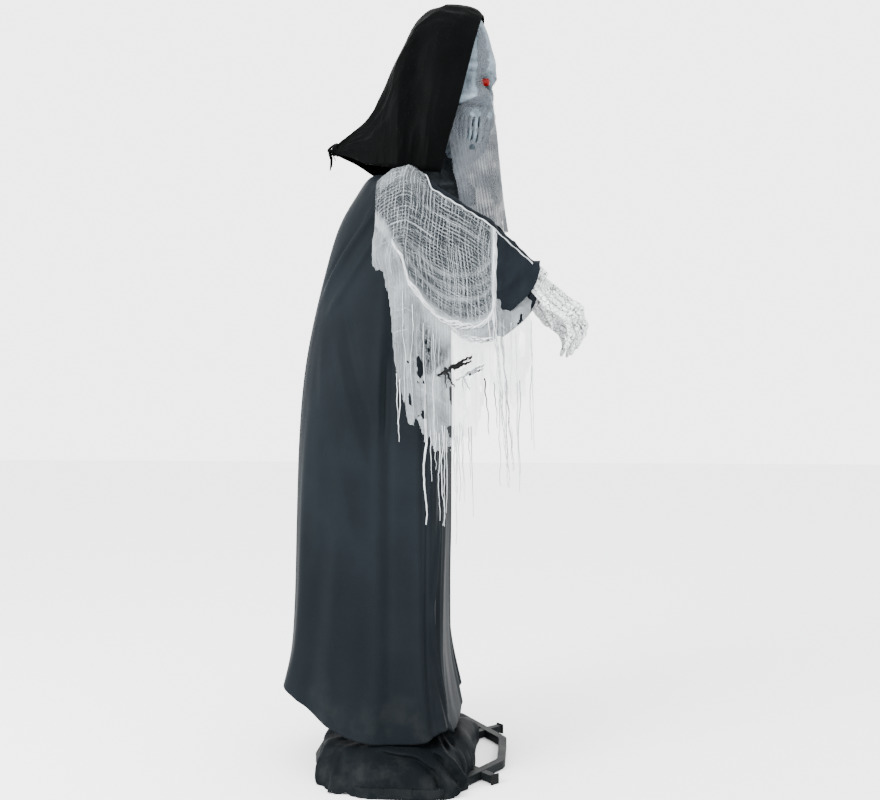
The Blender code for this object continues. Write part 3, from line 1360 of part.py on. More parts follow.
def hand_pad(side, middle_share, half_size, group):
    """Make a flattened ball in the hand's directions, at a share of the way to the knuckles."""
    wrist, along, down, out, heel = hand_frame(side)
    pad = ball((0, 0, 0), half_size, group, 12, 8)
    turn = Matrix((out, down, along)).transposed().to_4x4()
    pad.data.transform(Matrix.Translation(heel + along * FINGER_BASE * middle_share) @ turn)
    if turn.determinant() < 0:
        pad.data.flip_normals()
    return pad


def hand(name, side, group, skin):
    """Make the bony hand: a wrist, a heel, a palm, four bent fingers and a thumb."""
    wrist, along, down, out, heel = hand_frame(side)
    start = wrist + along * HAND_START
    made = rod(start, wrist + along * FINGER_BASE * 0.5, HAND_WRIST_RADIUS * 0.86, group, 14)
    join(made, hand_pad(side, HEEL_MIDDLE_SHARE,
                        (PALM_HALF_WIDTH * HEEL_WIDTH_SHARE, PALM_THICKNESS * HEEL_THICKNESS_SHARE,
                         FINGER_BASE * HEEL_HALF_SHARE), group))
    join(made, hand_pad(side, PALM_MIDDLE_SHARE,
                        (PALM_HALF_WIDTH, PALM_THICKNESS, PALM_LENGTH / 2), group))
    for across_share, length_share in FINGER_SHARES:
        bones = [bone * length_share for bone in (FINGER_BONE, FINGER_TIP_BONE, FINGER_TIP_BONE)]
        path = hand_path(side, across_share * FINGER_PITCH, FINGER_BENDS, bones)
        join(made, tube(path, FINGER_RADIUS, group, 1, radii=BONE_WIDTH_SHARES))
    root = heel + along * FINGER_BASE * 0.5 - out * PALM_HALF_WIDTH * 0.45 + down * THUMB_RADIUS
    knuckle = root + along * FINGER_BONE * 0.6 + down * THUMB_RADIUS * 2.2
    tip = knuckle + along * FINGER_TIP_BONE * 0.7 + down * FINGER_TIP_BONE * 0.55
    join(made, tube([root, (root + knuckle) / 2, knuckle, (knuckle + tip) / 2, tip],
                    THUMB_RADIUS, group, 1, radii=(1.1, 0.85, 1.0, 0.8, 0.4)))
    cut(made, rod(wrist, start + along * HAND_BORE_DEPTH, PLUG_RADIUS + GAP, group, 12))
    return finish(made, name, group, skin, math.radians(70))


def wrist_plug(name, side, group, plastic):
    """Make the round plug that joins a hand to its arm tube and lets it swivel."""
    wrist, along, down, out, heel = hand_frame(side)
    start = wrist - along * (ARM_BORE_DEPTH - 2 * GAP)
    end = wrist + along * (HAND_START + HAND_BORE_DEPTH - 2 * GAP)
    plug = rod(start, end, PLUG_RADIUS, group, 12)
    ring = rod(wrist + along * GAP, wrist + along * (HAND_START - GAP), ARM_RADIUS, group, 16)
    join(plug, ring)
    return finish(plug, name, group, plastic)


def main():
    """Build every piece of the figure."""
    clear_scene()
    parts = new_collection("animated_ghost_figure")
    cutters = new_collection("cutters")
    black_steel = material("black_steel", (0.03, 0.035, 0.038), 0.45, 0.6)
    zinc = material("zinc_steel", (0.55, 0.56, 0.58), 0.35, 1.0)
    black_plastic = material("black_plastic", (0.02, 0.02, 0.022), 0.5)
    gray_plastic = material("gray_plastic", (0.12, 0.12, 0.13), 0.5)
    rubber = material("black_rubber", (0.015, 0.015, 0.015), 0.85)
    robe_satin = material("robe_satin", (0.028, 0.034, 0.043), 0.5)
    hood_satin = material("hood_satin", (0.008, 0.009, 0.010), 0.75)
    gauze = material("white_gauze", (0.62, 0.63, 0.64), 0.9)
    bone = material("painted_bone", (0.42, 0.44, 0.48), 0.6)
    red = material("red_lamp", (0.6, 0.01, 0.01), 0.2)
    clear = material("dark_lens", (0.05, 0.02, 0.02), 0.1)

    floor_frame("front_floor_frame", True, parts, black_steel)
    floor_frame("rear_floor_frame", False, parts, black_steel)
    corners = {"front_left": 1, "front_right": -1, "rear_left": 3, "rear_right": -3}
    for corner, times in corners.items():
        leg_cap(corner + "_leg_cap", times * LEG_ANGLE, parts, black_plastic)
        hub_bolt(corner + "_hub_bolt", times * LEG_ANGLE, parts, zinc)
    loop_joiner("left_loop_joiner", 1, parts, black_steel)
    loop_joiner("right_loop_joiner", -1, parts, black_steel)
    hub_foot(parts, rubber)
    hub_socket(parts, black_steel, cutters)
    lower_pole(parts, black_steel)
    upper_pole(parts, black_steel)
    snap_button("hub_button", SOCKET_RADIUS, POLE_BORE, PLATE_TOP + SOCKET_BUTTON_RISE,
                parts, zinc)
    snap_button("pole_button", POLE_RADIUS, SPIGOT_RADIUS - POLE_WALL,
                LOWER_POLE_TOP - POLE_BUTTON_DROP, parts, zinc)
    motor_housing(parts, black_plastic)
    motor_lid(parts, black_plastic)
    turn_motor(parts, zinc)
    base_skirt(parts, robe_satin)

    turn_coupling(parts, zinc)
    torso_post(parts, black_steel)
    shoulder_bar(parts, black_steel)
    body_hoop(parts, zinc)
    control_box(parts, black_plastic)
    battery_door(parts, black_plastic)
    for index in range(CELL_COUNT):
        battery(f"battery_{index + 1}", index, parts, zinc)
    speaker_grille(parts, gray_plastic)
    mode_switch(parts, gray_plastic)
    sensor_pod(parts, gray_plastic)
    sensor_lens(parts, clear)
    head_motor_bracket(parts, black_steel)
    head_motor(parts, black_plastic)
    robe(parts, robe_satin)

    neck_tube(parts, zinc)
    neck_plug(parts, black_plastic)
    skull_mask(parts, bone)
    hood(parts, hood_satin)
    hood_tie(parts, hood_satin)
    veil(parts, gauze)
    for label, side in (("left", 1), ("right", -1)):
        eye_lamp(label + "_eye_lamp", side, parts, red)
        shoulder_pin(label + "_shoulder_pin", side, parts, zinc)
        arm_tube(label + "_arm_tube", side, parts, black_steel)
        sleeve(label + "_sleeve", side, parts, robe_satin)
        shawl(label + "_shawl", side, parts, gauze)
        wrist_plug(label + "_wrist_plug", side, parts, black_plastic)
        hand(label + "_hand", side, parts, bone)


if __name__ == "__main__":
    main()
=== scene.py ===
"""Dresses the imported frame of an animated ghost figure: cloth, mask, hands, stand and studio.

The figure faces -Y and its right side is -X. Sizes are in metres.
"""

from __future__ import annotations

import json
import logging
import math
from dataclasses import dataclass, field
from enum import Enum
from typing import Any, Callable

import bmesh
import bpy
import numpy as np
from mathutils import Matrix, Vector

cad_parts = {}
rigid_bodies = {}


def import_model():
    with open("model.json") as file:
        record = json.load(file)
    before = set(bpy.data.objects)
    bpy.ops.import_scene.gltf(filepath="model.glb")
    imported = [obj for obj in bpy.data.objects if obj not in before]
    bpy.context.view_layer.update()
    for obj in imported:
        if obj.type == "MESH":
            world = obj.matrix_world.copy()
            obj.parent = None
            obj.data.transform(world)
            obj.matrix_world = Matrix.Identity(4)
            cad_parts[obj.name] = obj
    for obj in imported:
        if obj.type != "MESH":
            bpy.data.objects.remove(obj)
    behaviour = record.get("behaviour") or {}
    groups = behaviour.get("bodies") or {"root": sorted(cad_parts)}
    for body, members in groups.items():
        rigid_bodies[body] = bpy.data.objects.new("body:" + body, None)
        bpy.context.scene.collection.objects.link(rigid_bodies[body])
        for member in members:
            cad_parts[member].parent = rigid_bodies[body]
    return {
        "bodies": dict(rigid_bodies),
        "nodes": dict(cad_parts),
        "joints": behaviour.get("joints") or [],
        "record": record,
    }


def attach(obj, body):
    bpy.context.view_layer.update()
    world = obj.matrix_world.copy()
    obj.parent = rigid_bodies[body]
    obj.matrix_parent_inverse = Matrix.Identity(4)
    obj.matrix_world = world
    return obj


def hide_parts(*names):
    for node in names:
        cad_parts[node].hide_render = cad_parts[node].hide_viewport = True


LOG = logging.getLogger("ghost_figure")
HAIRLINE = 0.0003
THIN_CLOTH = 0.0010
SATIN_CLOTH = 0.0012

Color = tuple[float, float, float]
Socket = bpy.types.NodeSocket
Piece = bpy.types.Object


# Shared geometry helpers


def at(side: Any, forward: Any, up: Any) -> np.ndarray:
    """Stack sideways, forward and upward distances into frame coordinates.

    Args:
        side: Distance to the figure's left.
        forward: Distance the way the figure faces.
        up: Height above the floor.

    Returns:
        Coordinates with a last axis of three.
    """
    side, forward, up = np.broadcast_arrays(side, forward, up)
    return np.stack([side, -np.asarray(forward, float), up], axis=-1).astype(float)


def smooth_rows(table: np.ndarray, where: np.ndarray) -> np.ndarray:
    """Read a table of rows at fractional places, along a smooth curve through its rows.

    Args:
        table: Rows of control values.
        where: Places from 0, the first row, to 1, the last.

    Returns:
        One interpolated row for each place.
    """
    count = len(table)
    place = np.clip(where, 0.0, 1.0) * (count - 1)
    low = np.minimum(place.astype(int), count - 2)
    part = (place - low)[..., None]
    before, start = table[np.maximum(low - 1, 0)], table[low]
    end, after = table[low + 1], table[np.minimum(low + 2, count - 1)]
    slope_in, slope_out = (end - before) / 2, (after - start) / 2
    cube, square = part ** 3, part ** 2
    return ((2 * cube - 3 * square + 1) * start + (cube - 2 * square + part) * slope_in
            + (3 * square - 2 * cube) * end + (cube - square) * slope_out)


def smooth_line(pairs: list[tuple[float, float]], where: np.ndarray) -> np.ndarray:
    """Read a rounded line through (place, value) pairs.

    Args:
        pairs: Places in rising order and the values there.
        where: Places to read.

    Returns:
        The values at those places.
    """
    places = np.array([pair[0] for pair in pairs])
    values = np.array([[pair[1]] for pair in pairs])
    share = np.interp(where, places, np.linspace(0.0, 1.0, len(places)))
    return smooth_rows(values, share)[..., 0]


def step(low: float, high: float, value: np.ndarray) -> np.ndarray:
    """Rise smoothly from 0 at low to 1 at high."""
    share = np.clip((value - low) / (high - low), 0.0, 1.0)
    return share * share * (3 - 2 * share)


def bell(value: np.ndarray, middle: Any, width: float) -> np.ndarray:
    """Peak at 1 in the middle and fade to 0 about a width away."""
    return np.exp(-(((value - middle) / width) ** 2))


def lattice_noise(across: np.ndarray, along: np.ndarray, seed: int) -> np.ndarray:
    """Give smooth noise from -1 to 1 whose bumps are about one unit wide.

    Args:
        across: First coordinate.
        along: Second coordinate.
        seed: Which fixed pattern to use.

    Returns:
        A value for each point.
    """
    table = np.random.RandomState(seed).rand(64, 64) * 2 - 1
    cell_x, cell_y = np.floor(across).astype(int), np.floor(along).astype(int)
    part_x, part_y = across - cell_x, along - cell_y
    part_x = part_x * part_x * (3 - 2 * part_x)
    part_y = part_y * part_y * (3 - 2 * part_y)
    corner = [[table[(cell_x + i) % 64, (cell_y + j) % 64] for j in (0, 1)] for i in (0, 1)]
    low = corner[0][0] * (1 - part_x) + corner[1][0] * part_x
    high = corner[0][1] * (1 - part_x) + corner[1][1] * part_x
    return low * (1 - part_y) + high * part_y


def rumple(across: np.ndarray, along: np.ndarray, seed: int, layers: int = 3) -> np.ndarray:
    """Add ever finer layers of creased noise, as on crumpled cloth.

    Args:
        across: First coordinate.
        along: Second coordinate.
        seed: Which fixed pattern to use.
        layers: How many scales to add.

    Returns:
        A value of roughly -1 to 1 for each point.
    """
    total = np.zeros(np.broadcast(across, along).shape)
    for layer in range(layers):
        scale = 2.0 ** layer
        bumps = lattice_noise(across * scale + 7.3 * layer, along * scale - 3.1 * layer,
                              seed + 11 * layer)
        total += (1 - 2 * np.abs(bumps)) / scale
    return total / 2


@dataclass(frozen=True)
class Fold:
    """One ridge or groove that runs across a cloth from one end to the other.

    Attributes:
        start: Where it begins, as a turn in degrees and a height in metres.
        end: Where it ends, in the same terms.
        width: Its half width in degrees.
        height: How far it stands out, or in where negative, in metres.
    """

    start: tuple[float, float]
    end: tuple[float, float]
    width: float
    height: float

    def rise(self, turn: np.ndarray, up: np.ndarray) -> np.ndarray:
        """Measure how far the fold stands out over a cloth.

        Args:
            turn: Turns from the front in degrees, from -180 to 180.
            up: Heights in metres.

        Returns:
            The outward offset at each point in metres.
        """
        share = (up - self.start[1]) / (self.end[1] - self.start[1])
        middle = self.start[0] + (self.end[0] - self.start[0]) * share
        away = (turn - middle + 180) % 360 - 180
        ends = step(-0.15, 0.25, share) * (1 - step(0.75, 1.15, share))
        return self.height * bell(away, 0.0, self.width) * ends


def grid_mesh(name: str, columns: int, rows: int,
              surface: Callable[[np.ndarray, np.ndarray], np.ndarray],
              size: tuple[float, float], keep: Callable | None = None,
              closed: bool = False) -> bpy.types.Mesh:
    """Lay a flat grid over a surface, with a UV map in metres of cloth.

    Args:
        name: The mesh's name.
        columns: Faces across.
        rows: Faces down.
        surface: Gives points in space for shares across and down.
        size: Width and length of the cloth in metres.
        keep: Gives a mask for shares across and down, where false cuts the cloth away.
        closed: Whether the first and last columns meet in a seam.

    Returns:
        The finished mesh.
    """
    work = bmesh.new()
    bmesh.ops.create_grid(work, x_segments=columns, y_segments=rows, size=0.5)
    flat = work.loops.layers.uv.new("UVMap")
    for face in work.faces:
        for loop in face.loops:
            loop[flat].uv = ((loop.vert.co.x + 0.5) * size[0], (0.5 - loop.vert.co.y) * size[1])
    places = np.array([vert.co for vert in work.verts])
    across, down = places[:, 0] + 0.5, 0.5 - places[:, 1]
    if keep is not None:
        middles = np.array([face.calc_center_median() for face in work.faces])
        mask = keep(middles[:, 0] + 0.5, 0.5 - middles[:, 1])
        gone = [face for face, stays in zip(list(work.faces), mask) if not stays]
    points = surface(across, down)
    for vert, point in zip(work.verts, points):
        vert.co = point
    if keep is not None:
        bmesh.ops.delete(work, geom=gone, context="FACES")
    if closed:
        bmesh.ops.remove_doubles(work, verts=work.verts, dist=HAIRLINE / 3)
    mesh = bpy.data.meshes.new(name)
    work.to_mesh(mesh)
    work.free()
    return mesh


def turn_outwards(mesh: bpy.types.Mesh, middle: Vector) -> None:
    """Flip a mesh's faces if most of them look towards a middle point.

    Args:
        mesh: The open or closed mesh.
        middle: A point on its inner side.
    """
    inward = sum(1 if (face.center - middle).dot(face.normal) < 0 else -1
                 for face in mesh.polygons)
    if inward > 0:
        mesh.flip_normals()


def add_field(mesh: bpy.types.Mesh, name: str, values: np.ndarray) -> None:
    """Store one number per vertex as an attribute that materials can read."""
    layer = mesh.attributes.new(name, "FLOAT", "POINT")
    layer.data.foreach_set("value", np.asarray(values, np.float32))


def vertex_array(mesh: bpy.types.Mesh) -> np.ndarray:
    """Read a mesh's vertices as rows of coordinates."""
    flat = np.empty(len(mesh.vertices) * 3, np.float32)
    mesh.vertices.foreach_get("co", flat)
    return flat.reshape(-1, 3).astype(float)


def set_vertices(mesh: bpy.types.Mesh, points: np.ndarray) -> None:
    """Write a mesh's vertices from rows of coordinates."""
    mesh.vertices.foreach_set("co", np.asarray(points, np.float32).ravel())
    mesh.update()


def vertex_normals(mesh: bpy.types.Mesh) -> np.ndarray:
    """Read a mesh's vertex normals as rows."""
    return np.array([item.vector for item in mesh.vertex_normals], float)


def hollowness(mesh: bpy.types.Mesh, rounds: int) -> np.ndarray:
    """Measure how far each vertex lies below its neighbourhood.

    Args:
        mesh: The mesh.
        rounds: How many rings of neighbours to average.

    Returns:
        Depths in metres, positive in hollows.
    """
    ends = np.empty(len(mesh.edges) * 2, np.int32)
    mesh.edges.foreach_get("vertices", ends)
    first, second = ends.reshape(-1, 2).T
    points = vertex_array(mesh)
    count = np.bincount(np.concatenate([first, second]), minlength=len(points))[:, None]
    soft = points.copy()
    for _ in range(rounds):
        total = np.zeros_like(soft)
        for axis in range(3):
            total[:, axis] += np.bincount(first, soft[second, axis], len(points))
            total[:, axis] += np.bincount(second, soft[first, axis], len(points))
        soft = total / np.maximum(count, 1)
    return ((soft - points) * vertex_normals(mesh)).sum(axis=1)


@dataclass(frozen=True)
class Thread:
    """A strip or thread of cloth that hangs along a path.

    Attributes:
        points: The path in frame coordinates.
        radius: Half its thickness at the top.
        taper: Share of that radius left at the end.
    """

    points: tuple[tuple[float, float, float], ...]
    radius: float
    taper: float = 0.35


def traced(places: np.ndarray, radius: float, taper: float) -> Thread:
    """Make a thread that runs through rows of points."""
    return Thread(tuple(map(tuple, places)), radius, taper)


def hanging(side: float, forward: float, top: float, bottom: float, sway: float,
            drift: float, seed: int) -> tuple[tuple[float, float, float], ...]:
    """Trace a loosely wavy path straight down under its own weight.

    Args:
        side: Sideways place of its top.
        forward: Forward place of its top.
        top: Height of its top.
        bottom: Height of its end.
        sway: How far it wanders sideways.
        drift: How much further forward its end lies.
        seed: Which fixed wander to use.

    Returns:
        The path's points.
    """
    random = np.random.RandomState(seed)
    count = max(5, int((top - bottom) / 0.012))
    share = np.linspace(0.0, 1.0, count)
    wander = np.zeros(count)
    swing = np.zeros(count)
    for wave in (1.3, 2.9, 5.7, 9.1):
        wander += np.sin(wave * 2 * np.pi * share + random.rand() * 7) * random.rand() / wave
        swing += np.sin(wave * 2 * np.pi * share + random.rand() * 7) * random.rand() / wave
    ends = np.minimum(1.0, share * 4)
    line = at(side + sway * swing * ends, forward + drift * share + sway * wander * ends,
              top + (bottom - top) * share)
    return tuple(tuple(point) for point in line)


def thread_mesh(name: str, threads: list[Thread]) -> bpy.types.Mesh:
    """Make closed tubes along the paths of threads.

    Args:
        name: The mesh's name.
        threads: What to make.

    Returns:
        One mesh with every thread.
    """
    curve = bpy.data.curves.new(name, "CURVE")
    curve.dimensions = "3D"
    curve.bevel_depth = 1.0
    curve.bevel_resolution = 1
    curve.use_fill_caps = True
    for thread in threads:
        spline = curve.splines.new("POLY")
        spline.points.add(len(thread.points) - 1)
        for index, (spot, point) in enumerate(zip(spline.points, thread.points)):
            share = index / (len(thread.points) - 1)
            spot.co = (*point, 1.0)
            spot.radius = thread.radius * (1 + (thread.taper - 1) * share)
    carrier = bpy.data.objects.new(name, curve)
    bpy.context.scene.collection.objects.link(carrier)
    bpy.context.view_layer.update()
    mesh = bpy.data.meshes.new_from_object(
        carrier.evaluated_get(bpy.context.evaluated_depsgraph_get()))
    bpy.data.objects.remove(carrier)
    bpy.data.curves.remove(curve)
    for face in mesh.polygons:
        face.use_smooth = True
    return mesh


# Shader building


class Graph:
    """Adds and links nodes in one node tree."""

    def __init__(self, tree: bpy.types.NodeTree) -> None:
        """Keep the tree that nodes go into."""
        self.tree = tree

    def add(self, kind: str, inputs: dict[str | int, Any] | None = None,
            **settings: Any) -> bpy.types.Node:
        """Add one node.

        Args:
            kind: The node's type name.
            inputs: Values or sockets for its inputs, by name or index.
            **settings: Properties of the node.

        Returns:
            The new node.
        """
        node = self.tree.nodes.new(kind)
        for name, value in settings.items():
            setattr(node, name, value)
        for key, value in (inputs or {}).items():
            if isinstance(value, Socket):
                self.tree.links.new(value, node.inputs[key])
            else:
                node.inputs[key].default_value = value
        return node

    def join(self, value: Socket, node: bpy.types.Node, name: str) -> None:
        """Link a value to one of a node's inputs."""
        self.tree.links.new(value, node.inputs[name])

    def math(self, operation: str, first: Any, second: Any = 0.0, third: Any = 0.0) -> Socket:
        """Add a Math node and return its output."""
        node = self.add("ShaderNodeMath", {0: first, 1: second, 2: third}, operation=operation)
        return node.outputs[0]

    def scaled(self, vector: Socket, scale: tuple[float, float, float]) -> Socket:
        """Stretch a coordinate through a Mapping node."""
        node = self.add("ShaderNodeMapping", {"Vector": vector, "Scale": scale})
        return node.outputs["Vector"]

    def noise(self, vector: Socket, scale: Any, detail: float = 3.0,
              roughness: float = 0.55) -> Socket:
        """Add a noise texture and return its value."""
        node = self.add("ShaderNodeTexNoise", {"Vector": vector, "Scale": scale,
                                               "Detail": detail, "Roughness": roughness})
        return node.outputs["Fac"]

    def wander(self, vector: Socket, scale: float, detail: float, reach: float) -> Socket:
        """Make a noise vector of up to a reach in metres."""
        noise = self.add("ShaderNodeTexNoise", {"Vector": vector, "Scale": scale,
                                                "Detail": detail})
        return self.add("ShaderNodeVectorMath", {0: noise.outputs["Color"], 3: reach},
                        operation="SCALE").outputs[0]

    def plus(self, first: Socket, second: Socket) -> Socket:
        """Add two vectors."""
        node = self.add("ShaderNodeVectorMath", {0: first, 1: second}, operation="ADD")
        return node.outputs[0]

    def ramp(self, value: Any, low: Any, high: Any, start: Any = 0.0,
             end: Any = 1.0) -> Socket:
        """Map a value smoothly from one range to another."""
        node = self.add("ShaderNodeMapRange", {"Value": value, "From Min": low,
                                               "From Max": high, "To Min": start, "To Max": end},
                        interpolation_type="SMOOTHSTEP")
        return node.outputs["Result"]

    def mix(self, share: Any, first: Any, second: Any, blend: str = "MIX") -> Socket:
        """Mix two colours."""
        node = self.add("ShaderNodeMix", data_type="RGBA", blend_type=blend)
        for key, value in ((0, share), (6, first), (7, second)):
            if isinstance(value, Socket):
                self.tree.links.new(value, node.inputs[key])
            else:
                node.inputs[key].default_value = (*value, 1.0) if key else value
        return node.outputs[2]


class Effect(Enum):
    """The shared shader effects, each built once as a node group."""

    WEAVE = "plain_weave"
    GAUZE = "open_gauze"
    CRUMPLE = "crumpled_cloth"
    GRAIN = "moulded_grain"
    WEAR = "worn_patches"
    DUST = "settled_dust"


class EffectShelf:
    """Builds each shared effect the first time that a material asks for it."""

    def __init__(self) -> None:
        """Start with an empty shelf."""
        self.made: dict[Effect, bpy.types.NodeTree] = {}
        self.makers: dict[Effect, Callable[[], bpy.types.NodeTree]] = {
            Effect.WEAVE: self.weave,
            Effect.GAUZE: self.gauze,
            Effect.CRUMPLE: self.crumple,
            Effect.GRAIN: self.grain,
            Effect.WEAR: self.wear,
            Effect.DUST: self.dust,
        }

    def place(self, graph: Graph, effect: Effect, inputs: dict[str, Any]) -> bpy.types.Node:
        """Put an effect's group node in a material.

        Args:
            graph: The material's graph.
            effect: Which effect.
            inputs: Values or sockets for the group's inputs.

        Returns:
            The group node.
        """
        if effect not in self.made:
            self.made[effect] = self.makers[effect]()
        return graph.add("ShaderNodeGroup", inputs, node_tree=self.made[effect])

    def start(self, effect: Effect, inputs: dict[str, float],
              outputs: list[str]) -> tuple[Graph, bpy.types.Node, bpy.types.Node]:
        """Begin a node group with a vector input, number inputs and number outputs.

        Args:
            effect: Which effect the group makes.
            inputs: Names and default values of its number inputs.
            outputs: Names of its number outputs.

        Returns:
            The graph, the group's input node and its output node.
        """
        tree = bpy.data.node_groups.new(effect.value, "ShaderNodeTree")
        tree.interface.new_socket("Vector", in_out="INPUT", socket_type="NodeSocketVector")
        for name, value in inputs.items():
            made = tree.interface.new_socket(name, in_out="INPUT", socket_type="NodeSocketFloat")
            made.default_value = value
        for name in outputs:
            tree.interface.new_socket(name, in_out="OUTPUT", socket_type="NodeSocketFloat")
        graph = Graph(tree)
        return graph, graph.add("NodeGroupInput"), graph.add("NodeGroupOutput")

    def weave(self) -> bpy.types.NodeTree:
        """Make fine crossing threads that read a UV map in metres."""
        graph, given, out = self.start(Effect.WEAVE, {"Threads": 1100.0, "Slub": 0.3},
                                       ["Height", "Thread"])
        apart = graph.add("ShaderNodeSeparateXYZ", {0: given.outputs["Vector"]})
        turns = graph.math("MULTIPLY", given.outputs["Threads"], math.tau)
        warp = graph.math("SINE", graph.math("MULTIPLY", apart.outputs[0], turns))
        weft = graph.math("SINE", graph.math("MULTIPLY", apart.outputs[1], turns))
        over = graph.math("MULTIPLY", warp, weft)
        slub = graph.noise(graph.scaled(given.outputs["Vector"], (900.0, 40.0, 1.0)), 1.0, 2.0)
        height = graph.math("MULTIPLY_ADD", slub, given.outputs["Slub"], over)
        graph.join(height, out, "Height")
        graph.join(slub, out, "Thread")
        return graph.tree

    def gauze(self) -> bpy.types.NodeTree:
        """Make open, pulled threads: how much of each spot the cloth covers."""
        graph, given, out = self.start(
            Effect.GAUZE, {"Threads": 420.0, "Cover": 0.5, "Pulled": 0.5},
            ["Cover", "Height", "Strand"])
        vector = given.outputs["Vector"]
        bent = graph.plus(vector, graph.wander(vector, 4.0, 1.0, 0.060))
        bent = graph.plus(bent, graph.wander(vector, 38.0, 2.0, 0.0055))
        apart = graph.add("ShaderNodeSeparateXYZ", {0: bent})
        plain = graph.add("ShaderNodeSeparateXYZ", {0: vector})
        nets, pulls = [], []
        for axis, stretch in ((0, (45.0, 5.0, 1.0)), (1, (4.0, 34.0, 1.0))):
            turns = graph.math("MULTIPLY", given.outputs["Threads"], math.pi)
            wave = graph.math("SINE", graph.math("MULTIPLY", apart.outputs[axis], turns))
            thin = graph.noise(graph.scaled(vector, tuple(3 * part for part in stretch)), 1.0,
                               2.0)
            line = graph.ramp(graph.math("ABSOLUTE", wave), 0.42, 0.14)
            nets.append(graph.math("MULTIPLY", line, graph.ramp(thin, 0.34, 0.62, 0.06, 1.0)))
            wide = graph.math("MULTIPLY", apart.outputs[axis], (105.0, 74.0)[axis] * math.pi)
            pull = graph.ramp(graph.math("ABSOLUTE", graph.math("SINE", wide)), 0.20, 0.06)
            chosen = graph.ramp(graph.noise(graph.scaled(vector, stretch), 1.0, 1.0),
                                (0.50, 0.57)[axis], (0.60, 0.67)[axis])
            pulls.append(graph.math("MULTIPLY", pull, chosen))
        fine = graph.math("MAXIMUM", nets[0], nets[1])
        strand = graph.math("MAXIMUM", pulls[0], pulls[1])
        patch = graph.noise(vector, 7.0, 4.0)
        cover = graph.math("MULTIPLY", graph.ramp(patch, 0.25, 0.75, 0.55, 1.35),
                           given.outputs["Cover"])
        weft = graph.math("SINE", graph.math("MULTIPLY", plain.outputs[0], 900.0))
        woven = graph.math("MAXIMUM", cover, graph.math("MULTIPLY", fine, 0.42))
        woven = graph.math("MULTIPLY", woven, graph.math("MULTIPLY_ADD", weft, 0.12, 0.92))
        pulled = graph.math("MULTIPLY", strand, given.outputs["Pulled"])
        total = graph.math("MAXIMUM", woven, pulled)
        graph.join(total, out, "Cover")
        graph.join(graph.math("ADD", fine, strand), out, "Height")
        graph.join(strand, out, "Strand")
        return graph.tree

    def crumple(self) -> bpy.types.NodeTree:
        """Make soft creases and dents in cloth."""
        graph, given, out = self.start(Effect.CRUMPLE, {"Scale": 9.0, "Sharpness": 0.5},
                                       ["Height", "Crease"])
        vector = given.outputs["Vector"]
        bent = graph.plus(vector, graph.wander(vector, 5.0, 2.0, 0.12))
        cells = graph.add("ShaderNodeTexVoronoi",
                          {"Vector": bent, "Scale": given.outputs["Scale"],
                           "Smoothness": 0.6}, feature="SMOOTH_F1")
        edges = graph.add("ShaderNodeTexVoronoi",
                          {"Vector": bent, "Scale": given.outputs["Scale"]},
                          feature="DISTANCE_TO_EDGE")
        crease = graph.ramp(edges.outputs["Distance"], 0.34, 0.0)
        soft = graph.noise(vector, 3.5, 4.0)
        height = graph.math("MULTIPLY_ADD", crease, given.outputs["Sharpness"],
                            cells.outputs["Distance"])
        graph.join(graph.math("ADD", height, soft), out, "Height")
        graph.join(crease, out, "Crease")
        return graph.tree

    def grain(self) -> bpy.types.NodeTree:
        """Make the fine spark-eroded grain of moulded plastic and powder coat."""
        graph, given, out = self.start(Effect.GRAIN, {"Scale": 1200.0}, ["Height", "Mottle"])
        vector = given.outputs["Vector"]
        fine = graph.noise(vector, given.outputs["Scale"], 2.0)
        broad = graph.noise(vector, 24.0, 4.0)
        graph.join(fine, out, "Height")
        graph.join(broad, out, "Mottle")
        return graph.tree

    def wear(self) -> bpy.types.NodeTree:
        """Make scuffs and bare spots where paint has rubbed off."""
        graph, given, out = self.start(Effect.WEAR, {"Scale": 60.0, "Amount": 0.3}, ["Mask"])
        vector = given.outputs["Vector"]
        spots = graph.noise(vector, given.outputs["Scale"], 6.0, 0.7)
        broad = graph.noise(vector, 7.0, 2.0)
        joint = graph.math("MULTIPLY", spots, broad)
        limit = graph.math("MULTIPLY_ADD", given.outputs["Amount"], -0.28, 0.46)
        mask = graph.ramp(joint, limit, graph.math("ADD", limit, 0.03))
        graph.join(mask, out, "Mask")
        return graph.tree

    def dust(self) -> bpy.types.NodeTree:
        """Make pale dust and lint that gathers low down and in patches."""
        graph, given, out = self.start(Effect.DUST, {"Top": 0.35, "Amount": 0.2}, ["Mask"])
        vector = given.outputs["Vector"]
        height = graph.add("ShaderNodeSeparateXYZ", {0: vector}).outputs[2]
        low = graph.ramp(height, given.outputs["Top"], 0.0)
        patch = graph.ramp(graph.noise(vector, 14.0, 5.0, 0.65), 0.42, 0.72)
        lint = graph.ramp(graph.noise(vector, 260.0, 2.0), 0.66, 0.72)
        both = graph.math("MAXIMUM", graph.math("MULTIPLY", low, patch),
                          graph.math("MULTIPLY", lint, 0.5))
        graph.join(graph.math("MULTIPLY", both, given.outputs["Amount"]), out, "Mask")
        return graph.tree


def preset(node: bpy.types.Node, values: dict[str, Any]) -> None:
    """Set plain values of a node's inputs."""
    for name, value in values.items():
        node.inputs[name].default_value = value


SHELF = EffectShelf()
WHITEST = 0.9


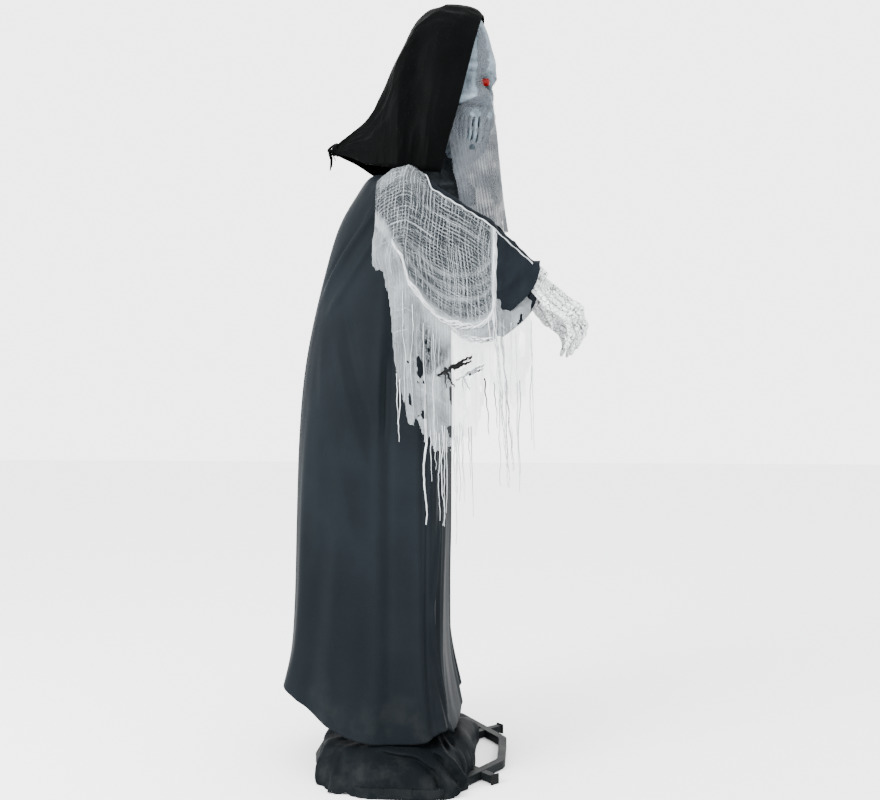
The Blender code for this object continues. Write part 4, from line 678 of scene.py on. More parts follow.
@dataclass(frozen=True)
class Finish:
    """A surface finish that can be made into a material.

    Attributes:
        name: The material's name.
        color: Its main colour.
        roughness: Its mean roughness.
    """

    name: str
    color: Color
    roughness: float

    def shade(self, graph: Graph, surface: bpy.types.Node) -> None:
        """Add this finish's pattern to a material. Each finish has its own.

        Args:
            graph: The material's graph.
            surface: Its Principled BSDF.
        """
        raise NotImplementedError

    def material(self) -> bpy.types.Material:
        """Build the material, or return it if it is already there.

        Returns:
            The material.
        """
        title = f"{self.name}_finish"
        ready = bpy.data.materials.get(title)
        if ready:
            return ready
        made = bpy.data.materials.new(title)
        made.use_nodes = True
        made.diffuse_color = (*self.color, 1.0)
        graph = Graph(made.node_tree)
        made.node_tree.nodes.clear()
        surface = graph.add("ShaderNodeBsdfPrincipled")
        preset(surface, {"Base Color": (*self.color, 1.0),
                         "Roughness": self.roughness})
        output = graph.add("ShaderNodeOutputMaterial")
        made.node_tree.links.new(surface.outputs[0], output.inputs["Surface"])
        self.shade(graph, surface)
        return made

    def tone(self, share: float, lift: float = 0.0) -> Color:
        """Give the main colour darker or lighter, at most as light as WHITEST."""
        return tuple(min(WHITEST, part * share + lift) for part in self.color)

    def roughen(self, graph: Graph, surface: bpy.types.Node, pattern: Socket, spread: float,
                below: float) -> None:
        """Let the roughness follow a pattern.

        Args:
            graph: The material's graph.
            surface: Its Principled BSDF.
            pattern: The pattern, from 0 to 1.
            spread: How much the roughness changes over it.
            below: How far under the mean roughness it starts.
        """
        rough = graph.math("MULTIPLY_ADD", pattern, spread, self.roughness - below)
        graph.join(rough, surface, "Roughness")

    def bump(self, graph: Graph, surface: bpy.types.Node, height: Socket, strength: float,
             distance: float, under: Socket | None = None) -> Socket:
        """Raise a height pattern on the surface.

        Args:
            graph: The material's graph.
            surface: Its Principled BSDF.
            height: The pattern.
            strength: How strongly it shows.
            distance: How tall the pattern is in metres.
            under: The normal of a bump beneath this one.

        Returns:
            The new normal.
        """
        inputs: dict[str | int, Any] = {"Height": height, "Strength": strength,
                                        "Distance": distance}
        if under is not None:
            inputs["Normal"] = under
        node = graph.add("ShaderNodeBump", inputs)
        graph.join(node.outputs[0], surface, "Normal")
        return node.outputs[0]


@dataclass(frozen=True)
class Satin(Finish):
    """Thin polyester satin with a soft sheen and creases.

    Attributes:
        light: The colour of its lit threads.
        creases: How strongly the creases show.
        crease_scale: How many creases to a metre.
        sheen: Weight of the sheen.
        gloss: Level of the mirror part, where 0.5 is bare plastic.
    """

    light: Color = (0.03, 0.04, 0.05)
    creases: float = 0.35
    crease_scale: float = 7.0
    sheen: float = 0.02
    gloss: float = 0.035

    def shade(self, graph: Graph, surface: bpy.types.Node) -> None:
        """Add weave, creases, lint, and painted light in broad patches and along the creases."""
        place = graph.add("ShaderNodeTexCoord")
        weave = SHELF.place(graph, Effect.WEAVE, {"Vector": place.outputs["UV"]})
        crumple = SHELF.place(graph, Effect.CRUMPLE, {
            "Vector": graph.scaled(place.outputs["Object"], (1.0, 1.0, 0.55)),
            "Scale": self.crease_scale})
        dust = SHELF.place(graph, Effect.DUST, {"Vector": place.outputs["Object"]})
        drift = graph.noise(place.outputs["Object"], 2.6, 4.0)
        # Painted light: broad noise patches take the lighter copy of the colour, as lit cloth.
        lit = graph.ramp(drift, 0.35, 0.75, 0.0, 0.7)
        color = graph.mix(lit, self.color, self.light)
        # Painted highlight along the creases, then the slub threads' own lighter tone.
        color = graph.mix(graph.math("MULTIPLY", crumple.outputs["Crease"], 0.08), color,
                          self.light)
        color = graph.mix(graph.math("MULTIPLY", weave.outputs["Thread"], 0.10), color,
                          self.light)
        color = graph.mix(dust.outputs["Mask"], color, (0.030, 0.031, 0.031))
        graph.join(color, surface, "Base Color")
        self.roughen(graph, surface, drift, 0.16, 0.08)
        preset(surface, {"Sheen Weight": self.sheen,
                         "Sheen Roughness": 0.45,
                         "Sheen Tint": (0.75, 0.85, 1.0, 1.0),
                         "Specular IOR Level": self.gloss})
        under = self.bump(graph, surface, crumple.outputs["Height"], self.creases, 0.006)
        self.bump(graph, surface, weave.outputs["Height"], 0.12, 0.0002, under)


@dataclass(frozen=True)
class GauzeCloth(Finish):
    """Open cotton gauze: see-through between its threads, thick where it gathers.

    Attributes:
        cover: How much of the light the single cloth stops.
        threads: Threads to a metre.
        pulled: How strongly the pulled threads show.
    """

    cover: float = 0.45
    threads: float = 165.0
    pulled: float = 0.8

    def shade(self, graph: Graph, surface: bpy.types.Node) -> None:
        """Add the open weave, pulled threads, gathers and fuzz."""
        place = graph.add("ShaderNodeTexCoord")
        gather = graph.add("ShaderNodeAttribute", attribute_name="gather").outputs["Fac"]
        cover = graph.math("MULTIPLY_ADD", gather, 0.55, self.cover)
        gauze = SHELF.place(graph, Effect.GAUZE, {
            "Vector": place.outputs["UV"], "Threads": self.threads, "Cover": cover,
            "Pulled": self.pulled})
        solid = graph.math("MAXIMUM", gauze.outputs["Cover"], graph.ramp(gather, 0.45, 1.0))
        graph.join(solid, surface, "Alpha")
        shade = graph.noise(place.outputs["Object"], 16.0, 5.0, 0.6)
        color = graph.mix(graph.ramp(shade, 0.35, 0.7), self.color, self.tone(1.18))
        color = graph.mix(graph.math("MULTIPLY", gauze.outputs["Strand"], 0.5), color,
                          tuple(min(0.85, part * 1.3) for part in self.color))
        graph.join(color, surface, "Base Color")
        preset(surface, {"Sheen Weight": 0.05,
                         "Sheen Roughness": 0.6,
                         "Specular IOR Level": 0.05})
        crumple = SHELF.place(graph, Effect.CRUMPLE, {
            "Vector": place.outputs["Object"], "Scale": 26.0, "Sharpness": 0.9})
        under = self.bump(graph, surface, crumple.outputs["Height"], 0.5, 0.004)
        self.bump(graph, surface, gauze.outputs["Height"], 0.5, 0.0008, under)


@dataclass(frozen=True)
class PaintedBone(Finish):
    """Latex or plastic bone, painted pale, with painted shade in its hollows and painted highlight
    on its ridges.

    Attributes:
        vein_and_shade_color: The colour of the dark veins, and of the painted shade in the hollows.
        veins: How strongly dark lines show between ridges.
        streaks: How strongly fibres run down the surface.
    """

    vein_and_shade_color: Color = (0.02, 0.025, 0.03)
    veins: float = 0.5
    streaks: float = 0.4

    def shade(self, graph: Graph, surface: bpy.types.Node) -> None:
        """Add veins, fibres, pores, painted shade in the hollows and painted highlight on the
        ridges.
        """
        place = graph.add("ShaderNodeTexCoord").outputs["Object"]
        hollow = graph.add("ShaderNodeAttribute", attribute_name="hollow").outputs["Fac"]
        ridge_highlight = graph.add("ShaderNodeAttribute", attribute_name="ridge_highlight").outputs["Fac"]
        mottle = graph.noise(place, 38.0, 6.0, 0.62)
        fibre = graph.noise(graph.scaled(place, (150.0, 150.0, 7.0)), 1.0, 3.0, 0.6)
        bent = graph.plus(place, graph.wander(place, 46.0, 4.0, 0.020))
        cells = graph.add("ShaderNodeTexVoronoi", {"Vector": bent, "Scale": 95.0},
                          feature="DISTANCE_TO_EDGE")
        vein = graph.ramp(cells.outputs["Distance"], 0.10, 0.03)
        color = graph.mix(graph.ramp(mottle, 0.3, 0.75), tuple(c * 0.80 for c in self.color),
                          tuple(min(0.95, c * 1.12) for c in self.color))
        color = graph.mix(graph.math("MULTIPLY", graph.ramp(fibre, 0.5, 0.8), self.streaks),
                          color, tuple(c * 0.62 for c in self.color))
        # Painted highlight: the ridges are painted lighter.
        color = graph.mix(graph.math("MULTIPLY", ridge_highlight, 0.5), color,
                          tuple(min(0.82, c * 1.9) for c in self.color))
        veined = graph.math("MULTIPLY", vein, graph.ramp(mottle, 0.32, 0.52))
        color = graph.mix(graph.math("MULTIPLY", veined, self.veins), color, self.vein_and_shade_color)
        # Painted shade: the hollows take the dark colour, as shade.
        rubbed = graph.math("MULTIPLY", hollow, graph.ramp(mottle, 0.15, 0.6, 0.55, 1.0))
        color = graph.mix(rubbed, color, self.vein_and_shade_color)
        graph.join(color, surface, "Base Color")
        self.roughen(graph, surface, mottle, 0.2, 0.1)
        surface.inputs["Specular IOR Level"].default_value = 0.06
        under = self.bump(graph, surface, graph.math("SUBTRACT", mottle, veined), 0.5, 0.0016)
        self.bump(graph, surface, fibre, 0.25, 0.0006, under)


@dataclass(frozen=True)
class CoatedSteel(Finish):
    """Powder-coated steel with a fine orange peel, scuffs and dust.

    Attributes:
        bare: The colour of the steel in scuffs.
        worn: How much of the coat is rubbed.
    """

    bare: Color = (0.20, 0.20, 0.20)
    worn: float = 0.25

    def shade(self, graph: Graph, surface: bpy.types.Node) -> None:
        """Add coat grain, rubbed spots and dust."""
        place = graph.add("ShaderNodeTexCoord").outputs["Object"]
        grain = SHELF.place(graph, Effect.GRAIN, {"Vector": place, "Scale": 700.0})
        wear = SHELF.place(graph, Effect.WEAR, {"Vector": place, "Amount": self.worn})
        dust = SHELF.place(graph, Effect.DUST, {"Vector": place, "Amount": 0.06})
        color = graph.mix(graph.math("MULTIPLY", grain.outputs["Mottle"], 0.5), self.color,
                          self.tone(1.7))
        color = graph.mix(wear.outputs["Mask"], color, self.bare)
        color = graph.mix(dust.outputs["Mask"], color, (0.05, 0.05, 0.05))
        graph.join(color, surface, "Base Color")
        surface.inputs["Specular IOR Level"].default_value = 0.03
        graph.join(graph.math("MULTIPLY", wear.outputs["Mask"], 0.8), surface, "Metallic")
        self.roughen(graph, surface, grain.outputs["Mottle"], 0.25, 0.12)
        self.bump(graph, surface, grain.outputs["Height"], 0.3, 0.00015)


@dataclass(frozen=True)
class PlatedSteel(Finish):
    """Zinc-plated steel with brushed marks and dull spangle."""

    def shade(self, graph: Graph, surface: bpy.types.Node) -> None:
        """Add spangle and brush marks."""
        place = graph.add("ShaderNodeTexCoord").outputs["Object"]
        spangle = graph.noise(place, 55.0, 3.0)
        brushed = graph.noise(graph.scaled(place, (1400.0, 1400.0, 60.0)), 1.0, 2.0)
        color = graph.mix(graph.ramp(spangle, 0.35, 0.7), self.tone(0.72),
                          self.color)
        graph.join(color, surface, "Base Color")
        surface.inputs["Metallic"].default_value = 1.0
        self.roughen(graph, surface, spangle, 0.25, 0.12)
        self.bump(graph, surface, brushed, 0.15, 0.0001)


@dataclass(frozen=True)
class MouldedPlastic(Finish):
    """Moulded plastic or rubber with a fine grain and a little wear."""

    grain: float = 0.35

    def shade(self, graph: Graph, surface: bpy.types.Node) -> None:
        """Add grain, mottle and scuffs."""
        place = graph.add("ShaderNodeTexCoord").outputs["Object"]
        grain = SHELF.place(graph, Effect.GRAIN, {"Vector": place})
        wear = SHELF.place(graph, Effect.WEAR, {"Vector": place, "Scale": 130.0,
                                                "Amount": 0.12})
        color = graph.mix(grain.outputs["Mottle"], self.color,
                          self.tone(1.5))
        color = graph.mix(graph.math("MULTIPLY", wear.outputs["Mask"], 0.5), color,
                          self.tone(4.0, 0.02))
        graph.join(color, surface, "Base Color")
        self.roughen(graph, surface, grain.outputs["Mottle"], 0.2, 0.1)
        surface.inputs["Specular IOR Level"].default_value = 0.10
        self.bump(graph, surface, grain.outputs["Height"], self.grain, 0.00012)


@dataclass(frozen=True)
class LampRed(Finish):
    """Clear red plastic, lit from inside, its glow mottled."""

    glow: float = 1.5

    def shade(self, graph: Graph, surface: bpy.types.Node) -> None:
        """Add the glow with a mottled filament."""
        place = graph.add("ShaderNodeTexCoord").outputs["Object"]
        cells = graph.add("ShaderNodeTexVoronoi", {"Vector": place, "Scale": 420.0})
        ring = graph.ramp(cells.outputs["Distance"], 0.1, 0.75, 1.0, 0.45)
        color = graph.mix(ring, self.tone(0.35), self.color)
        graph.join(color, surface, "Base Color")
        graph.join(color, surface, "Emission Color")
        preset(surface, {"Emission Strength": self.glow,
                         "Coat Weight": 0.12,
                         "Coat Roughness": 0.08,
                         "Specular IOR Level": 0.05})


@dataclass(frozen=True)
class StudioPaper(Finish):
    """Seamless pale paper with a faint tooth."""

    def shade(self, graph: Graph, surface: bpy.types.Node) -> None:
        """Add the paper's tooth."""
        place = graph.add("ShaderNodeTexCoord").outputs["Object"]
        tooth = graph.noise(place, 400.0, 3.0)
        self.bump(graph, surface, tooth, 0.05, 0.0002)


@dataclass(frozen=True)
class CottonStrand(Finish):
    """Twisted cotton strands, fuzzy and unevenly coloured along their length."""

    def shade(self, graph: Graph, surface: bpy.types.Node) -> None:
        """Add the twist, fuzz and colour drift."""
        place = graph.add("ShaderNodeTexCoord").outputs["Object"]
        twist = graph.noise(graph.scaled(place, (900.0, 900.0, 260.0)), 1.0, 2.0)
        drift = graph.noise(place, 22.0, 4.0)
        color = graph.mix(graph.ramp(drift, 0.3, 0.75), self.tone(0.62),
                          self.tone(1.15))
        graph.join(color, surface, "Base Color")
        preset(surface, {"Sheen Weight": 0.04,
                         "Sheen Roughness": 0.6,
                         "Specular IOR Level": 0.05})
        self.bump(graph, surface, twist, 0.6, 0.0006)


# Finishes of this figure


class Finishes:
    """The figure's finishes, by what they are for."""

    # Each satin's light colour is painted light: noise patches and crease lines take it, as lit
    # cloth.
    ROBE = Satin("robe_satin", (0.0041, 0.0054, 0.0066), 0.50, light=(0.0076, 0.0098, 0.0118),
                 sheen=0.003, gloss=0.008)
    SKIRT = Satin("skirt_satin", (0.0026, 0.0035, 0.0042), 0.50, light=(0.0044, 0.0056, 0.0066),
                  creases=0.20, crease_scale=11.0, sheen=0.002, gloss=0.006)
    HOOD = Satin("hood_satin", (0.0006, 0.0007, 0.00075), 0.50, light=(0.0022, 0.0024, 0.0025),
                 creases=0.5, crease_scale=8.0, sheen=0.002, gloss=0.008)
    LINING = Satin("lining_satin", (0.0030, 0.0040, 0.0048), 0.50, light=(0.0240, 0.0290, 0.0330),
                   creases=1.0, crease_scale=30.0, sheen=0.01, gloss=0.03)
    SLEEVE = Satin("sleeve_satin", (0.0030, 0.0041, 0.0054), 0.46, light=(0.0105, 0.0132, 0.0165),
                   creases=0.8, crease_scale=16.0, sheen=0.003, gloss=0.010)
    SHAWL = GauzeCloth("shawl_gauze", (0.40, 0.435, 0.455), 0.9, cover=0.022, threads=116.0,
                       pulled=0.62)
    STRAND = CottonStrand("cotton_strand", (0.43, 0.455, 0.47), 0.9)
    BLACK_STRAND = CottonStrand("black_strand", (0.0016, 0.0018, 0.0020), 0.8)
    VEIL = GauzeCloth("veil_gauze", (0.054, 0.061, 0.069), 0.9, cover=0.80, threads=150.0,
                      pulled=0.30)
    BONE = PaintedBone("painted_bone", (0.115, 0.145, 0.170), 0.6, vein_and_shade_color=(0.0016, 0.0025, 0.0035),
                       veins=0.18, streaks=0.18)
    HAND = PaintedBone("painted_hand", (0.66, 0.68, 0.69), 0.6, vein_and_shade_color=(0.006, 0.007, 0.008),
                       veins=0.95, streaks=0.55)
    STEEL = CoatedSteel("black_steel", (0.0034, 0.0044, 0.0048), 0.45,
                        bare=(0.012, 0.012, 0.012), worn=0.08)
    ZINC = PlatedSteel("zinc_steel", (0.11, 0.11, 0.12), 0.38)
    BLACK_PLASTIC = MouldedPlastic("black_plastic", (0.0028, 0.0030, 0.0033), 0.5)
    GRAY_PLASTIC = MouldedPlastic("gray_plastic", (0.022, 0.023, 0.025), 0.5)
    RUBBER = MouldedPlastic("black_rubber", (0.0022, 0.0024, 0.0025), 0.82, grain=0.6)
    LAMP = LampRed("red_lamp", (0.105, 0.0010, 0.0008), 0.25, glow=0.7)
    LENS = MouldedPlastic("dark_lens", (0.006, 0.0015, 0.0015), 0.12, grain=0.02)
    PAPER = StudioPaper("studio_paper", (0.84, 0.845, 0.85), 0.9)


@dataclass
class Workbench:
    """Places finished pieces on the frame.

    Attributes:
    """

    frame: dict[str, Any]

    def piece(self, name: str, mesh: bpy.types.Mesh, finish: Finish, body: str, slot: str,
              replaces: tuple[str, ...] = ()) -> Piece:
        """Make an object of a mesh and fasten it to a body.

        Args:
            name: The piece's name.
            mesh: Its mesh, in frame coordinates.
            finish: Its finish.
            body: The CAD body that it rides on.
            slot: The record's material slot; not used.
            replaces: CAD nodes that it stands for.

        Returns:
            The placed object.
        """
        made = bpy.data.objects.new(name, mesh)
        bpy.context.scene.collection.objects.link(made)
        mesh.materials.clear()
        mesh.materials.append(finish.material())
        for face in mesh.polygons:
            face.use_smooth = True
        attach(made, body)
        if replaces:
            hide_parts(*replaces)
        LOG.info("%s: %d faces on %s", name, len(mesh.polygons), body)
        return made

    def thicken(self, piece: Piece, thickness: float) -> None:
        """Give a cloth its thickness on the inner side."""
        wall = piece.modifiers.new("Thickness", "SOLIDIFY")
        wall.thickness = thickness
        wall.offset = -1.0
        wall.use_rim = True

    def cloth(self, piece: Piece, width: float, held: str, rests_on: list[str],
              extras: tuple[Piece, ...] = ()) -> None:
        """Take a sheet with its cut width, hold and supports, and do nothing with them.

        Args:
            piece: The sheet; not used.
            width: Its cut width in metres; not used.
            held: How it is held; not used.
            rests_on: Nodes or pieces that hold it; not used.
            extras: Separate pieces on it; not used.
        """

    def dress_nodes(self, finishes: dict[str, Finish]) -> None:
        """Give CAD nodes that stay in view their materials.

        Args:
            finishes: A finish for each node name.
        """
        for name, finish in finishes.items():
            node = self.frame["nodes"][name]
            node.data.materials.clear()
            node.data.materials.append(finish.material())
            LOG.info("%s: %s", name, finish.name)


def swell(mesh: bpy.types.Mesh, rise: np.ndarray) -> None:
    """Push vertices out along their normals by a distance each."""
    set_vertices(mesh, vertex_array(mesh) + vertex_normals(mesh) * rise[:, None])


def flat_places(mesh: bpy.types.Mesh) -> np.ndarray:
    """Read where each vertex lies on its flat cloth, from the UV map."""
    uv = np.empty(len(mesh.loops) * 2, np.float32)
    mesh.uv_layers["UVMap"].data.foreach_get("uv", uv)
    corner = np.empty(len(mesh.loops), np.int32)
    mesh.loops.foreach_get("vertex_index", corner)
    places = np.zeros((len(mesh.vertices), 2))
    places[corner] = uv.reshape(-1, 2)
    return places


# Robe and base skirt


@dataclass
class DrapedTube:
    """Cloth that hangs as a closed tube through rings.

    Attributes:
        rings: Height at the sides, the front and the back, reach forward and back, and
            half width of each ring, from the top down.
        front_power: How square the front outline is.
        back_power: How square the back outline is.
        folds: Its single folds, with heights as the second coordinate.
    """

    rings: np.ndarray
    front_power: float
    back_power: float
    folds: list[Fold] = field(default_factory=list)

    SEAM_BLEND = 14.0

    def outline(self, across: np.ndarray, down: np.ndarray) -> tuple[np.ndarray, ...]:
        """Trace the smooth form without its folds.

        Args:
            across: Shares round the tube from the middle of the back.
            down: Shares down the tube.

        Returns:
            Turns in degrees, points, and outward directions.
        """
        turn = across * 360.0 - 180.0
        angle = np.radians(turn)
        ahead, aside = np.cos(angle), np.sin(angle)
        ring = smooth_rows(self.rings, down)
        side_up, front_up, back_up, front, back, half = ring.T
        blend = step(-0.12, 0.12, ahead)
        power = self.back_power + (self.front_power - self.back_power) * blend
        reach = np.where(ahead > 0, front, back)
        wide = np.sign(aside) * np.abs(aside) ** (2 / power)
        deep = np.sign(ahead) * np.abs(ahead) ** (2 / power)
        up = (side_up + (front_up - side_up) * np.maximum(ahead, 0) ** 2
              + (back_up - side_up) * np.maximum(-ahead, 0) ** 4)
        normal = np.stack([np.sign(wide) * np.abs(wide) ** (power - 1) / half,
                           np.sign(deep) * np.abs(deep) ** (power - 1) / reach], axis=-1)
        normal /= np.linalg.norm(normal, axis=-1, keepdims=True) + 1e-9
        return turn, at(wide * half, deep * reach, up), at(normal[:, 0], normal[:, 1], 0.0)

    def seam(self, turn: np.ndarray) -> np.ndarray:
        """Fade patterns that don't meet at the middle of the back to nothing there."""
        return step(0.0, self.SEAM_BLEND, 180 - np.abs(turn))

    def folded(self, turn: np.ndarray, up: np.ndarray) -> np.ndarray:
        """Add up the heights of the single folds."""
        total = np.zeros_like(turn)
        for fold in self.folds:
            total += fold.rise(turn, up)
        return total


@dataclass
class Robe:
    """The long robe over the body hoop, from the shoulders almost to the floor.

    Attributes:
        bench: Where pieces are placed.
        thickness: The satin's thickness.
    """

    bench: Workbench
    thickness: float = SATIN_CLOTH

    RINGS = np.array([
        (1.5985, 1.5985, 1.640, 0.066, 0.058, 0.072),
        (1.5873, 1.5873, 1.636, 0.070, 0.128, 0.2085),
        (1.550, 1.552, 1.580, 0.071, 0.174, 0.2145),
        (1.470, 1.470, 1.480, 0.072, 0.230, 0.2145),
        (1.340, 1.340, 1.345, 0.074, 0.271, 0.2145),
        (1.190, 1.190, 1.190, 0.075, 0.305, 0.2155),
        (1.050, 1.050, 1.050, 0.075, 0.324, 0.242),
        (0.880, 0.880, 0.880, 0.075, 0.336, 0.253),
        (0.660, 0.660, 0.660, 0.074, 0.343, 0.260),
        (0.440, 0.440, 0.440, 0.071, 0.349, 0.264),
        (0.270, 0.270, 0.290, 0.078, 0.360, 0.266),
        (0.112, 0.110, 0.182, 0.112, 0.384, 0.268),
    ])

    REAR_LIFT = 0.070
    CORNER_LIFT = 0.034

    def fold_list(self) -> list[Fold]:
        """List the folds of both sides, the right one as in the photograph.

        Returns:
            The folds, with turns in degrees and heights in metres.
        """
        right = [
            Fold((-101, 1.30), (-100, 0.08), 2.4, 0.0060),
            Fold((-96.5, 1.25), (-95.5, 0.10), 2.0, -0.0060),
            Fold((-99.0, 1.115), (-98.6, 0.90), 0.55, -0.0120),
            Fold((-112, 1.53), (-149, 1.29), 5.0, 0.0100),
            Fold((-118, 1.50), (-152, 1.33), 3.5, -0.0070),
            Fold((-106, 1.46), (-138, 1.24), 4.0, 0.0065),
            Fold((-132, 1.22), (-102, 0.78), 3.6, 0.0080),
            Fold((-126, 1.26), (-97, 0.86), 3.0, -0.0050),
            Fold((-140, 1.16), (-112, 0.66), 4.5, 0.0050),
            Fold((-88, 1.30), (-84, 0.20), 3.5, 0.0040),
            Fold((-70, 1.20), (-74, 0.12), 4.0, -0.0050),
            Fold((-34, 0.72), (-60, 0.43), 4.5, 0.0090),
            Fold((-62, 0.47), (-33, 0.12), 4.5, 0.0120),
            Fold((-48, 0.40), (-20, 0.10), 5.0, -0.0100),
            Fold((-120, 0.75), (-124, 0.10), 6.0, 0.0080),
            Fold((-146, 0.95), (-150, 0.10), 7.0, 0.0080),
            Fold((-133, 0.60), (-136, 0.10), 5.0, -0.0080),
        ]
        left = [Fold((2.5 - fold.start[0], fold.start[1] + 0.03),
                     (-2.0 - fold.end[0], fold.end[1] + 0.015),
                     fold.width * 1.1, fold.height * 0.92)
                for fold in right if abs(fold.height) < 0.0115]
        back = [
            Fold((180, 1.58), (176, 0.15), 4.0, -0.0120),
            Fold((172, 1.40), (166, 0.15), 6.0, 0.0070),
            Fold((-170, 1.30), (-165, 0.15), 6.0, 0.0060),
        ]
        front = [
            Fold((-8, 1.50), (-14, 0.14), 4.0, 0.0070),
            Fold((6, 1.45), (13, 0.14), 4.5, 0.0080),
            Fold((0, 1.35), (-1, 0.14), 3.0, -0.0050),
            Fold((-24, 1.20), (-27, 0.14), 4.0, 0.0060),
            Fold((22, 1.25), (28, 0.14), 4.0, 0.0060),
        ]
        return right + left + back + front

    def build(self) -> None:
        """Make the robe."""
        tube = DrapedTube(self.RINGS, 4.2, 2.5, self.fold_list())

        def surface(across: np.ndarray, down: np.ndarray) -> np.ndarray:
            turn, points, outward = tube.outline(across, down)
            up = points[:, 2]
            hang = step(1.50, 0.25, up)
            seam = tube.seam(turn)
            broad = lattice_noise(turn / 17.0 + 40, up * 0.9, 3) * 0.0085
            broad += lattice_noise(turn / 8.0 + 11, up * 0.8, 5) * 0.0035
            top = rumple(turn / 22.0 + 9, up * 7.0, 8, 2) * 0.0030 * step(1.30, 1.52, up)
            flare = step(0.30, 0.11, up) * lattice_noise(turn / 13.0, up * 0, 12) * 0.010
            rise = tube.folded(turn, up) + (broad * (0.15 + hang) + top + flare) * seam
            points = points + outward * rise[:, None]
            points[:, 2] += step(0.5, 0.1, up) * seam * 0.008 \
                * lattice_noise(turn / 24.0, up * 0, 21)
            low = step(0.6, 0.1, up)
            points[:, 2] += self.REAR_LIFT * bell(np.abs(turn), 150.0, 29.0) * low
            points[:, 2] += self.CORNER_LIFT * bell(np.abs(turn), 46.0, 24.0) * low
            return points

        mesh = grid_mesh("robe", 288, 190, surface, (1.30, 1.60), closed=True)
        turn_outwards(mesh, Vector((0, 0.10, 0.9)))
        robe = self.bench.piece("robe_cloth", mesh, Finishes.ROBE, "torso", "robe_satin",
                                ("robe",))
        self.bench.thicken(robe, self.thickness)
        self.bench.cloth(robe, 1.30, "hung", ["shoulder_bar", "body_hoop"])


@dataclass
class BaseSkirt:
    """The cloth tied round the pole's foot and draped over the floor frame.

    Attributes:
        bench: Where pieces are placed.
        thickness: The satin's thickness.
    """

    bench: Workbench
    thickness: float = SATIN_CLOTH

    RINGS = np.array([
        (0.200, 0.200, 0.200, 0.0140, 0.0140, 0.0140),
        (0.186, 0.186, 0.186, 0.0200, 0.0200, 0.0200),
        (0.132, 0.132, 0.132, 0.0480, 0.0600, 0.0600),
        (0.098, 0.096, 0.096, 0.0880, 0.1600, 0.1700),
        (0.096, 0.091, 0.091, 0.1180, 0.2440, 0.2640),
        (0.076, 0.071, 0.073, 0.1400, 0.2540, 0.2920),
        (0.046, 0.046, 0.046, 0.1520, 0.2590, 0.3210),
        (0.012, 0.024, 0.012, 0.1560, 0.2570, 0.3500),
    ])

    def build(self) -> None:
        """Make the skirt with its folds."""
        folds = [
            Fold((-92, 0.098), (-48, 0.010), 5.5, 0.0200),
            Fold((-80, 0.100), (-40, 0.020), 4.5, -0.0240),
            Fold((-98, 0.096), (-64, 0.010), 4.0, -0.0160),
            Fold((-62, 0.096), (-34, 0.020), 4.5, 0.0120),
            Fold((-108, 0.094), (-128, 0.0), 7.0, 0.0120),
            Fold((-126, 0.094), (-112, 0.0), 5.0, -0.0110),
            Fold((-142, 0.100), (-150, 0.0), 5.0, 0.0120),
            Fold((-134, 0.100), (-132, 0.0), 4.0, -0.0080),
            Fold((84, 0.110), (60, 0.020), 5.0, 0.0130),
            Fold((74, 0.105), (50, 0.020), 4.0, -0.0150),
            Fold((118, 0.100), (126, 0.0), 6.0, 0.0100),
            Fold((150, 0.100), (148, 0.0), 5.0, -0.0090),
        ]
        tube = DrapedTube(self.RINGS, 4.0, 4.0, folds)

        def surface(across: np.ndarray, down: np.ndarray) -> np.ndarray:
            turn, points, outward = tube.outline(across, down)
            up = points[:, 2]
            seam = tube.seam(turn)
            low = step(0.45, 0.95, down)
            crinkle = rumple(turn / 9.0, up * 16.0 + down * 3, 31, 3) * 0.0055
            pleat = lattice_noise(turn / 7.5, down * 1.5, 35) * 0.0075
            points = points + outward * ((crinkle + pleat) * low * seam
                                         + tube.folded(turn, up))[:, None]
            sag = lattice_noise(turn / 10.0, down * 6.0, 37) * 0.0060 * step(0.3, 0.6, down)
            points[:, 2] += sag * (1 - low * 0.4) * seam
            outer = step(0.060, 0.160, np.hypot(points[:, 0], points[:, 1]))
            far = step(-10, 40, turn) * (1 - step(120, 160, turn))
            points[:, 2] *= 1 - 0.52 * far * outer
            tilt = lattice_noise(turn / 16.0 + 4, down * 2.0, 43) * 0.008
            points[:, 2] += tilt * outer * step(1.0, 0.75, down) * (1 - far) * seam
            ragged = np.abs(lattice_noise(turn / 12.0, down * 0, 41)) * 0.026 \
                + np.abs(lattice_noise(turn / 3.0, down * 0, 47)) * 0.004
            points[:, 2] -= ragged * step(0.86, 1.0, down) * seam
            points[:, 2] = np.maximum(points[:, 2], 0.0015)
            return points

        mesh = grid_mesh("base_skirt", 300, 90, surface, (1.40, 0.62), closed=True)
        turn_outwards(mesh, Vector((0, 0.05, 0.0)))
        skirt = self.bench.piece("skirt_cloth", mesh, Finishes.SKIRT, "root", "robe_satin",
                                 ("base_skirt",))
        self.bench.thicken(skirt, self.thickness)
        self.bench.cloth(skirt, 1.40, "gathered", ["lower_pole", "front_floor_frame"])


# Head


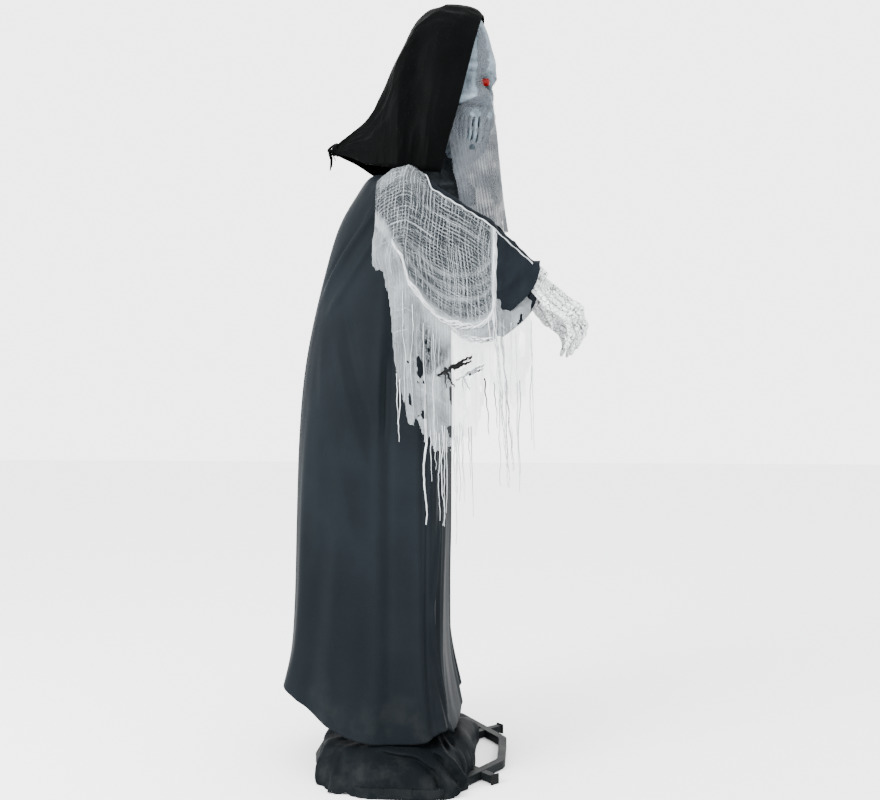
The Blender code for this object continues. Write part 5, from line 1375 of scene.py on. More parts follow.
@dataclass
class Hood:
    """The black hood over the skull, drawn into a knot behind the neck.

    Attributes:
        bench: Where pieces are placed.
        thickness: The satin's thickness.
    """

    bench: Workbench
    thickness: float = SATIN_CLOTH

    ARCHES = np.array([
        (0.072, 1.626, 0.183, 2.090, 0.118),
        (0.046, 1.626, 0.132, 2.1215, 0.128),
        (0.012, 1.627, 0.074, 2.1280, 0.134),
        (-0.020, 1.630, 0.020, 2.1100, 0.136),
        (-0.050, 1.634, -0.022, 2.066, 0.135),
        (-0.082, 1.642, -0.060, 1.980, 0.128),
        (-0.112, 1.650, -0.098, 1.885, 0.114),
        (-0.148, 1.660, -0.142, 1.815, 0.090),
        (-0.190, 1.684, -0.196, 1.772, 0.056),
        (-0.232, 1.702, -0.244, 1.738, 0.022),
        (-0.254, 1.708, -0.262, 1.722, 0.007),
    ])
    POWER = 2.6

    def surface(self, across: np.ndarray, down: np.ndarray) -> np.ndarray:
        """Lay the crumpled hood.

        Args:
            across: Shares over the arch from the left foot to the right.
            down: Shares from the front edge back to the knot.

        Returns:
            Points on the cloth.
        """
        foot_ahead, foot_up, crown_ahead, crown_up, half = smooth_rows(self.ARCHES, down).T
        angle = np.pi * across
        lift = np.maximum(np.sin(angle), 0) ** (2 / self.POWER)
        aside = np.cos(angle)
        aside = np.sign(aside) * np.abs(aside) ** (2 / self.POWER)
        points = at(aside * half, foot_ahead + (crown_ahead - foot_ahead) * lift,
                    foot_up + (crown_up - foot_up) * lift)
        outward = at(aside, -0.45 * step(0.25, 0.8, down), lift - 0.15)
        outward /= np.linalg.norm(outward, axis=1, keepdims=True)
        arc = across * 7.0
        drawn = step(0.45, 0.95, down)
        soft = rumple(arc * 0.55, down * 3.4, 51, 3) * 0.0100
        pulls = rumple(across * 9.0 + 0.4 * np.sin(down * 9), down * 0.9, 57, 2) * 0.0085
        sharp = rumple(arc * 1.9 + 5, down * 9.0, 61, 2) * 0.0045
        sags = lattice_noise(arc * 0.5, down * 7.5 + across * 2.0, 63) * 0.0060
        edge = step(0.0, 0.05, down)
        rise = (soft * 0.9 + sags) * (1 - 0.55 * drawn) * (0.35 + 0.65 * edge)
        rise = rise + pulls * drawn * (1 - 0.7 * step(0.86, 1.0, down)) + sharp * edge
        rise -= 0.0075
        points = points + outward * rise[:, None]
        rim = 1 - step(0.0, 0.035, down)
        wave = lattice_noise(arc * 1.3, down * 0, 67) * 0.0085
        points[:, 1] -= rim * (wave * (1.1 - lift) - 0.004 * lift)
        points[:, 2] += rim * wave * 0.3
        return points

    def build(self) -> None:
        """Make the hood and its knot."""
        mesh = grid_mesh("hood", 210, 200, self.surface, (0.95, 0.62))
        turn_outwards(mesh, Vector((0, -0.02, 1.85)))
        hood = self.bench.piece("hood_cloth", mesh, Finishes.HOOD, "head", "hood_satin",
                                ("hood",))
        self.bench.thicken(hood, self.thickness)
        self.bench.cloth(hood, 0.95, "draped", ["skull_cloth", "skull_mask"])
        self.knot()

    def knot(self) -> None:
        """Make the tie at the knot: three wraps, a loop and three torn ends."""
        coils = []
        for index, (ahead, up, radius) in enumerate(
                ((-0.240, 1.720, 0.0150), (-0.246, 1.7195, 0.0125), (-0.252, 1.718, 0.0100))):
            turns = np.linspace(0, 2 * np.pi, 26)
            ring = at(np.cos(turns) * radius, ahead + 0.0015 * np.sin(turns * 2 + index),
                      up + np.sin(turns) * radius)
            coils.append(traced(ring, 0.0036, 1.0))
        turns = np.linspace(0, 2 * np.pi, 28)
        loop = at(0.003 * np.sin(turns), -0.2535 + 0.0135 * np.cos(turns),
                  1.7275 + 0.0085 * np.cos(turns) + 0.0065 * np.sin(turns))
        coils.append(traced(loop, 0.0034, 1.0))
        for shift, end, radius in ((0.0, 1.663, 0.0036), (0.003, 1.672, 0.0032)):
            coils.append(Thread(hanging(shift, -0.263 + shift, 1.724, end, 0.003, 0.004, 3),
                                radius, 0.55))
        coils.append(Thread(hanging(-0.004, -0.252, 1.712, 1.690, 0.004, 0.006, 4), 0.0022, 0.4))
        mesh = thread_mesh("hood_tie", coils)
        places = vertex_array(mesh)
        swell(mesh, rumple(places[:, 0] * 260, places[:, 1] * 260 + places[:, 2] * 200, 71, 2)
              * 0.0009)
        self.bench.piece("hood_knot", mesh, Finishes.HOOD, "head", "hood_satin", ("hood_tie",))


@dataclass
class NeckWrap:
    """The crumpled dark cloth round the neck, between the jaw and the shoulders."""

    bench: Workbench
    top: float = 1.800
    bottom: float = 1.562

    def build(self) -> None:
        """Make the wrap as a closed crumpled tube."""
        def surface(across: np.ndarray, down: np.ndarray) -> np.ndarray:
            angle = across * 2 * np.pi
            waist = bell(down, 0.45, 0.35)
            half = 0.066 - 0.012 * waist + 0.012 * down
            front = 0.128 - 0.030 * waist + 0.034 * step(0.5, 0.9, down)
            back = 0.060 + 0.020 * down
            reach = np.where(np.cos(angle) > 0, front, back)
            crease = rumple(across * 11 + 0.6 * np.sin(down * 14), down * 5.5, 81, 3) * 0.0150
            pleat = lattice_noise(across * 7, down * 8 + across * 5, 83) * 0.0070
            fine = rumple(across * 30, down * 16, 87, 2) * 0.0040
            grow = crease + pleat + fine
            return at(np.sin(angle) * (half + grow), np.cos(angle) * (reach + grow) - 0.004,
                      self.top + (self.bottom - self.top) * down)

        mesh = grid_mesh("neck_wrap", 200, 80, surface, (0.62, 0.30), closed=True)
        turn_outwards(mesh, Vector((0, 0, 1.70)))
        wrap = self.bench.piece("neck_wrap", mesh, Finishes.LINING, "head", "hood_satin")
        self.bench.thicken(wrap, THIN_CLOTH)
        self.bench.cloth(wrap, 0.62, "gathered", ["skull_cloth", "neck_tube"])


@dataclass(frozen=True)
class Bump:
    """A lump or hollow of the face, both sides alike.

    Attributes:
        ahead: How far forward its middle lies, in metres.
        up: Its middle's height.
        long: Its half length forward.
        tall: Its half height.
        rise: How far it stands out, or in where negative.
        middle: Whether it sits on the nose line and not on the cheeks.
    """

    ahead: float
    up: float
    long: float
    tall: float
    rise: float
    middle: bool = False


class SkullForm:
    """The skull's surface, shared by the mask and the gauze over it."""

    MIDDLE_AHEAD, MIDDLE_UP = 0.098, 1.893
    HALF_WIDTH, HALF_DEPTH, HALF_HEIGHT = 0.084, 0.113, 0.2297
    POWER = 2.3
    RELIEF = (
        (0.42, 0.02, 0.24, 0.15, -0.17), (0.40, 0.25, 0.34, 0.09, 0.075),
        (0.00, 0.30, 0.20, 0.12, 0.030), (0.00, -0.10, 0.16, 0.12, -0.105),
        (0.00, 0.10, 0.12, 0.08, 0.050), (0.72, -0.17, 0.22, 0.11, 0.095),
        (0.95, 0.13, 0.20, 0.20, -0.080), (0.80, -0.48, 0.26, 0.16, -0.120),
        (0.00, -0.42, 0.50, 0.10, 0.050), (0.00, -0.55, 0.44, 0.04, -0.035),
        (0.00, -0.80, 0.34, 0.12, 0.090), (0.45, -0.68, 0.30, 0.10, 0.030),
    )
    BUMPS = (
        Bump(0.120, 1.887, 0.030, 0.034, -0.0075),
        Bump(0.182, 1.886, 0.017, 0.023, -0.0170),
        Bump(0.165, 1.930, 0.034, 0.010, 0.0045),
        Bump(0.138, 1.843, 0.040, 0.009, 0.0055),
        Bump(0.140, 1.822, 0.038, 0.005, -0.0050),
        Bump(0.126, 1.806, 0.010, 0.010, 0.0065),
        Bump(0.148, 1.798, 0.008, 0.008, 0.0050),
        Bump(0.108, 1.760, 0.022, 0.040, -0.0085),
        Bump(0.150, 1.758, 0.040, 0.032, 0.0030),
        Bump(0.130, 1.700, 0.040, 0.016, -0.0045),
        Bump(0.150, 1.655, 0.034, 0.022, 0.0040),
        Bump(0.195, 1.842, 0.016, 0.016, -0.0100, True),
        Bump(0.205, 1.868, 0.014, 0.012, 0.0040, True),
        Bump(0.190, 1.815, 0.020, 0.006, 0.0030, True),
    )

    def base(self, direction: np.ndarray) -> np.ndarray:
        """Find the CAD skull's surface in each direction.

        Args:
            direction: Rows of side, forward and up parts.

        Returns:
            Points on the surface.
        """
        spread = (np.abs(direction) ** self.POWER).sum(axis=1) ** (-1 / self.POWER)
        unit = direction * spread[:, None]
        side, ahead, up = unit.T
        relief = np.zeros(len(unit))
        for across, high, wide, tall, rise in self.RELIEF:
            relief += rise * np.exp(-((np.abs(side) - across) / wide) ** 2
                                    - ((up - high) / tall) ** 2)
        drawn = 1 + relief * np.minimum(1.0, 2.2 * np.maximum(ahead, 0))
        jaw = 1 - 0.30 * np.maximum(0, -up) ** 1.5
        return at(side * self.HALF_WIDTH * drawn * jaw,
                  self.MIDDLE_AHEAD + ahead * self.HALF_DEPTH * drawn,
                  self.MIDDLE_UP + up * self.HALF_HEIGHT * (1 + relief * 0.15))

    def outward(self, points: np.ndarray) -> np.ndarray:
        """Give the smooth form's outward direction at points."""
        away = np.stack([points[:, 0] / self.HALF_WIDTH ** 2,
                         (points[:, 1] + self.MIDDLE_AHEAD) / self.HALF_DEPTH ** 2,
                         (points[:, 2] - self.MIDDLE_UP) / self.HALF_HEIGHT ** 2], axis=1)
        return away / np.linalg.norm(away, axis=1, keepdims=True)

    def lumps(self, points: np.ndarray) -> np.ndarray:
        """Add up the face's own lumps and hollows at points.

        Args:
            points: Points on the CAD skull's surface.

        Returns:
            How far each point moves outwards.
        """
        side, ahead, up = np.abs(points[:, 0]), -points[:, 1], points[:, 2]
        rise = np.zeros(len(points))
        for bump in self.BUMPS:
            shape = bell(ahead, bump.ahead, bump.long) * bell(up, bump.up, bump.tall)
            shape *= bell(side, 0.0, 0.020) if bump.middle else step(0.012, 0.030, side)
            rise += bump.rise * shape
        return rise

    def at_height(self, up: np.ndarray, turn: np.ndarray) -> np.ndarray:
        """Find the surface at heights and turns from the front.

        Args:
            up: Heights.
            turn: Turns in radians, to the left where positive.

        Returns:
            Points on the CAD skull's surface.
        """
        share = np.clip((up - self.MIDDLE_UP) / self.HALF_HEIGHT, -0.985, 0.985)
        across, ahead = np.sin(turn), np.cos(turn)
        reach = ((1 - np.abs(share) ** self.POWER)
                 / (np.abs(across) ** self.POWER + np.abs(ahead) ** self.POWER))
        reach = np.maximum(reach, 1e-6) ** (1 / self.POWER)
        return self.base(np.stack([reach * across, reach * ahead, share], axis=1))


@dataclass
class Skull:
    """The skull mask with its teeth, worked in one mesh.

    Attributes:
        bench: Where pieces are placed.
        form: The shared skull surface.
    """

    bench: Workbench
    form: SkullForm

    def build(self) -> None:
        """Make the mask with its teeth, its wrinkles, and its fields of painted shade and
        highlight.
        """
        work = bmesh.new()
        bmesh.ops.create_uvsphere(work, u_segments=250, v_segments=200, radius=1.0)
        mesh = bpy.data.meshes.new("skull_cloth")
        work.to_mesh(mesh)
        work.free()
        sphere = vertex_array(mesh)
        direction = np.stack([sphere[:, 0], -sphere[:, 1], sphere[:, 2]], axis=1)
        points = self.form.base(direction)
        outward = self.form.outward(points)
        rise = self.form.lumps(points) + self.teeth(points) + self.wrinkles(points)
        rise -= 0.0012
        points = points + outward * rise[:, None]
        set_vertices(mesh, points)
        # Painted shade in the hollows and the shadow places; painted highlight on the ridges.
        hollow = np.clip(hollowness(mesh, 9) / 0.0014, 0, 1)
        add_field(mesh, "hollow", np.maximum(hollow, self.shadows(vertex_array(mesh))))
        add_field(mesh, "ridge_highlight", np.clip(-hollowness(mesh, 6) / 0.0012, 0, 1))
        self.bench.piece("skull_cloth", mesh, Finishes.BONE, "head", "painted_bone",
                         ("skull_mask",))

    def shadows(self, points: np.ndarray) -> np.ndarray:
        """Say where shade is painted black: the sockets, the nose, the temples, a crease, under the
        cheekbones and torn patches on the jaw.

        Args:
            points: Points on the finished mask.

        Returns:
            A share of 0 to 1 for each point.
        """
        side, ahead, up = np.abs(points[:, 0]), -points[:, 1], points[:, 2]
        socket = bell(np.hypot(side - 0.036, (up - 1.886) * 0.75), 0.0, 0.0210)
        nose = bell(np.hypot(side / 0.9, up - 1.845), 0.0, 0.012)
        temple = 0.55 * bell(np.hypot(ahead - 0.139, (up - 1.889) * 0.6), 0.0, 0.013)
        crease = 0.95 * bell(up, 1.8235, 0.0032) * bell(ahead, 0.140, 0.030)
        under = 0.5 * bell(up, 1.806, 0.010) * bell(ahead, 0.128, 0.026)
        torn = 0.9 * (lattice_noise(ahead * 150, up * 90, 93) > 0.25) \
            * bell(up, 1.706, 0.014) * bell(ahead, 0.150, 0.026)
        return np.clip(np.maximum.reduce([socket * (ahead > 0.12) * 1.35, nose * (ahead > 0.15),
                                          temple, crease, under, torn]), 0, 1)

    def teeth(self, points: np.ndarray) -> np.ndarray:
        """Press dark gaps between long teeth into the jaw.

        Args:
            points: Points on the skull.

        Returns:
            How far each point moves outwards.
        """
        side, ahead, up = np.abs(points[:, 0]), -points[:, 1], points[:, 2]
        around = np.degrees(np.arctan2(side, np.maximum(ahead - 0.095, 0.001)))
        pitch = around / 10.5
        gap = np.exp(-((pitch - np.round(pitch)) / 0.20) ** 2)
        ragged = lattice_noise(pitch * 0.9, up * 0, 91) * 0.010
        rows = step(1.728 + ragged.min(), 1.740, up + ragged) * (1 - step(1.786, 1.796, up))
        reach = 1 - step(74, 88, around)
        tooth = (0.0022 - 0.0105 * gap) * rows * reach
        lips = -0.0040 * bell(up, 1.760, 0.0022) * reach * step(2, 10, around)
        return tooth + lips * 0.6

    def wrinkles(self, points: np.ndarray) -> np.ndarray:
        """Add creases of the skin over the skull."""
        side, ahead, up = points[:, 0], -points[:, 1], points[:, 2]
        turn = np.arctan2(side, ahead - 0.02) * 4.2
        calm = 1 - 0.85 * step(1.915, 1.950, up)
        lines = rumple(turn * 1.3, up * 26, 95, 3) * 0.0018 * calm
        pits = np.minimum(0, lattice_noise(turn * 9, up * 120, 97) + 0.35) * 0.0012 * calm
        cords = rumple(turn * 3.2 + up * 18, up * 8, 99, 2) * 0.0022 * step(1.80, 1.72, up)
        brow = -0.0022 * bell(up, 1.922, 0.0035) * bell(ahead, 0.185, 0.022)
        brow -= 0.0016 * bell(up, 1.934, 0.0028) * bell(ahead, 0.188, 0.018)
        return lines + pits + cords + brow


@dataclass
class FaceGauze:
    """The grey gauze stuck over the face that hangs on below the chin.

    Attributes:
        bench: Where pieces are placed.
        form: The skull surface under it.
        offset: How far it lies off the face.
    """

    bench: Workbench
    form: SkullForm
    offset: float = 0.0015

    TOP, SEAT, HEM = 2.045, 1.797, 1.476
    HALF_ANGLE = math.radians(78)
    HEM_HALF_WIDTH, HEM_AHEAD, HEM_BOW = 0.094, 0.122, 0.114

    def widths(self, up: np.ndarray) -> np.ndarray:
        """Give how far round the face the gauze reaches at heights, in radians."""
        return np.radians(smooth_line([(1.476, 82), (1.60, 88), (1.70, 97), (1.78, 98), (1.825, 80),
                                       (1.845, 60), (1.90, 57), (1.97, 56), (2.05, 54)], up))

    def hem_line(self, turn: Any) -> tuple[Any, Any]:
        """Give how far aside and ahead the hem hangs at a turn, or turns, in radians."""
        bow = np.cos(turn) - math.cos(self.HALF_ANGLE)
        return (self.HEM_HALF_WIDTH * np.sin(turn) / math.sin(self.HALF_ANGLE),
                self.HEM_AHEAD + self.HEM_BOW / (1 - math.cos(self.HALF_ANGLE)) * bow)

    def surface(self, across: np.ndarray, down: np.ndarray) -> np.ndarray:
        """Lay the gauze on the face and let it hang below.

        Args:
            across: Shares round the face from its right to its left.
            down: Shares from the brow to the hem.

        Returns:
            Points on the gauze.
        """
        up = self.TOP + (self.HEM - self.TOP) * down
        turn = (across * 2 - 1) * self.widths(up)
        on_face = np.maximum(up, self.SEAT)
        skin = self.form.at_height(on_face, turn)
        outward = self.form.outward(skin)
        cling = self.form.lumps(skin)
        skin = skin + outward * (self.offset + 0.75 * cling
                                 + np.abs(rumple(across * 9, up * 24, 101, 2)) * 0.002)[:, None]
        share = np.clip((self.SEAT - up) / (self.SEAT - self.HEM), 0, 1)
        aside, ahead = self.hem_line(turn)
        fold = 0.006 * np.sin(9 * turn + 1.3) + rumple(across * 5, up * 3, 103, 2) * 0.009
        fold = fold + lattice_noise(across * 17, up * 1.5, 104) * 0.006
        hem = at(aside, ahead + fold, self.HEM)
        hem[:, 2] += lattice_noise(across * 14, up * 0, 105) * 0.006
        points = skin + (hem - skin) * share[:, None]
        points[:, 2] = np.where(share > 0, self.SEAT + (hem[:, 2] - self.SEAT) * share,
                                points[:, 2])
        return points

    def keep(self, across: np.ndarray, down: np.ndarray) -> np.ndarray:
        """Leave out the torn holes and the ragged edges.

        Args:
            across: Shares of the faces' middles round the face.
            down: Shares of the faces' middles down it.

        Returns:
            True where cloth stays.
        """
        up = self.TOP + (self.HEM - self.TOP) * down
        turn = np.abs(across * 2 - 1) * self.widths(up)
        wobble = lattice_noise(across * 26, down * 40, 107) * 0.5 \
            + lattice_noise(across * 60, down * 95, 109) * 0.3
        holes = np.zeros(len(up), bool)
        for middle, height, wide, tall in (
                (0.36, 1.890, 0.30, 0.027), (0.34, 1.846, 0.16, 0.012),
                (0.16, 1.818, 0.16, 0.010), (0.46, 1.800, 0.10, 0.009),
                (0.95, 1.800, 0.16, 0.014), (0.92, 1.772, 0.14, 0.020),
                (1.00, 1.738, 0.10, 0.018), (1.14, 1.742, 0.07, 0.022),
                (1.08, 1.706, 0.10, 0.008)):
            away = ((turn - middle) / wide) ** 2 + ((up - height) / tall) ** 2
            holes |= away < 1 + wobble
        edge = np.minimum(across, 1 - across)
        ragged = 0.010 + 0.012 * np.abs(lattice_noise(down * 15, across * 0, 111))
        brow = step(1.905, 1.925, up) * (turn < math.radians(36) + 0.12 * wobble) > 0.5
        low = step(1.56, 1.50, up) * np.abs(lattice_noise(across * 30, down * 3, 113)) > 0.86
        return ~holes & ~brow & (edge > ragged * step(1.50, 1.60, up)) & ~low

    def build(self) -> None:
        """Make the gauze and the threads that hang from its hem."""
        mesh = grid_mesh("face_gauze", 190, 300, self.surface, (0.30, 0.62), self.keep)
        turn_outwards(mesh, Vector((0, -0.05, 1.75)))
        places = flat_places(mesh)
        across = places[:, 0] / 0.30
        up = self.TOP + (self.HEM - self.TOP) * places[:, 1] / 0.62
        edge = np.minimum(across, 1 - across)
        gather = 0.18 + 0.15 * bell(edge, 0.05, 0.06) - 0.45 * step(1.76, 1.84, up)
        add_field(mesh, "gather", np.clip(gather - 0.10 * step(1.54, 1.48, up), -0.6, 1))
        gauze = self.bench.piece("face_gauze", mesh, Finishes.VEIL, "head", "white_gauze",
                                 ("veil",))
        threads = []
        random = np.random.RandomState(17)
        for index in range(26):
            turn = (random.rand() * 2 - 1) * self.HALF_ANGLE * 0.97
            side, ahead = self.hem_line(turn)
            top = self.HEM + 0.004 + random.rand() * 0.01
            threads.append(Thread(hanging(side, ahead - 0.002, top,
                                          self.HEM - 0.004 - random.rand() * 0.022, 0.002,
                                          0.002, 200 + index), 0.00045, 0.4))
        fringe = self.bench.piece("gauze_fringe", thread_mesh("gauze_fringe", threads),
                                  Finishes.STRAND, "head", "white_gauze")
        self.bench.cloth(gauze, 0.30, "hung", ["skull_cloth"], (fringe,))


# Arms


@dataclass(frozen=True)
class ArmLine:
    """The middle line of one arm, from shoulder to wrist.

    Attributes:
        side: 1 for the left arm, -1 for the right.
    """

    side: int

    SHOULDER = (0.2465, 0.0, 1.575)
    ELBOW = (0.262, 0.205, 1.446)
    WRIST = (0.262, 0.318, 1.345)
    HAND_DROP = 0.026

    @property
    def name(self) -> str:
        """Give the side's name."""
        return "left" if self.side > 0 else "right"

    def spine(self, ahead: np.ndarray) -> tuple[np.ndarray, np.ndarray]:
        """Give sideways distance and height of the line at forward distances."""
        places = (self.SHOULDER[1], self.ELBOW[1], self.WRIST[1])
        aside = np.interp(ahead, places, (self.SHOULDER[0], self.ELBOW[0], self.WRIST[0]))
        up = np.interp(ahead, places, (self.SHOULDER[2], self.ELBOW[2], self.WRIST[2]))
        return aside, up

    def hand_axes(self) -> tuple[np.ndarray, ...]:
        """Give the wrist, the directions along, palm and out of the rolled hand, and its heel."""
        wrist = at(self.WRIST[0] * self.side, self.WRIST[1], self.WRIST[2])
        elbow = at(self.ELBOW[0] * self.side, self.ELBOW[1], self.ELBOW[2])
        along = (wrist - elbow) / np.linalg.norm(wrist - elbow)
        level = np.array([float(self.side), 0.0, 0.0])
        below = np.cross(along, level)
        below = below if below[2] < 0 else -below
        turn = math.sqrt(0.5)
        return (wrist, along, (below - level) * turn, (below + level) * turn,
                wrist + below * self.HAND_DROP)


@dataclass
class Sleeve:
    """The dark sleeve that hangs from one arm tube.

    Attributes:
        bench: Where pieces are placed.
        arm: The arm's line.
    """

    bench: Workbench
    arm: ArmLine

    STATIONS = np.array([
        (-0.020, 2.80, -0.056, 1.500, 0.62), (0.160, 2.50, -0.040, 1.405, 0.70),
        (0.380, 2.15, 0.012, 1.300, 0.90), (0.645, 1.85, 0.076, 1.228, 1.00),
        (0.840, 1.62, 0.150, 1.200, 1.02), (1.050, 1.46, 0.226, 1.202, 1.10),
    ])
    HALF_WIDTH = 0.040

    def build(self) -> None:
        """Make the crumpled sleeve."""
        seed = 120 if self.arm.side < 0 else 160

        def surface(across: np.ndarray, down: np.ndarray) -> np.ndarray:
            share, lift, foot_ahead, foot_up, width = smooth_rows(self.STATIONS, down).T
            top_ahead = share * ArmLine.WRIST[1]
            aside, spine_up = self.arm.spine(top_ahead)
            top_up = spine_up + (lift * 0.0095 + 0.001) * 1.28
            angle = across * 2 * np.pi
            lean = (1 + np.cos(angle)) / 2
            pinch = np.abs(np.sin(angle)) ** 0.72 * np.sign(np.sin(angle))
            ahead = foot_ahead + (top_ahead - foot_ahead) * lean
            up = foot_up + (top_up - foot_up) * lean
            length = down * 4.6
            hang = (1 - lean) * np.abs(np.sin(angle)) ** 0.4 + 0.15
            grow = rumple(across * 6.0 + length * 0.5, length * 1.2, seed, 3) * 0.0110
            drags = rumple(across * 3.5 - length * 0.6, length * 2.6 + across * 5, seed + 5, 2)
            grow = grow + drags * 0.0100 * hang
            fine = rumple(across * 17, length * 3.6, seed + 9, 2) * 0.0030
            calm = 1 - 0.65 * step(0.78, 1.0, down)
            grow, fine = grow * calm, fine * calm
            half = self.HALF_WIDTH * width * (1 - 0.22 * (1 - lean)) - 0.003
            sway = lattice_noise(length * 0.9, across * 0, seed + 13) * 0.006 * (1 - lean)
            ahead = ahead + 0.034 * step(0.72, 1.0, down) * np.sin(np.pi * lean)
            lift_foot = (lattice_noise(length * 2.1, across * 0 + 3, seed + 17) * 0.010
                         * (1 - lean) ** 2)
            return at(self.arm.side * (aside + 0.004 + pinch * (half + grow + fine) + sway),
                      ahead + (grow + fine) * 0.5 * np.cos(angle),
                      up + lift_foot + (grow + fine) * 0.4 * np.cos(angle) - 0.002 * lean)

        name = self.arm.name
        mesh = grid_mesh(f"{name}_sleeve", 150, 150, surface, (0.52, 0.44), closed=True)
        turn_outwards(mesh, Vector((self.arm.side * 0.262, -0.12, 1.40)))
        sleeve = self.bench.piece(f"{name}_sleeve_cloth", mesh, Finishes.SLEEVE, f"{name}_arm",
                                  "robe_satin", (f"{name}_sleeve",))
        self.bench.thicken(sleeve, THIN_CLOTH)
        self.bench.cloth(sleeve, 0.52, "gathered", [f"{name}_arm_tube"])


@dataclass
class Shawl:
    """The torn white gauze over one arm, with its swag, panels and strands.

    Attributes:
        bench: Where pieces are placed.
        arm: The arm's line.
    """

    bench: Workbench
    arm: ArmLine

    REAR, FRONT = -0.082, 0.318
    INSIDE, OUTSIDE = 0.250, 0.322
    CREST, SHOULDER_DROP = 0.0405, 0.050
    LENGTH = 0.98
    TIE_RADII = (0.0030, 0.0052, 0.0052, 0.0036, 0.0020, 0.0021)
    SWAG = [(-0.082, 1.470), (-0.0135, 1.373), (0.002, 1.310), (0.065, 1.233), (0.111, 1.203),
            (0.182, 1.197), (0.217, 1.230), (0.240, 1.330), (0.318, 1.350)]
    HEM = [(-0.082, 1.345), (-0.054, 1.325), (-0.042, 1.240), (-0.034, 1.110), (-0.016, 0.985),
           (0.010, 0.935), (0.042, 0.893), (0.054, 0.862), (0.075, 0.884), (0.103, 0.885),
           (0.134, 0.887), (0.140, 0.940), (0.158, 1.010), (0.176, 1.075), (0.190, 1.070),
           (0.205, 1.045), (0.229, 1.020), (0.255, 1.000), (0.269, 0.985), (0.284, 1.006),
           (0.300, 1.070), (0.312, 1.140), (0.330, 1.150)]
    STRANDS = [(-0.028, 1.020, 0.935, 0.0012), (-0.020, 1.010, 0.900, 0.0016),
               (0.045, 0.900, 0.690, 0.0030), (0.058, 0.880, 0.800, 0.0010),
               (0.072, 0.890, 0.830, 0.0009), (0.080, 0.890, 0.700, 0.0013),
               (0.088, 0.890, 0.688, 0.0016), (0.094, 0.890, 0.686, 0.0012),
               (0.100, 0.890, 0.720, 0.0010), (0.116, 0.885, 0.758, 0.0018),
               (0.124, 0.885, 0.640, 0.0017), (0.233, 1.020, 0.790, 0.0022),
               (0.276, 1.010, 0.775, 0.0021), (0.312, 1.150, 0.880, 0.0019)]
    CORDS = [(-0.012, 1.24, 1.00, 0.0011), (0.012, 1.20, 0.95, 0.0009), (0.040, 1.16, 0.90, 0.0012),
             (0.066, 1.14, 0.90, 0.0008), (0.205, 1.17, 1.05, 0.0010), (0.262, 1.16, 1.01, 0.0010)]

    HOLES = [(0.262, 1.275, 0.016, 0.030), (0.285, 1.180, 0.010, 0.040),
             (0.205, 1.120, 0.007, 0.045), (0.030, 1.090, 0.008, 0.030),
             (0.110, 1.020, 0.008, 0.034), (0.300, 1.060, 0.008, 0.030)]

    @property
    def seed(self) -> int:
        """Give each side its own pattern."""
        return 210 if self.arm.side < 0 else 260

    def crest(self, ahead: np.ndarray) -> np.ndarray:
        """Give the height of the shawl's ridge over the arm."""
        _, up = self.arm.spine(ahead)
        return up + self.CREST - 0.49 * np.minimum(ahead, 0) ** 2 / 0.082

    def edge_height(self, ahead: np.ndarray) -> np.ndarray:
        """Give the height of the shawl's torn upper edge along the arm."""
        _, spine = self.arm.spine(ahead)
        return np.where(ahead < 0.040, 9.0, spine + 0.006 + 0.030 * step(0.062, 0.040, ahead))

    def span(self, ahead: np.ndarray) -> np.ndarray:
        """Say where along the arm the swag's long folds run, from 0 to 1."""
        return step(-0.07, 0.02, ahead) * (1 - step(0.21, 0.25, ahead))

    def fold_line(self, level: float, ahead: np.ndarray) -> np.ndarray:
        """Give a long fold's height above the swag's lower line, which grows forwards."""
        return level + 0.10 * (ahead - 0.1) * (level / 0.06)

    def outside(self, ahead: np.ndarray, up: np.ndarray) -> np.ndarray:
        """Give how far out the hanging cloth lies, with all its folds.

        Args:
            ahead: Forward places on the cloth.
            up: Heights on the cloth.

        Returns:
            Sideways distances.
        """
        seed = self.seed
        swag = smooth_line(self.SWAG, ahead)
        above = up - swag
        waves = np.zeros_like(up)
        for level, width, height in ((0.004, 0.011, 0.0060), (0.034, 0.010, -0.0040),
                                     (0.058, 0.013, 0.0050), (0.088, 0.013, -0.0040),
                                     (0.116, 0.016, 0.0045), (0.150, 0.018, -0.0035)):
            waves += height * bell(above, self.fold_line(level, ahead), width)
        waves *= self.span(ahead)
        low = step(0.02, -0.10, above)
        pleat = (lattice_noise(ahead * 34 + 0.6 * lattice_noise(up * 5, ahead * 6, seed + 1),
                               up * 1.6, seed) * 0.0065
                 + lattice_noise(ahead * 75, up * 2.6, seed + 3) * 0.0028)
        crumple = rumple(ahead * 26, up * 22, seed + 5, 3) * 0.0045 * (1 - low * 0.55)
        roll = 0.0065 * bell(ahead, 0.2205, 0.006) * step(1.18, 1.22, up)
        tuck = -0.0090 * bell(ahead, 0.232, 0.009) * step(1.10, 1.25, up)
        drawn = -0.012 * low * step(1.15, 0.75, up)
        return self.OUTSIDE + waves + pleat * (0.25 + 0.75 * low) + crumple + roll + tuck + drawn

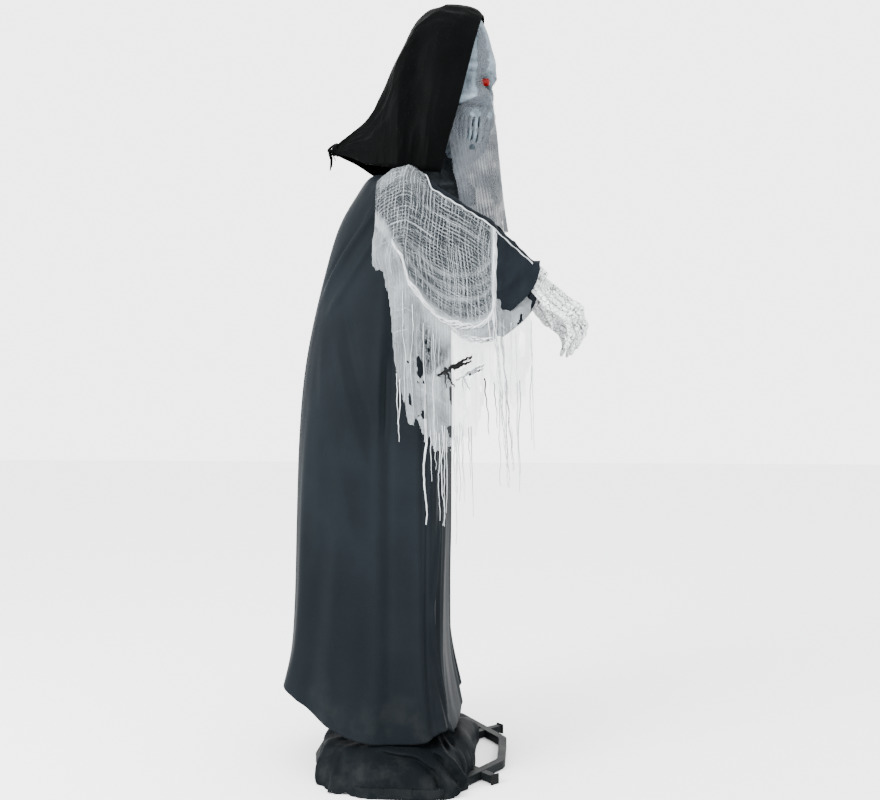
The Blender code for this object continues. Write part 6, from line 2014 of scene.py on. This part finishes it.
    def surface(self, across: np.ndarray, down: np.ndarray) -> np.ndarray:
        """Lay the cloth over the arm and let it hang.

        Args:
            across: Shares from the shoulder's rear to the wrist.
            down: Shares from the inner edge to the hem.

        Returns:
            Points on the cloth.
        """
        ahead = self.REAR + (self.FRONT - self.REAR) * across
        crest = self.crest(ahead)
        reach = self.OUTSIDE - self.INSIDE
        inner = 0.030
        arc = inner + 0.5 * np.pi * (reach + self.SHOULDER_DROP) / 2
        run = down * self.LENGTH
        lead = np.clip(run / inner, 0, 1)
        bend = np.clip((run - inner) / (arc - inner), 0, 1) * np.pi / 2
        fall = np.maximum(run - arc, 0)
        up_arc = crest - self.SHOULDER_DROP * (1 - np.cos(bend)) - 0.030 * (1 - lead)
        seed = self.seed
        over = rumple(ahead * 24, run * 26, seed + 21, 3) * 0.0070
        ridge = lattice_noise(ahead * 46 - run * 16, run * 8, seed + 23) * 0.0060
        up = up_arc - fall + (over + ridge) * np.cos(bend) * lead * 0.8
        hanging_side = self.outside(ahead, up_arc - fall)
        side = self.INSIDE + 0.006 * (1 - lead) + (hanging_side - self.INSIDE) * np.sin(bend)
        slip = lattice_noise(up * 5.5, ahead * 4, seed + 25) * 0.010 * step(0, 0.25, fall)
        shift = 0.010 * step(1.15, 0.80, up) + slip * (1 - bell(across, 1.0, 0.12))
        rear = -0.016 * bell(up, 1.372, 0.035) * (1 - across) ** 6
        behind = -0.034 * step(1.195, 1.250, up) * step(0.226, 0.240, ahead)
        return at(self.arm.side * (side + behind * (fall > 0)),
                  np.clip(ahead + shift + rear, self.REAR - 0.008, 0.330), up)

    def keep(self, across: np.ndarray, down: np.ndarray) -> np.ndarray:
        """Cut the hem, the tears and the front corner.

        Args:
            across: Shares of the faces' middles from rear to front.
            down: Shares of the faces' middles from the inner edge to the hem.

        Returns:
            True where cloth stays.
        """
        places = self.surface(across, down)
        up = places[:, 2]
        ahead = self.REAR + (self.FRONT - self.REAR) * across
        seed = self.seed
        hem = np.interp(ahead, [p[0] for p in self.HEM], [p[1] for p in self.HEM])
        ragged = (lattice_noise(ahead * 210, up * 6, seed + 31) * 0.022
                  + lattice_noise(ahead * 70, up * 5, seed + 33) * 0.020)
        keeps = up > hem + ragged
        holes = lattice_noise(ahead * 60, up * 26, seed + 35) * 0.6 \
            + lattice_noise(ahead * 130, up * 60, seed + 37) * 0.4
        limit = 0.62 - 0.16 * step(1.20, 0.95, up)
        keeps &= ~((holes > limit) & (up < 1.16))
        for middle, height, wide, tall in self.HOLES:
            away = ((ahead - middle) / wide) ** 2 + ((up - height) / tall) ** 2
            keeps &= away > 1 + 0.6 * lattice_noise(ahead * 150, up * 70, seed + 39)
        slit = 1.067 + 0.51 * (ahead - 0.0755)
        torn = 0.0025 + 0.0085 * step(0.085, 0.150, ahead) \
            + lattice_noise(ahead * 120, up * 0, seed + 49) * 0.002
        keeps &= ~((np.abs(up - slit) < torn) & (ahead > 0.076) & (ahead < 0.165))
        front = 0.312 + lattice_noise(up * 60, ahead * 0, seed + 41) * 0.006
        edge = self.edge_height(ahead) + lattice_noise(ahead * 90, up * 0, seed + 45) * 0.003
        sleeve = (ahead > 0.2245) & (up > 1.262 + ragged * 0.4)
        return keeps & (ahead < front) & ~sleeve & (up < edge)

    def gather(self, ahead: np.ndarray, up: np.ndarray) -> np.ndarray:
        """Say how thickly the cloth lies at each place, from 0 to 1."""
        swag = smooth_line(self.SWAG, ahead)
        above = up - swag
        band = (step(-0.110 + 0.5 * np.abs(ahead - 0.09), -0.02, above)
                * (1 - step(0.0, 0.03, above)))
        streak = 0.5 + 0.5 * lattice_noise(ahead * 150, up * 3.5, self.seed + 47)
        panel = (0.30 + 0.42 * streak) * step(0.0, -0.05, above)
        window = step(0.028, 0.036, ahead) * step(0.112, 0.098, ahead) \
            * step(-0.004, 0.004, up - 1.072 - 0.9 * np.maximum(ahead - 0.060, 0)) \
            * step(-0.025, -0.035, above)
        panel *= 1 - 0.85 * window
        roll = 0.95 * bell(ahead, 0.2205, 0.007) * step(1.16, 1.22, up)
        span = self.span(ahead)
        line = 0.70 * bell(above, 0.004, 0.008) * span
        for level, share in ((0.034, 0.16), (0.058, 0.34), (0.088, 0.16), (0.116, 0.26)):
            line = np.maximum(line, share * bell(above, self.fold_line(level, ahead), 0.006)
                              * span)
        lump = 0.6 * step(-0.03, -0.06, ahead) * bell(up, 1.37, 0.05)
        shoulder = 0.10 * step(0.07, 0.02, ahead) * step(1.52, 1.57, up)
        patches = lattice_noise(ahead * 20, up * 9, self.seed + 43) * 0.03
        return np.clip(0.02 + np.maximum.reduce([0.62 * band, panel, roll, line, lump, shoulder])
                       + patches, 0, 1)

    def wrist_edge(self) -> list[Thread]:
        """Trace the thin rolled edge from the swag along the sleeve's top to the wrist."""
        threads = []
        for index in range(2):
            share = np.linspace(0, 1, 60)
            ahead = 0.046 + 0.270 * share
            _, spine = self.arm.spine(ahead)
            up = spine + 0.006 + 0.026 * step(0.062, 0.046, ahead) - 0.0015 * index
            up = up + 0.0012 * np.sin(share * 60 + index)
            side = self.OUTSIDE - 0.0005 - 0.020 * step(0.21, 0.25, ahead)
            side = side + 0.0012 * np.cos(share * 60 + index)
            threads.append(traced(at(self.arm.side * side, ahead, up), 0.0009, 0.9))
        return threads

    def strands(self) -> list[Thread]:
        """Trace the strands that hang from the hem and lie over the panels."""
        random = np.random.RandomState(self.seed + 51)
        threads = []
        for ahead, top, bottom, radius in self.STRANDS + self.CORDS:
            start = top + 0.03 + random.rand() * 0.03
            side = float(self.outside(np.array([ahead]), np.array([start]))[0]) + 0.0015
            threads.append(Thread(
                hanging(self.arm.side * side, ahead, start, bottom, 0.0050,
                        0.014 * (random.rand() - 0.2), int(random.rand() * 9999)),
                radius, 0.45))
        return threads

    def rolled_edges(self) -> list[Thread]:
        """Trace the twisted rolls down the swag's front and low line, and the wrist's edge."""
        random = np.random.RandomState(self.seed + 61)
        threads = []
        for index in range(4):
            turn = random.rand() * 7
            share = np.linspace(0, 1, 70)
            up = 1.425 - 0.64 * share
            ahead = 0.2205 + 0.0335 * step(0.30, 1.0, share) \
                + 0.0022 * np.sin(share * 46 + turn) + 0.003 * np.sin(share * 13 + index)
            aside = self.outside(ahead, up) + 0.0005 + 0.0022 * np.cos(share * 46 + turn)
            line = at(self.arm.side * aside, ahead, up)
            threads.append(traced(line, 0.0024 - 0.0003 * index, 0.25))
        threads += self.wrist_edge()
        for index in range(5):
            turn = random.rand() * 7
            ahead = np.linspace(-0.040, 0.219, 90)
            up = smooth_line(self.SWAG, ahead) - 0.002 * index \
                + 0.0025 * np.sin(ahead * 190 + turn) + 0.003 * np.sin(ahead * 60 + index)
            aside = self.outside(ahead, up) + 0.001 + 0.0020 * np.cos(ahead * 190 + turn)
            line = at(self.arm.side * aside, ahead, up)
            threads.append(traced(line, 0.0026 - 0.0003 * index, 0.8))
        return threads

    def ties(self) -> list[Thread]:
        """Trace the torn black ties that show over the lower panels."""
        lines = (((0.0755, 1.067), (0.100, 1.080), (0.130, 1.097), (0.163, 1.112)),
                 ((0.103, 1.084), (0.128, 1.098), (0.147, 1.109), (0.164, 1.116)),
                 ((0.116, 1.084), (0.134, 1.093), (0.150, 1.099), (0.163, 1.105)),
                 ((0.100, 1.080), (0.105, 1.064), (0.113, 1.050), (0.1204, 1.036)),
                 ((0.098, 1.076), (0.0965, 1.058), (0.100, 1.034)),
                 ((0.196, 1.062), (0.198, 1.020), (0.203, 0.980), (0.206, 0.920)))
        threads = []
        for number, line in enumerate(lines):
            share = np.linspace(0, 1, 28)
            corners = np.array(line)
            path = smooth_rows(corners, share)
            ahead = path[:, 0] + 0.0012 * np.sin(share * 21 + number)
            up = path[:, 1] + 0.0014 * np.sin(share * 33 + number * 2)
            aside = self.outside(ahead, up) + 0.0055
            places = at(self.arm.side * aside, ahead, up)
            threads.append(traced(places, self.TIE_RADII[number], 0.4))
        return threads

    def build(self) -> None:
        """Make the cloth, its strands, its rolled edges and the black ties."""
        name = self.arm.name
        width = self.FRONT - self.REAR
        mesh = grid_mesh(f"{name}_shawl", 170, 330, self.surface, (width, self.LENGTH), self.keep)
        turn_outwards(mesh, Vector((self.arm.side * 0.20, -0.12, 1.20)))
        places = vertex_array(mesh)
        add_field(mesh, "gather", self.gather(-places[:, 1], places[:, 2]))
        cloth = self.bench.piece(f"{name}_shawl_cloth", mesh, Finishes.SHAWL, f"{name}_arm",
                                 "white_gauze", (f"{name}_shawl",))
        strands = self.bench.piece(f"{name}_shawl_strands",
                                   thread_mesh(f"{name}_strands", self.strands()),
                                   Finishes.STRAND, f"{name}_arm", "white_gauze")
        rolls = self.bench.piece(f"{name}_shawl_rolls",
                                 thread_mesh(f"{name}_rolls", self.rolled_edges()),
                                 Finishes.STRAND, f"{name}_arm", "white_gauze")
        ties = self.bench.piece(f"{name}_sleeve_ties", thread_mesh(f"{name}_ties", self.ties()),
                                Finishes.BLACK_STRAND, f"{name}_arm", "robe_satin")
        self.bench.cloth(cloth, width, "draped", [f"{name}_sleeve_cloth", f"{name}_arm_tube"],
                         (strands, rolls, ties))


@dataclass
class Hand:
    """One bony hand: long thin bones with swollen knuckles under tight skin.

    Attributes:
        bench: Where pieces are placed.
        arm: The arm's line.
        grain: Size of the skin's smallest cells in metres.
    """

    bench: Workbench
    arm: ArmLine
    grain: float = 0.0011

    PITCH, BASE, BONE, TIP = 0.021, 0.094, 0.068, 0.057
    FINGERS = ((-1.5, 0.93), (-0.5, 1.0), (0.5, 0.96), (1.5, 0.84))
    BENDS = (math.radians(-8), math.radians(40), math.radians(76))

    def baked(self, carrier: Piece) -> bpy.types.Mesh:
        """Make a plain mesh of an object as it shows, and remove the object."""
        bpy.context.view_layer.update()
        mesh = bpy.data.meshes.new_from_object(
            carrier.evaluated_get(bpy.context.evaluated_depsgraph_get()))
        bpy.data.objects.remove(carrier)
        return mesh

    def tube(self, points: list[np.ndarray], radii: list[float]) -> bpy.types.Mesh:
        """Make a closed tube of changing thickness through points."""
        share = np.linspace(0, 1, len(points) * 7)
        path = smooth_rows(np.array(points), share)
        thick = smooth_rows(np.array(radii)[:, None], share)[:, 0]
        curve = bpy.data.curves.new("bone", "CURVE")
        curve.dimensions = "3D"
        curve.bevel_depth = 1.0
        curve.bevel_resolution = 4
        curve.use_fill_caps = True
        spline = curve.splines.new("POLY")
        spline.points.add(len(path) - 1)
        for spot, point, radius in zip(spline.points, path, thick):
            spot.co = (*point, 1.0)
            spot.radius = radius
        carrier = bpy.data.objects.new("bone", curve)
        bpy.context.scene.collection.objects.link(carrier)
        mesh = self.baked(carrier)
        bpy.data.curves.remove(curve)
        return mesh

    def pad(self, ahead: float, size: tuple[float, float, float],
            lift: float = 0.0) -> bpy.types.Mesh:
        """Make a flattened ball in the hand's directions.

        Args:
            ahead: How far along the hand its middle lies.
            size: Half width, half thickness and half length.
            lift: How far its middle lies towards the palm.

        Returns:
            The closed ball.
        """
        _, along, down, out, heel = self.arm.hand_axes()
        work = bmesh.new()
        bmesh.ops.create_uvsphere(work, u_segments=40, v_segments=24, radius=1.0)
        for vert in work.verts:
            place = (heel + along * (ahead + vert.co.z * size[2]) + out * vert.co.x * size[0]
                     + down * (lift + vert.co.y * size[1]))
            vert.co = place
        bmesh.ops.recalc_face_normals(work, faces=work.faces)
        mesh = bpy.data.meshes.new("pad")
        work.to_mesh(mesh)
        work.free()
        return mesh

    def bones(self) -> list[bpy.types.Mesh]:
        """Make the pads, bones and tendons under the skin.

        Returns:
            Overlapping closed meshes.
        """
        wrist, along, down, out, heel = self.arm.hand_axes()
        start = wrist + along * 0.0035
        made = [self.tube([start, wrist + along * 0.020, wrist + along * 0.040],
                          [0.0158, 0.0160, 0.0150]),
                self.pad(0.038, (0.0250, 0.0150, 0.0240), -0.0010),
                self.pad(0.049, (0.0325, 0.0150, 0.0385)),
                self.pad(0.070, (0.0375, 0.0118, 0.0440), 0.0012),
                self.pad(0.050, (0.0170, 0.0130, 0.0330), 0.0040)]
        for across_share, length in self.FINGERS:
            across = across_share * self.PITCH
            root = heel + along * 0.016 + out * across * 0.72 - down * 0.0060
            knuckle = heel + along * self.BASE + out * across
            middle = (root + knuckle) / 2 - down * 0.0045
            made.append(self.tube([root, middle, knuckle - down * 0.0012],
                                  [0.0072, 0.0064, 0.0104]))
            point, path = knuckle, [heel + along * self.BASE / 2 + out * across / 2, knuckle]
            thick = [0.0092, 0.0112]
            for number, (bend, bone) in enumerate(zip(self.BENDS,
                                                      (self.BONE, self.TIP, self.TIP))):
                direction = along * math.cos(bend) + down * math.sin(bend)
                reach = bone * length
                path += [point + direction * reach * 0.28, point + direction * reach * 0.62,
                         point + direction * reach]
                shrink = 1 - 0.06 * number
                thick += [0.0090 * shrink, 0.0084 * shrink,
                          (0.0108 if number < 2 else 0.0052) * shrink]
                point = point + direction * reach
            made.append(self.tube(path, thick))
        for across_share, _ in self.FINGERS[:-1]:
            web = (across_share + 0.5) * self.PITCH
            made.append(self.tube([heel + along * 0.050 + out * web * 0.8 + down * 0.003,
                                   heel + along * 0.102 + out * web + down * 0.004],
                                  [0.0095, 0.0062]))
        thumb = 0.0098
        root = heel + along * self.BASE * 0.5 - out * 0.018 + down * thumb
        knuckle = root + along * self.BONE * 0.6 + down * thumb * 2.2
        tip = knuckle + along * self.TIP * 0.7 + down * self.TIP * 0.55
        made.append(self.tube([root, (root + knuckle) / 2, knuckle, (knuckle + tip) / 2, tip],
                              [0.0108, 0.0080, 0.0100, 0.0076, 0.0036]))
        return made

    def skinned(self) -> bpy.types.Mesh:
        """Melt the bones into one skin.

        Returns:
            The closed skin.
        """
        work = bmesh.new()
        for bone in self.bones():
            work.from_mesh(bone)
            bpy.data.meshes.remove(bone)
        joined = bpy.data.meshes.new("bones")
        work.to_mesh(joined)
        work.free()
        carrier = bpy.data.objects.new("bones", joined)
        bpy.context.scene.collection.objects.link(carrier)
        melt = carrier.modifiers.new("Melt", "REMESH")
        melt.mode = "VOXEL"
        melt.voxel_size = self.grain
        soften = carrier.modifiers.new("Soften", "SMOOTH")
        soften.iterations = 5
        soften.factor = 0.5
        skin = self.baked(carrier)
        bpy.data.meshes.remove(joined)
        return skin

    def build(self) -> None:
        """Make the skin, its sinews, and its fields of painted shade and highlight."""
        skin = self.skinned()
        _, along, down, out, heel = self.arm.hand_axes()
        places = vertex_array(skin)
        local = places - heel
        ahead, aside, below = local @ along, local @ out, local @ down
        seed = 310 if self.arm.side < 0 else 350
        sinew = rumple(aside * 150 + ahead * 9, ahead * 17, seed, 2) * 0.0011
        rough = rumple(places[:, 0] * 230 + below * 120, ahead * 190, seed + 3, 2) * 0.0006
        pits = np.minimum(0, lattice_noise(aside * 300, ahead * 260 + below * 200, seed + 5)
                          + 0.45) * 0.0012
        swell(skin, sinew + rough + pits - 0.0004)
        # Painted shade in the hollows and painted highlight on the ridges.
        add_field(skin, "hollow", np.clip(hollowness(skin, 8) / 0.0010, 0, 1))
        add_field(skin, "ridge_highlight", np.clip(-hollowness(skin, 5) / 0.0008, 0, 1))
        name = self.arm.name
        self.bench.piece(f"{name}_hand_skin", skin, Finishes.HAND, f"{name}_hand",
                         "painted_bone", (f"{name}_hand",))


# Stand and works


class Hardware:
    """Materials for the CAD nodes that stay as they are."""

    STEEL = ("front_floor_frame", "rear_floor_frame", "left_loop_joiner", "right_loop_joiner",
             "lower_pole", "upper_pole", "torso_post", "shoulder_bar", "body_hoop",
             "left_arm_tube", "right_arm_tube", "neck_tube", "head_motor_bracket")
    ZINC = ("front_left_hub_bolt", "front_right_hub_bolt", "rear_left_hub_bolt",
            "rear_right_hub_bolt", "left_shoulder_pin", "right_shoulder_pin", "battery_1",
            "battery_2", "battery_3")
    BLACK_PLASTIC = ("hub_socket", "hub_foot", "motor_housing", "motor_lid", "control_box",
                     "battery_door", "hub_button", "pole_button", "sensor_pod", "neck_plug",
                     "left_wrist_plug", "right_wrist_plug", "turn_coupling")
    RUBBER = ("front_left_leg_cap", "front_right_leg_cap", "rear_left_leg_cap",
              "rear_right_leg_cap")
    GRAY_PLASTIC = ("mode_switch", "speaker_grille", "head_motor", "turn_motor")
    LAMPS = ("left_eye_lamp", "right_eye_lamp")
    LENSES = ("sensor_lens",)

    def dress(self, bench: Workbench) -> None:
        """Give every kept node its finish.

        Args:
            bench: Where the nodes are.
        """
        for names, finish in ((self.STEEL, Finishes.STEEL), (self.ZINC, Finishes.ZINC),
                              (self.BLACK_PLASTIC, Finishes.BLACK_PLASTIC),
                              (self.RUBBER, Finishes.RUBBER),
                              (self.GRAY_PLASTIC, Finishes.GRAY_PLASTIC),
                              (self.LAMPS, Finishes.LAMP), (self.LENSES, Finishes.LENS)):
            bench.dress_nodes({name: finish for name in names if name in bench.frame["nodes"]})


# Studio


@dataclass
class Studio:
    """Pale floor, soft light and the photograph's camera."""

    distance: float = 3.0
    yaw: float = math.radians(5.0)
    aim_forward: float = 0.054
    height: float = 1.006
    lens: float = 43.2
    key: float = 430.0
    fill: float = 22.0
    sky: float = 4.3

    def softbox(self, name: str, place: Vector, target: Vector, size: float,
                power: float) -> None:
        """Hang one square area light that looks at a point."""
        data = bpy.data.lights.new(name, "AREA")
        data.size = size
        data.energy = power
        lamp = bpy.data.objects.new(name, data)
        lamp.location = place
        lamp.rotation_euler = (target - place).to_track_quat("-Z", "Y").to_euler()
        bpy.context.scene.collection.objects.link(lamp)

    def floor(self) -> None:
        """Lay the wide flat floor."""
        work = bmesh.new()
        bmesh.ops.create_grid(work, x_segments=2, y_segments=2, size=14.0)
        mesh = bpy.data.meshes.new("floor")
        work.to_mesh(mesh)
        work.free()
        floor = bpy.data.objects.new("studio_floor", mesh)
        mesh.materials.append(Finishes.PAPER.material())
        floor.location.z = -0.0005
        bpy.context.scene.collection.objects.link(floor)

    def light(self) -> None:
        """Set the white surroundings and the two softboxes."""
        world = bpy.data.worlds.new("studio_world")
        world.use_nodes = True
        world.node_tree.nodes["Background"].inputs[0].default_value = (1.0, 1.0, 1.0, 1.0)
        world.node_tree.nodes["Background"].inputs[1].default_value = self.sky
        bpy.context.scene.world = world
        middle = Vector((0.0, -0.05, 1.15))
        self.softbox("key_light", Vector((-2.6, 2.6, 2.6)), middle, 1.8, self.key)
        self.softbox("fill_light", Vector((-2.4, -3.2, 1.9)), middle, 2.2, self.fill)

    def camera(self) -> None:
        """Place the camera where the photograph was taken."""
        forward = Vector((math.cos(self.yaw), math.sin(self.yaw), 0.0))
        across = Vector((math.sin(self.yaw), -math.cos(self.yaw), 0.0))
        data = bpy.data.cameras.new("photo_camera")
        data.lens = self.lens
        data.sensor_width = 36.0
        camera = bpy.data.objects.new("photo_camera", data)
        camera.location = -forward * self.distance + across * self.aim_forward
        camera.location.z = self.height
        camera.rotation_euler = forward.to_track_quat("-Z", "Y").to_euler()
        bpy.context.scene.collection.objects.link(camera)
        bpy.context.scene.camera = camera

    def build(self) -> None:
        """Set the whole studio."""
        self.floor()
        self.light()
        self.camera()


def main() -> None:
    """Dress the frame and set the studio."""
    logging.basicConfig(level=logging.INFO, format="%(message)s")
    bench = Workbench(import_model())
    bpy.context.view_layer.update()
    Robe(bench).build()
    BaseSkirt(bench).build()
    form = SkullForm()
    Skull(bench, form).build()
    Hood(bench).build()
    NeckWrap(bench).build()
    FaceGauze(bench, form).build()
    for side in (-1, 1):
        arm = ArmLine(side)
        Sleeve(bench, arm).build()
        Shawl(bench, arm).build()
        Hand(bench, arm).build()
    Hardware().dress(bench)
    Studio().build()


if __name__ == "__main__":
    main()
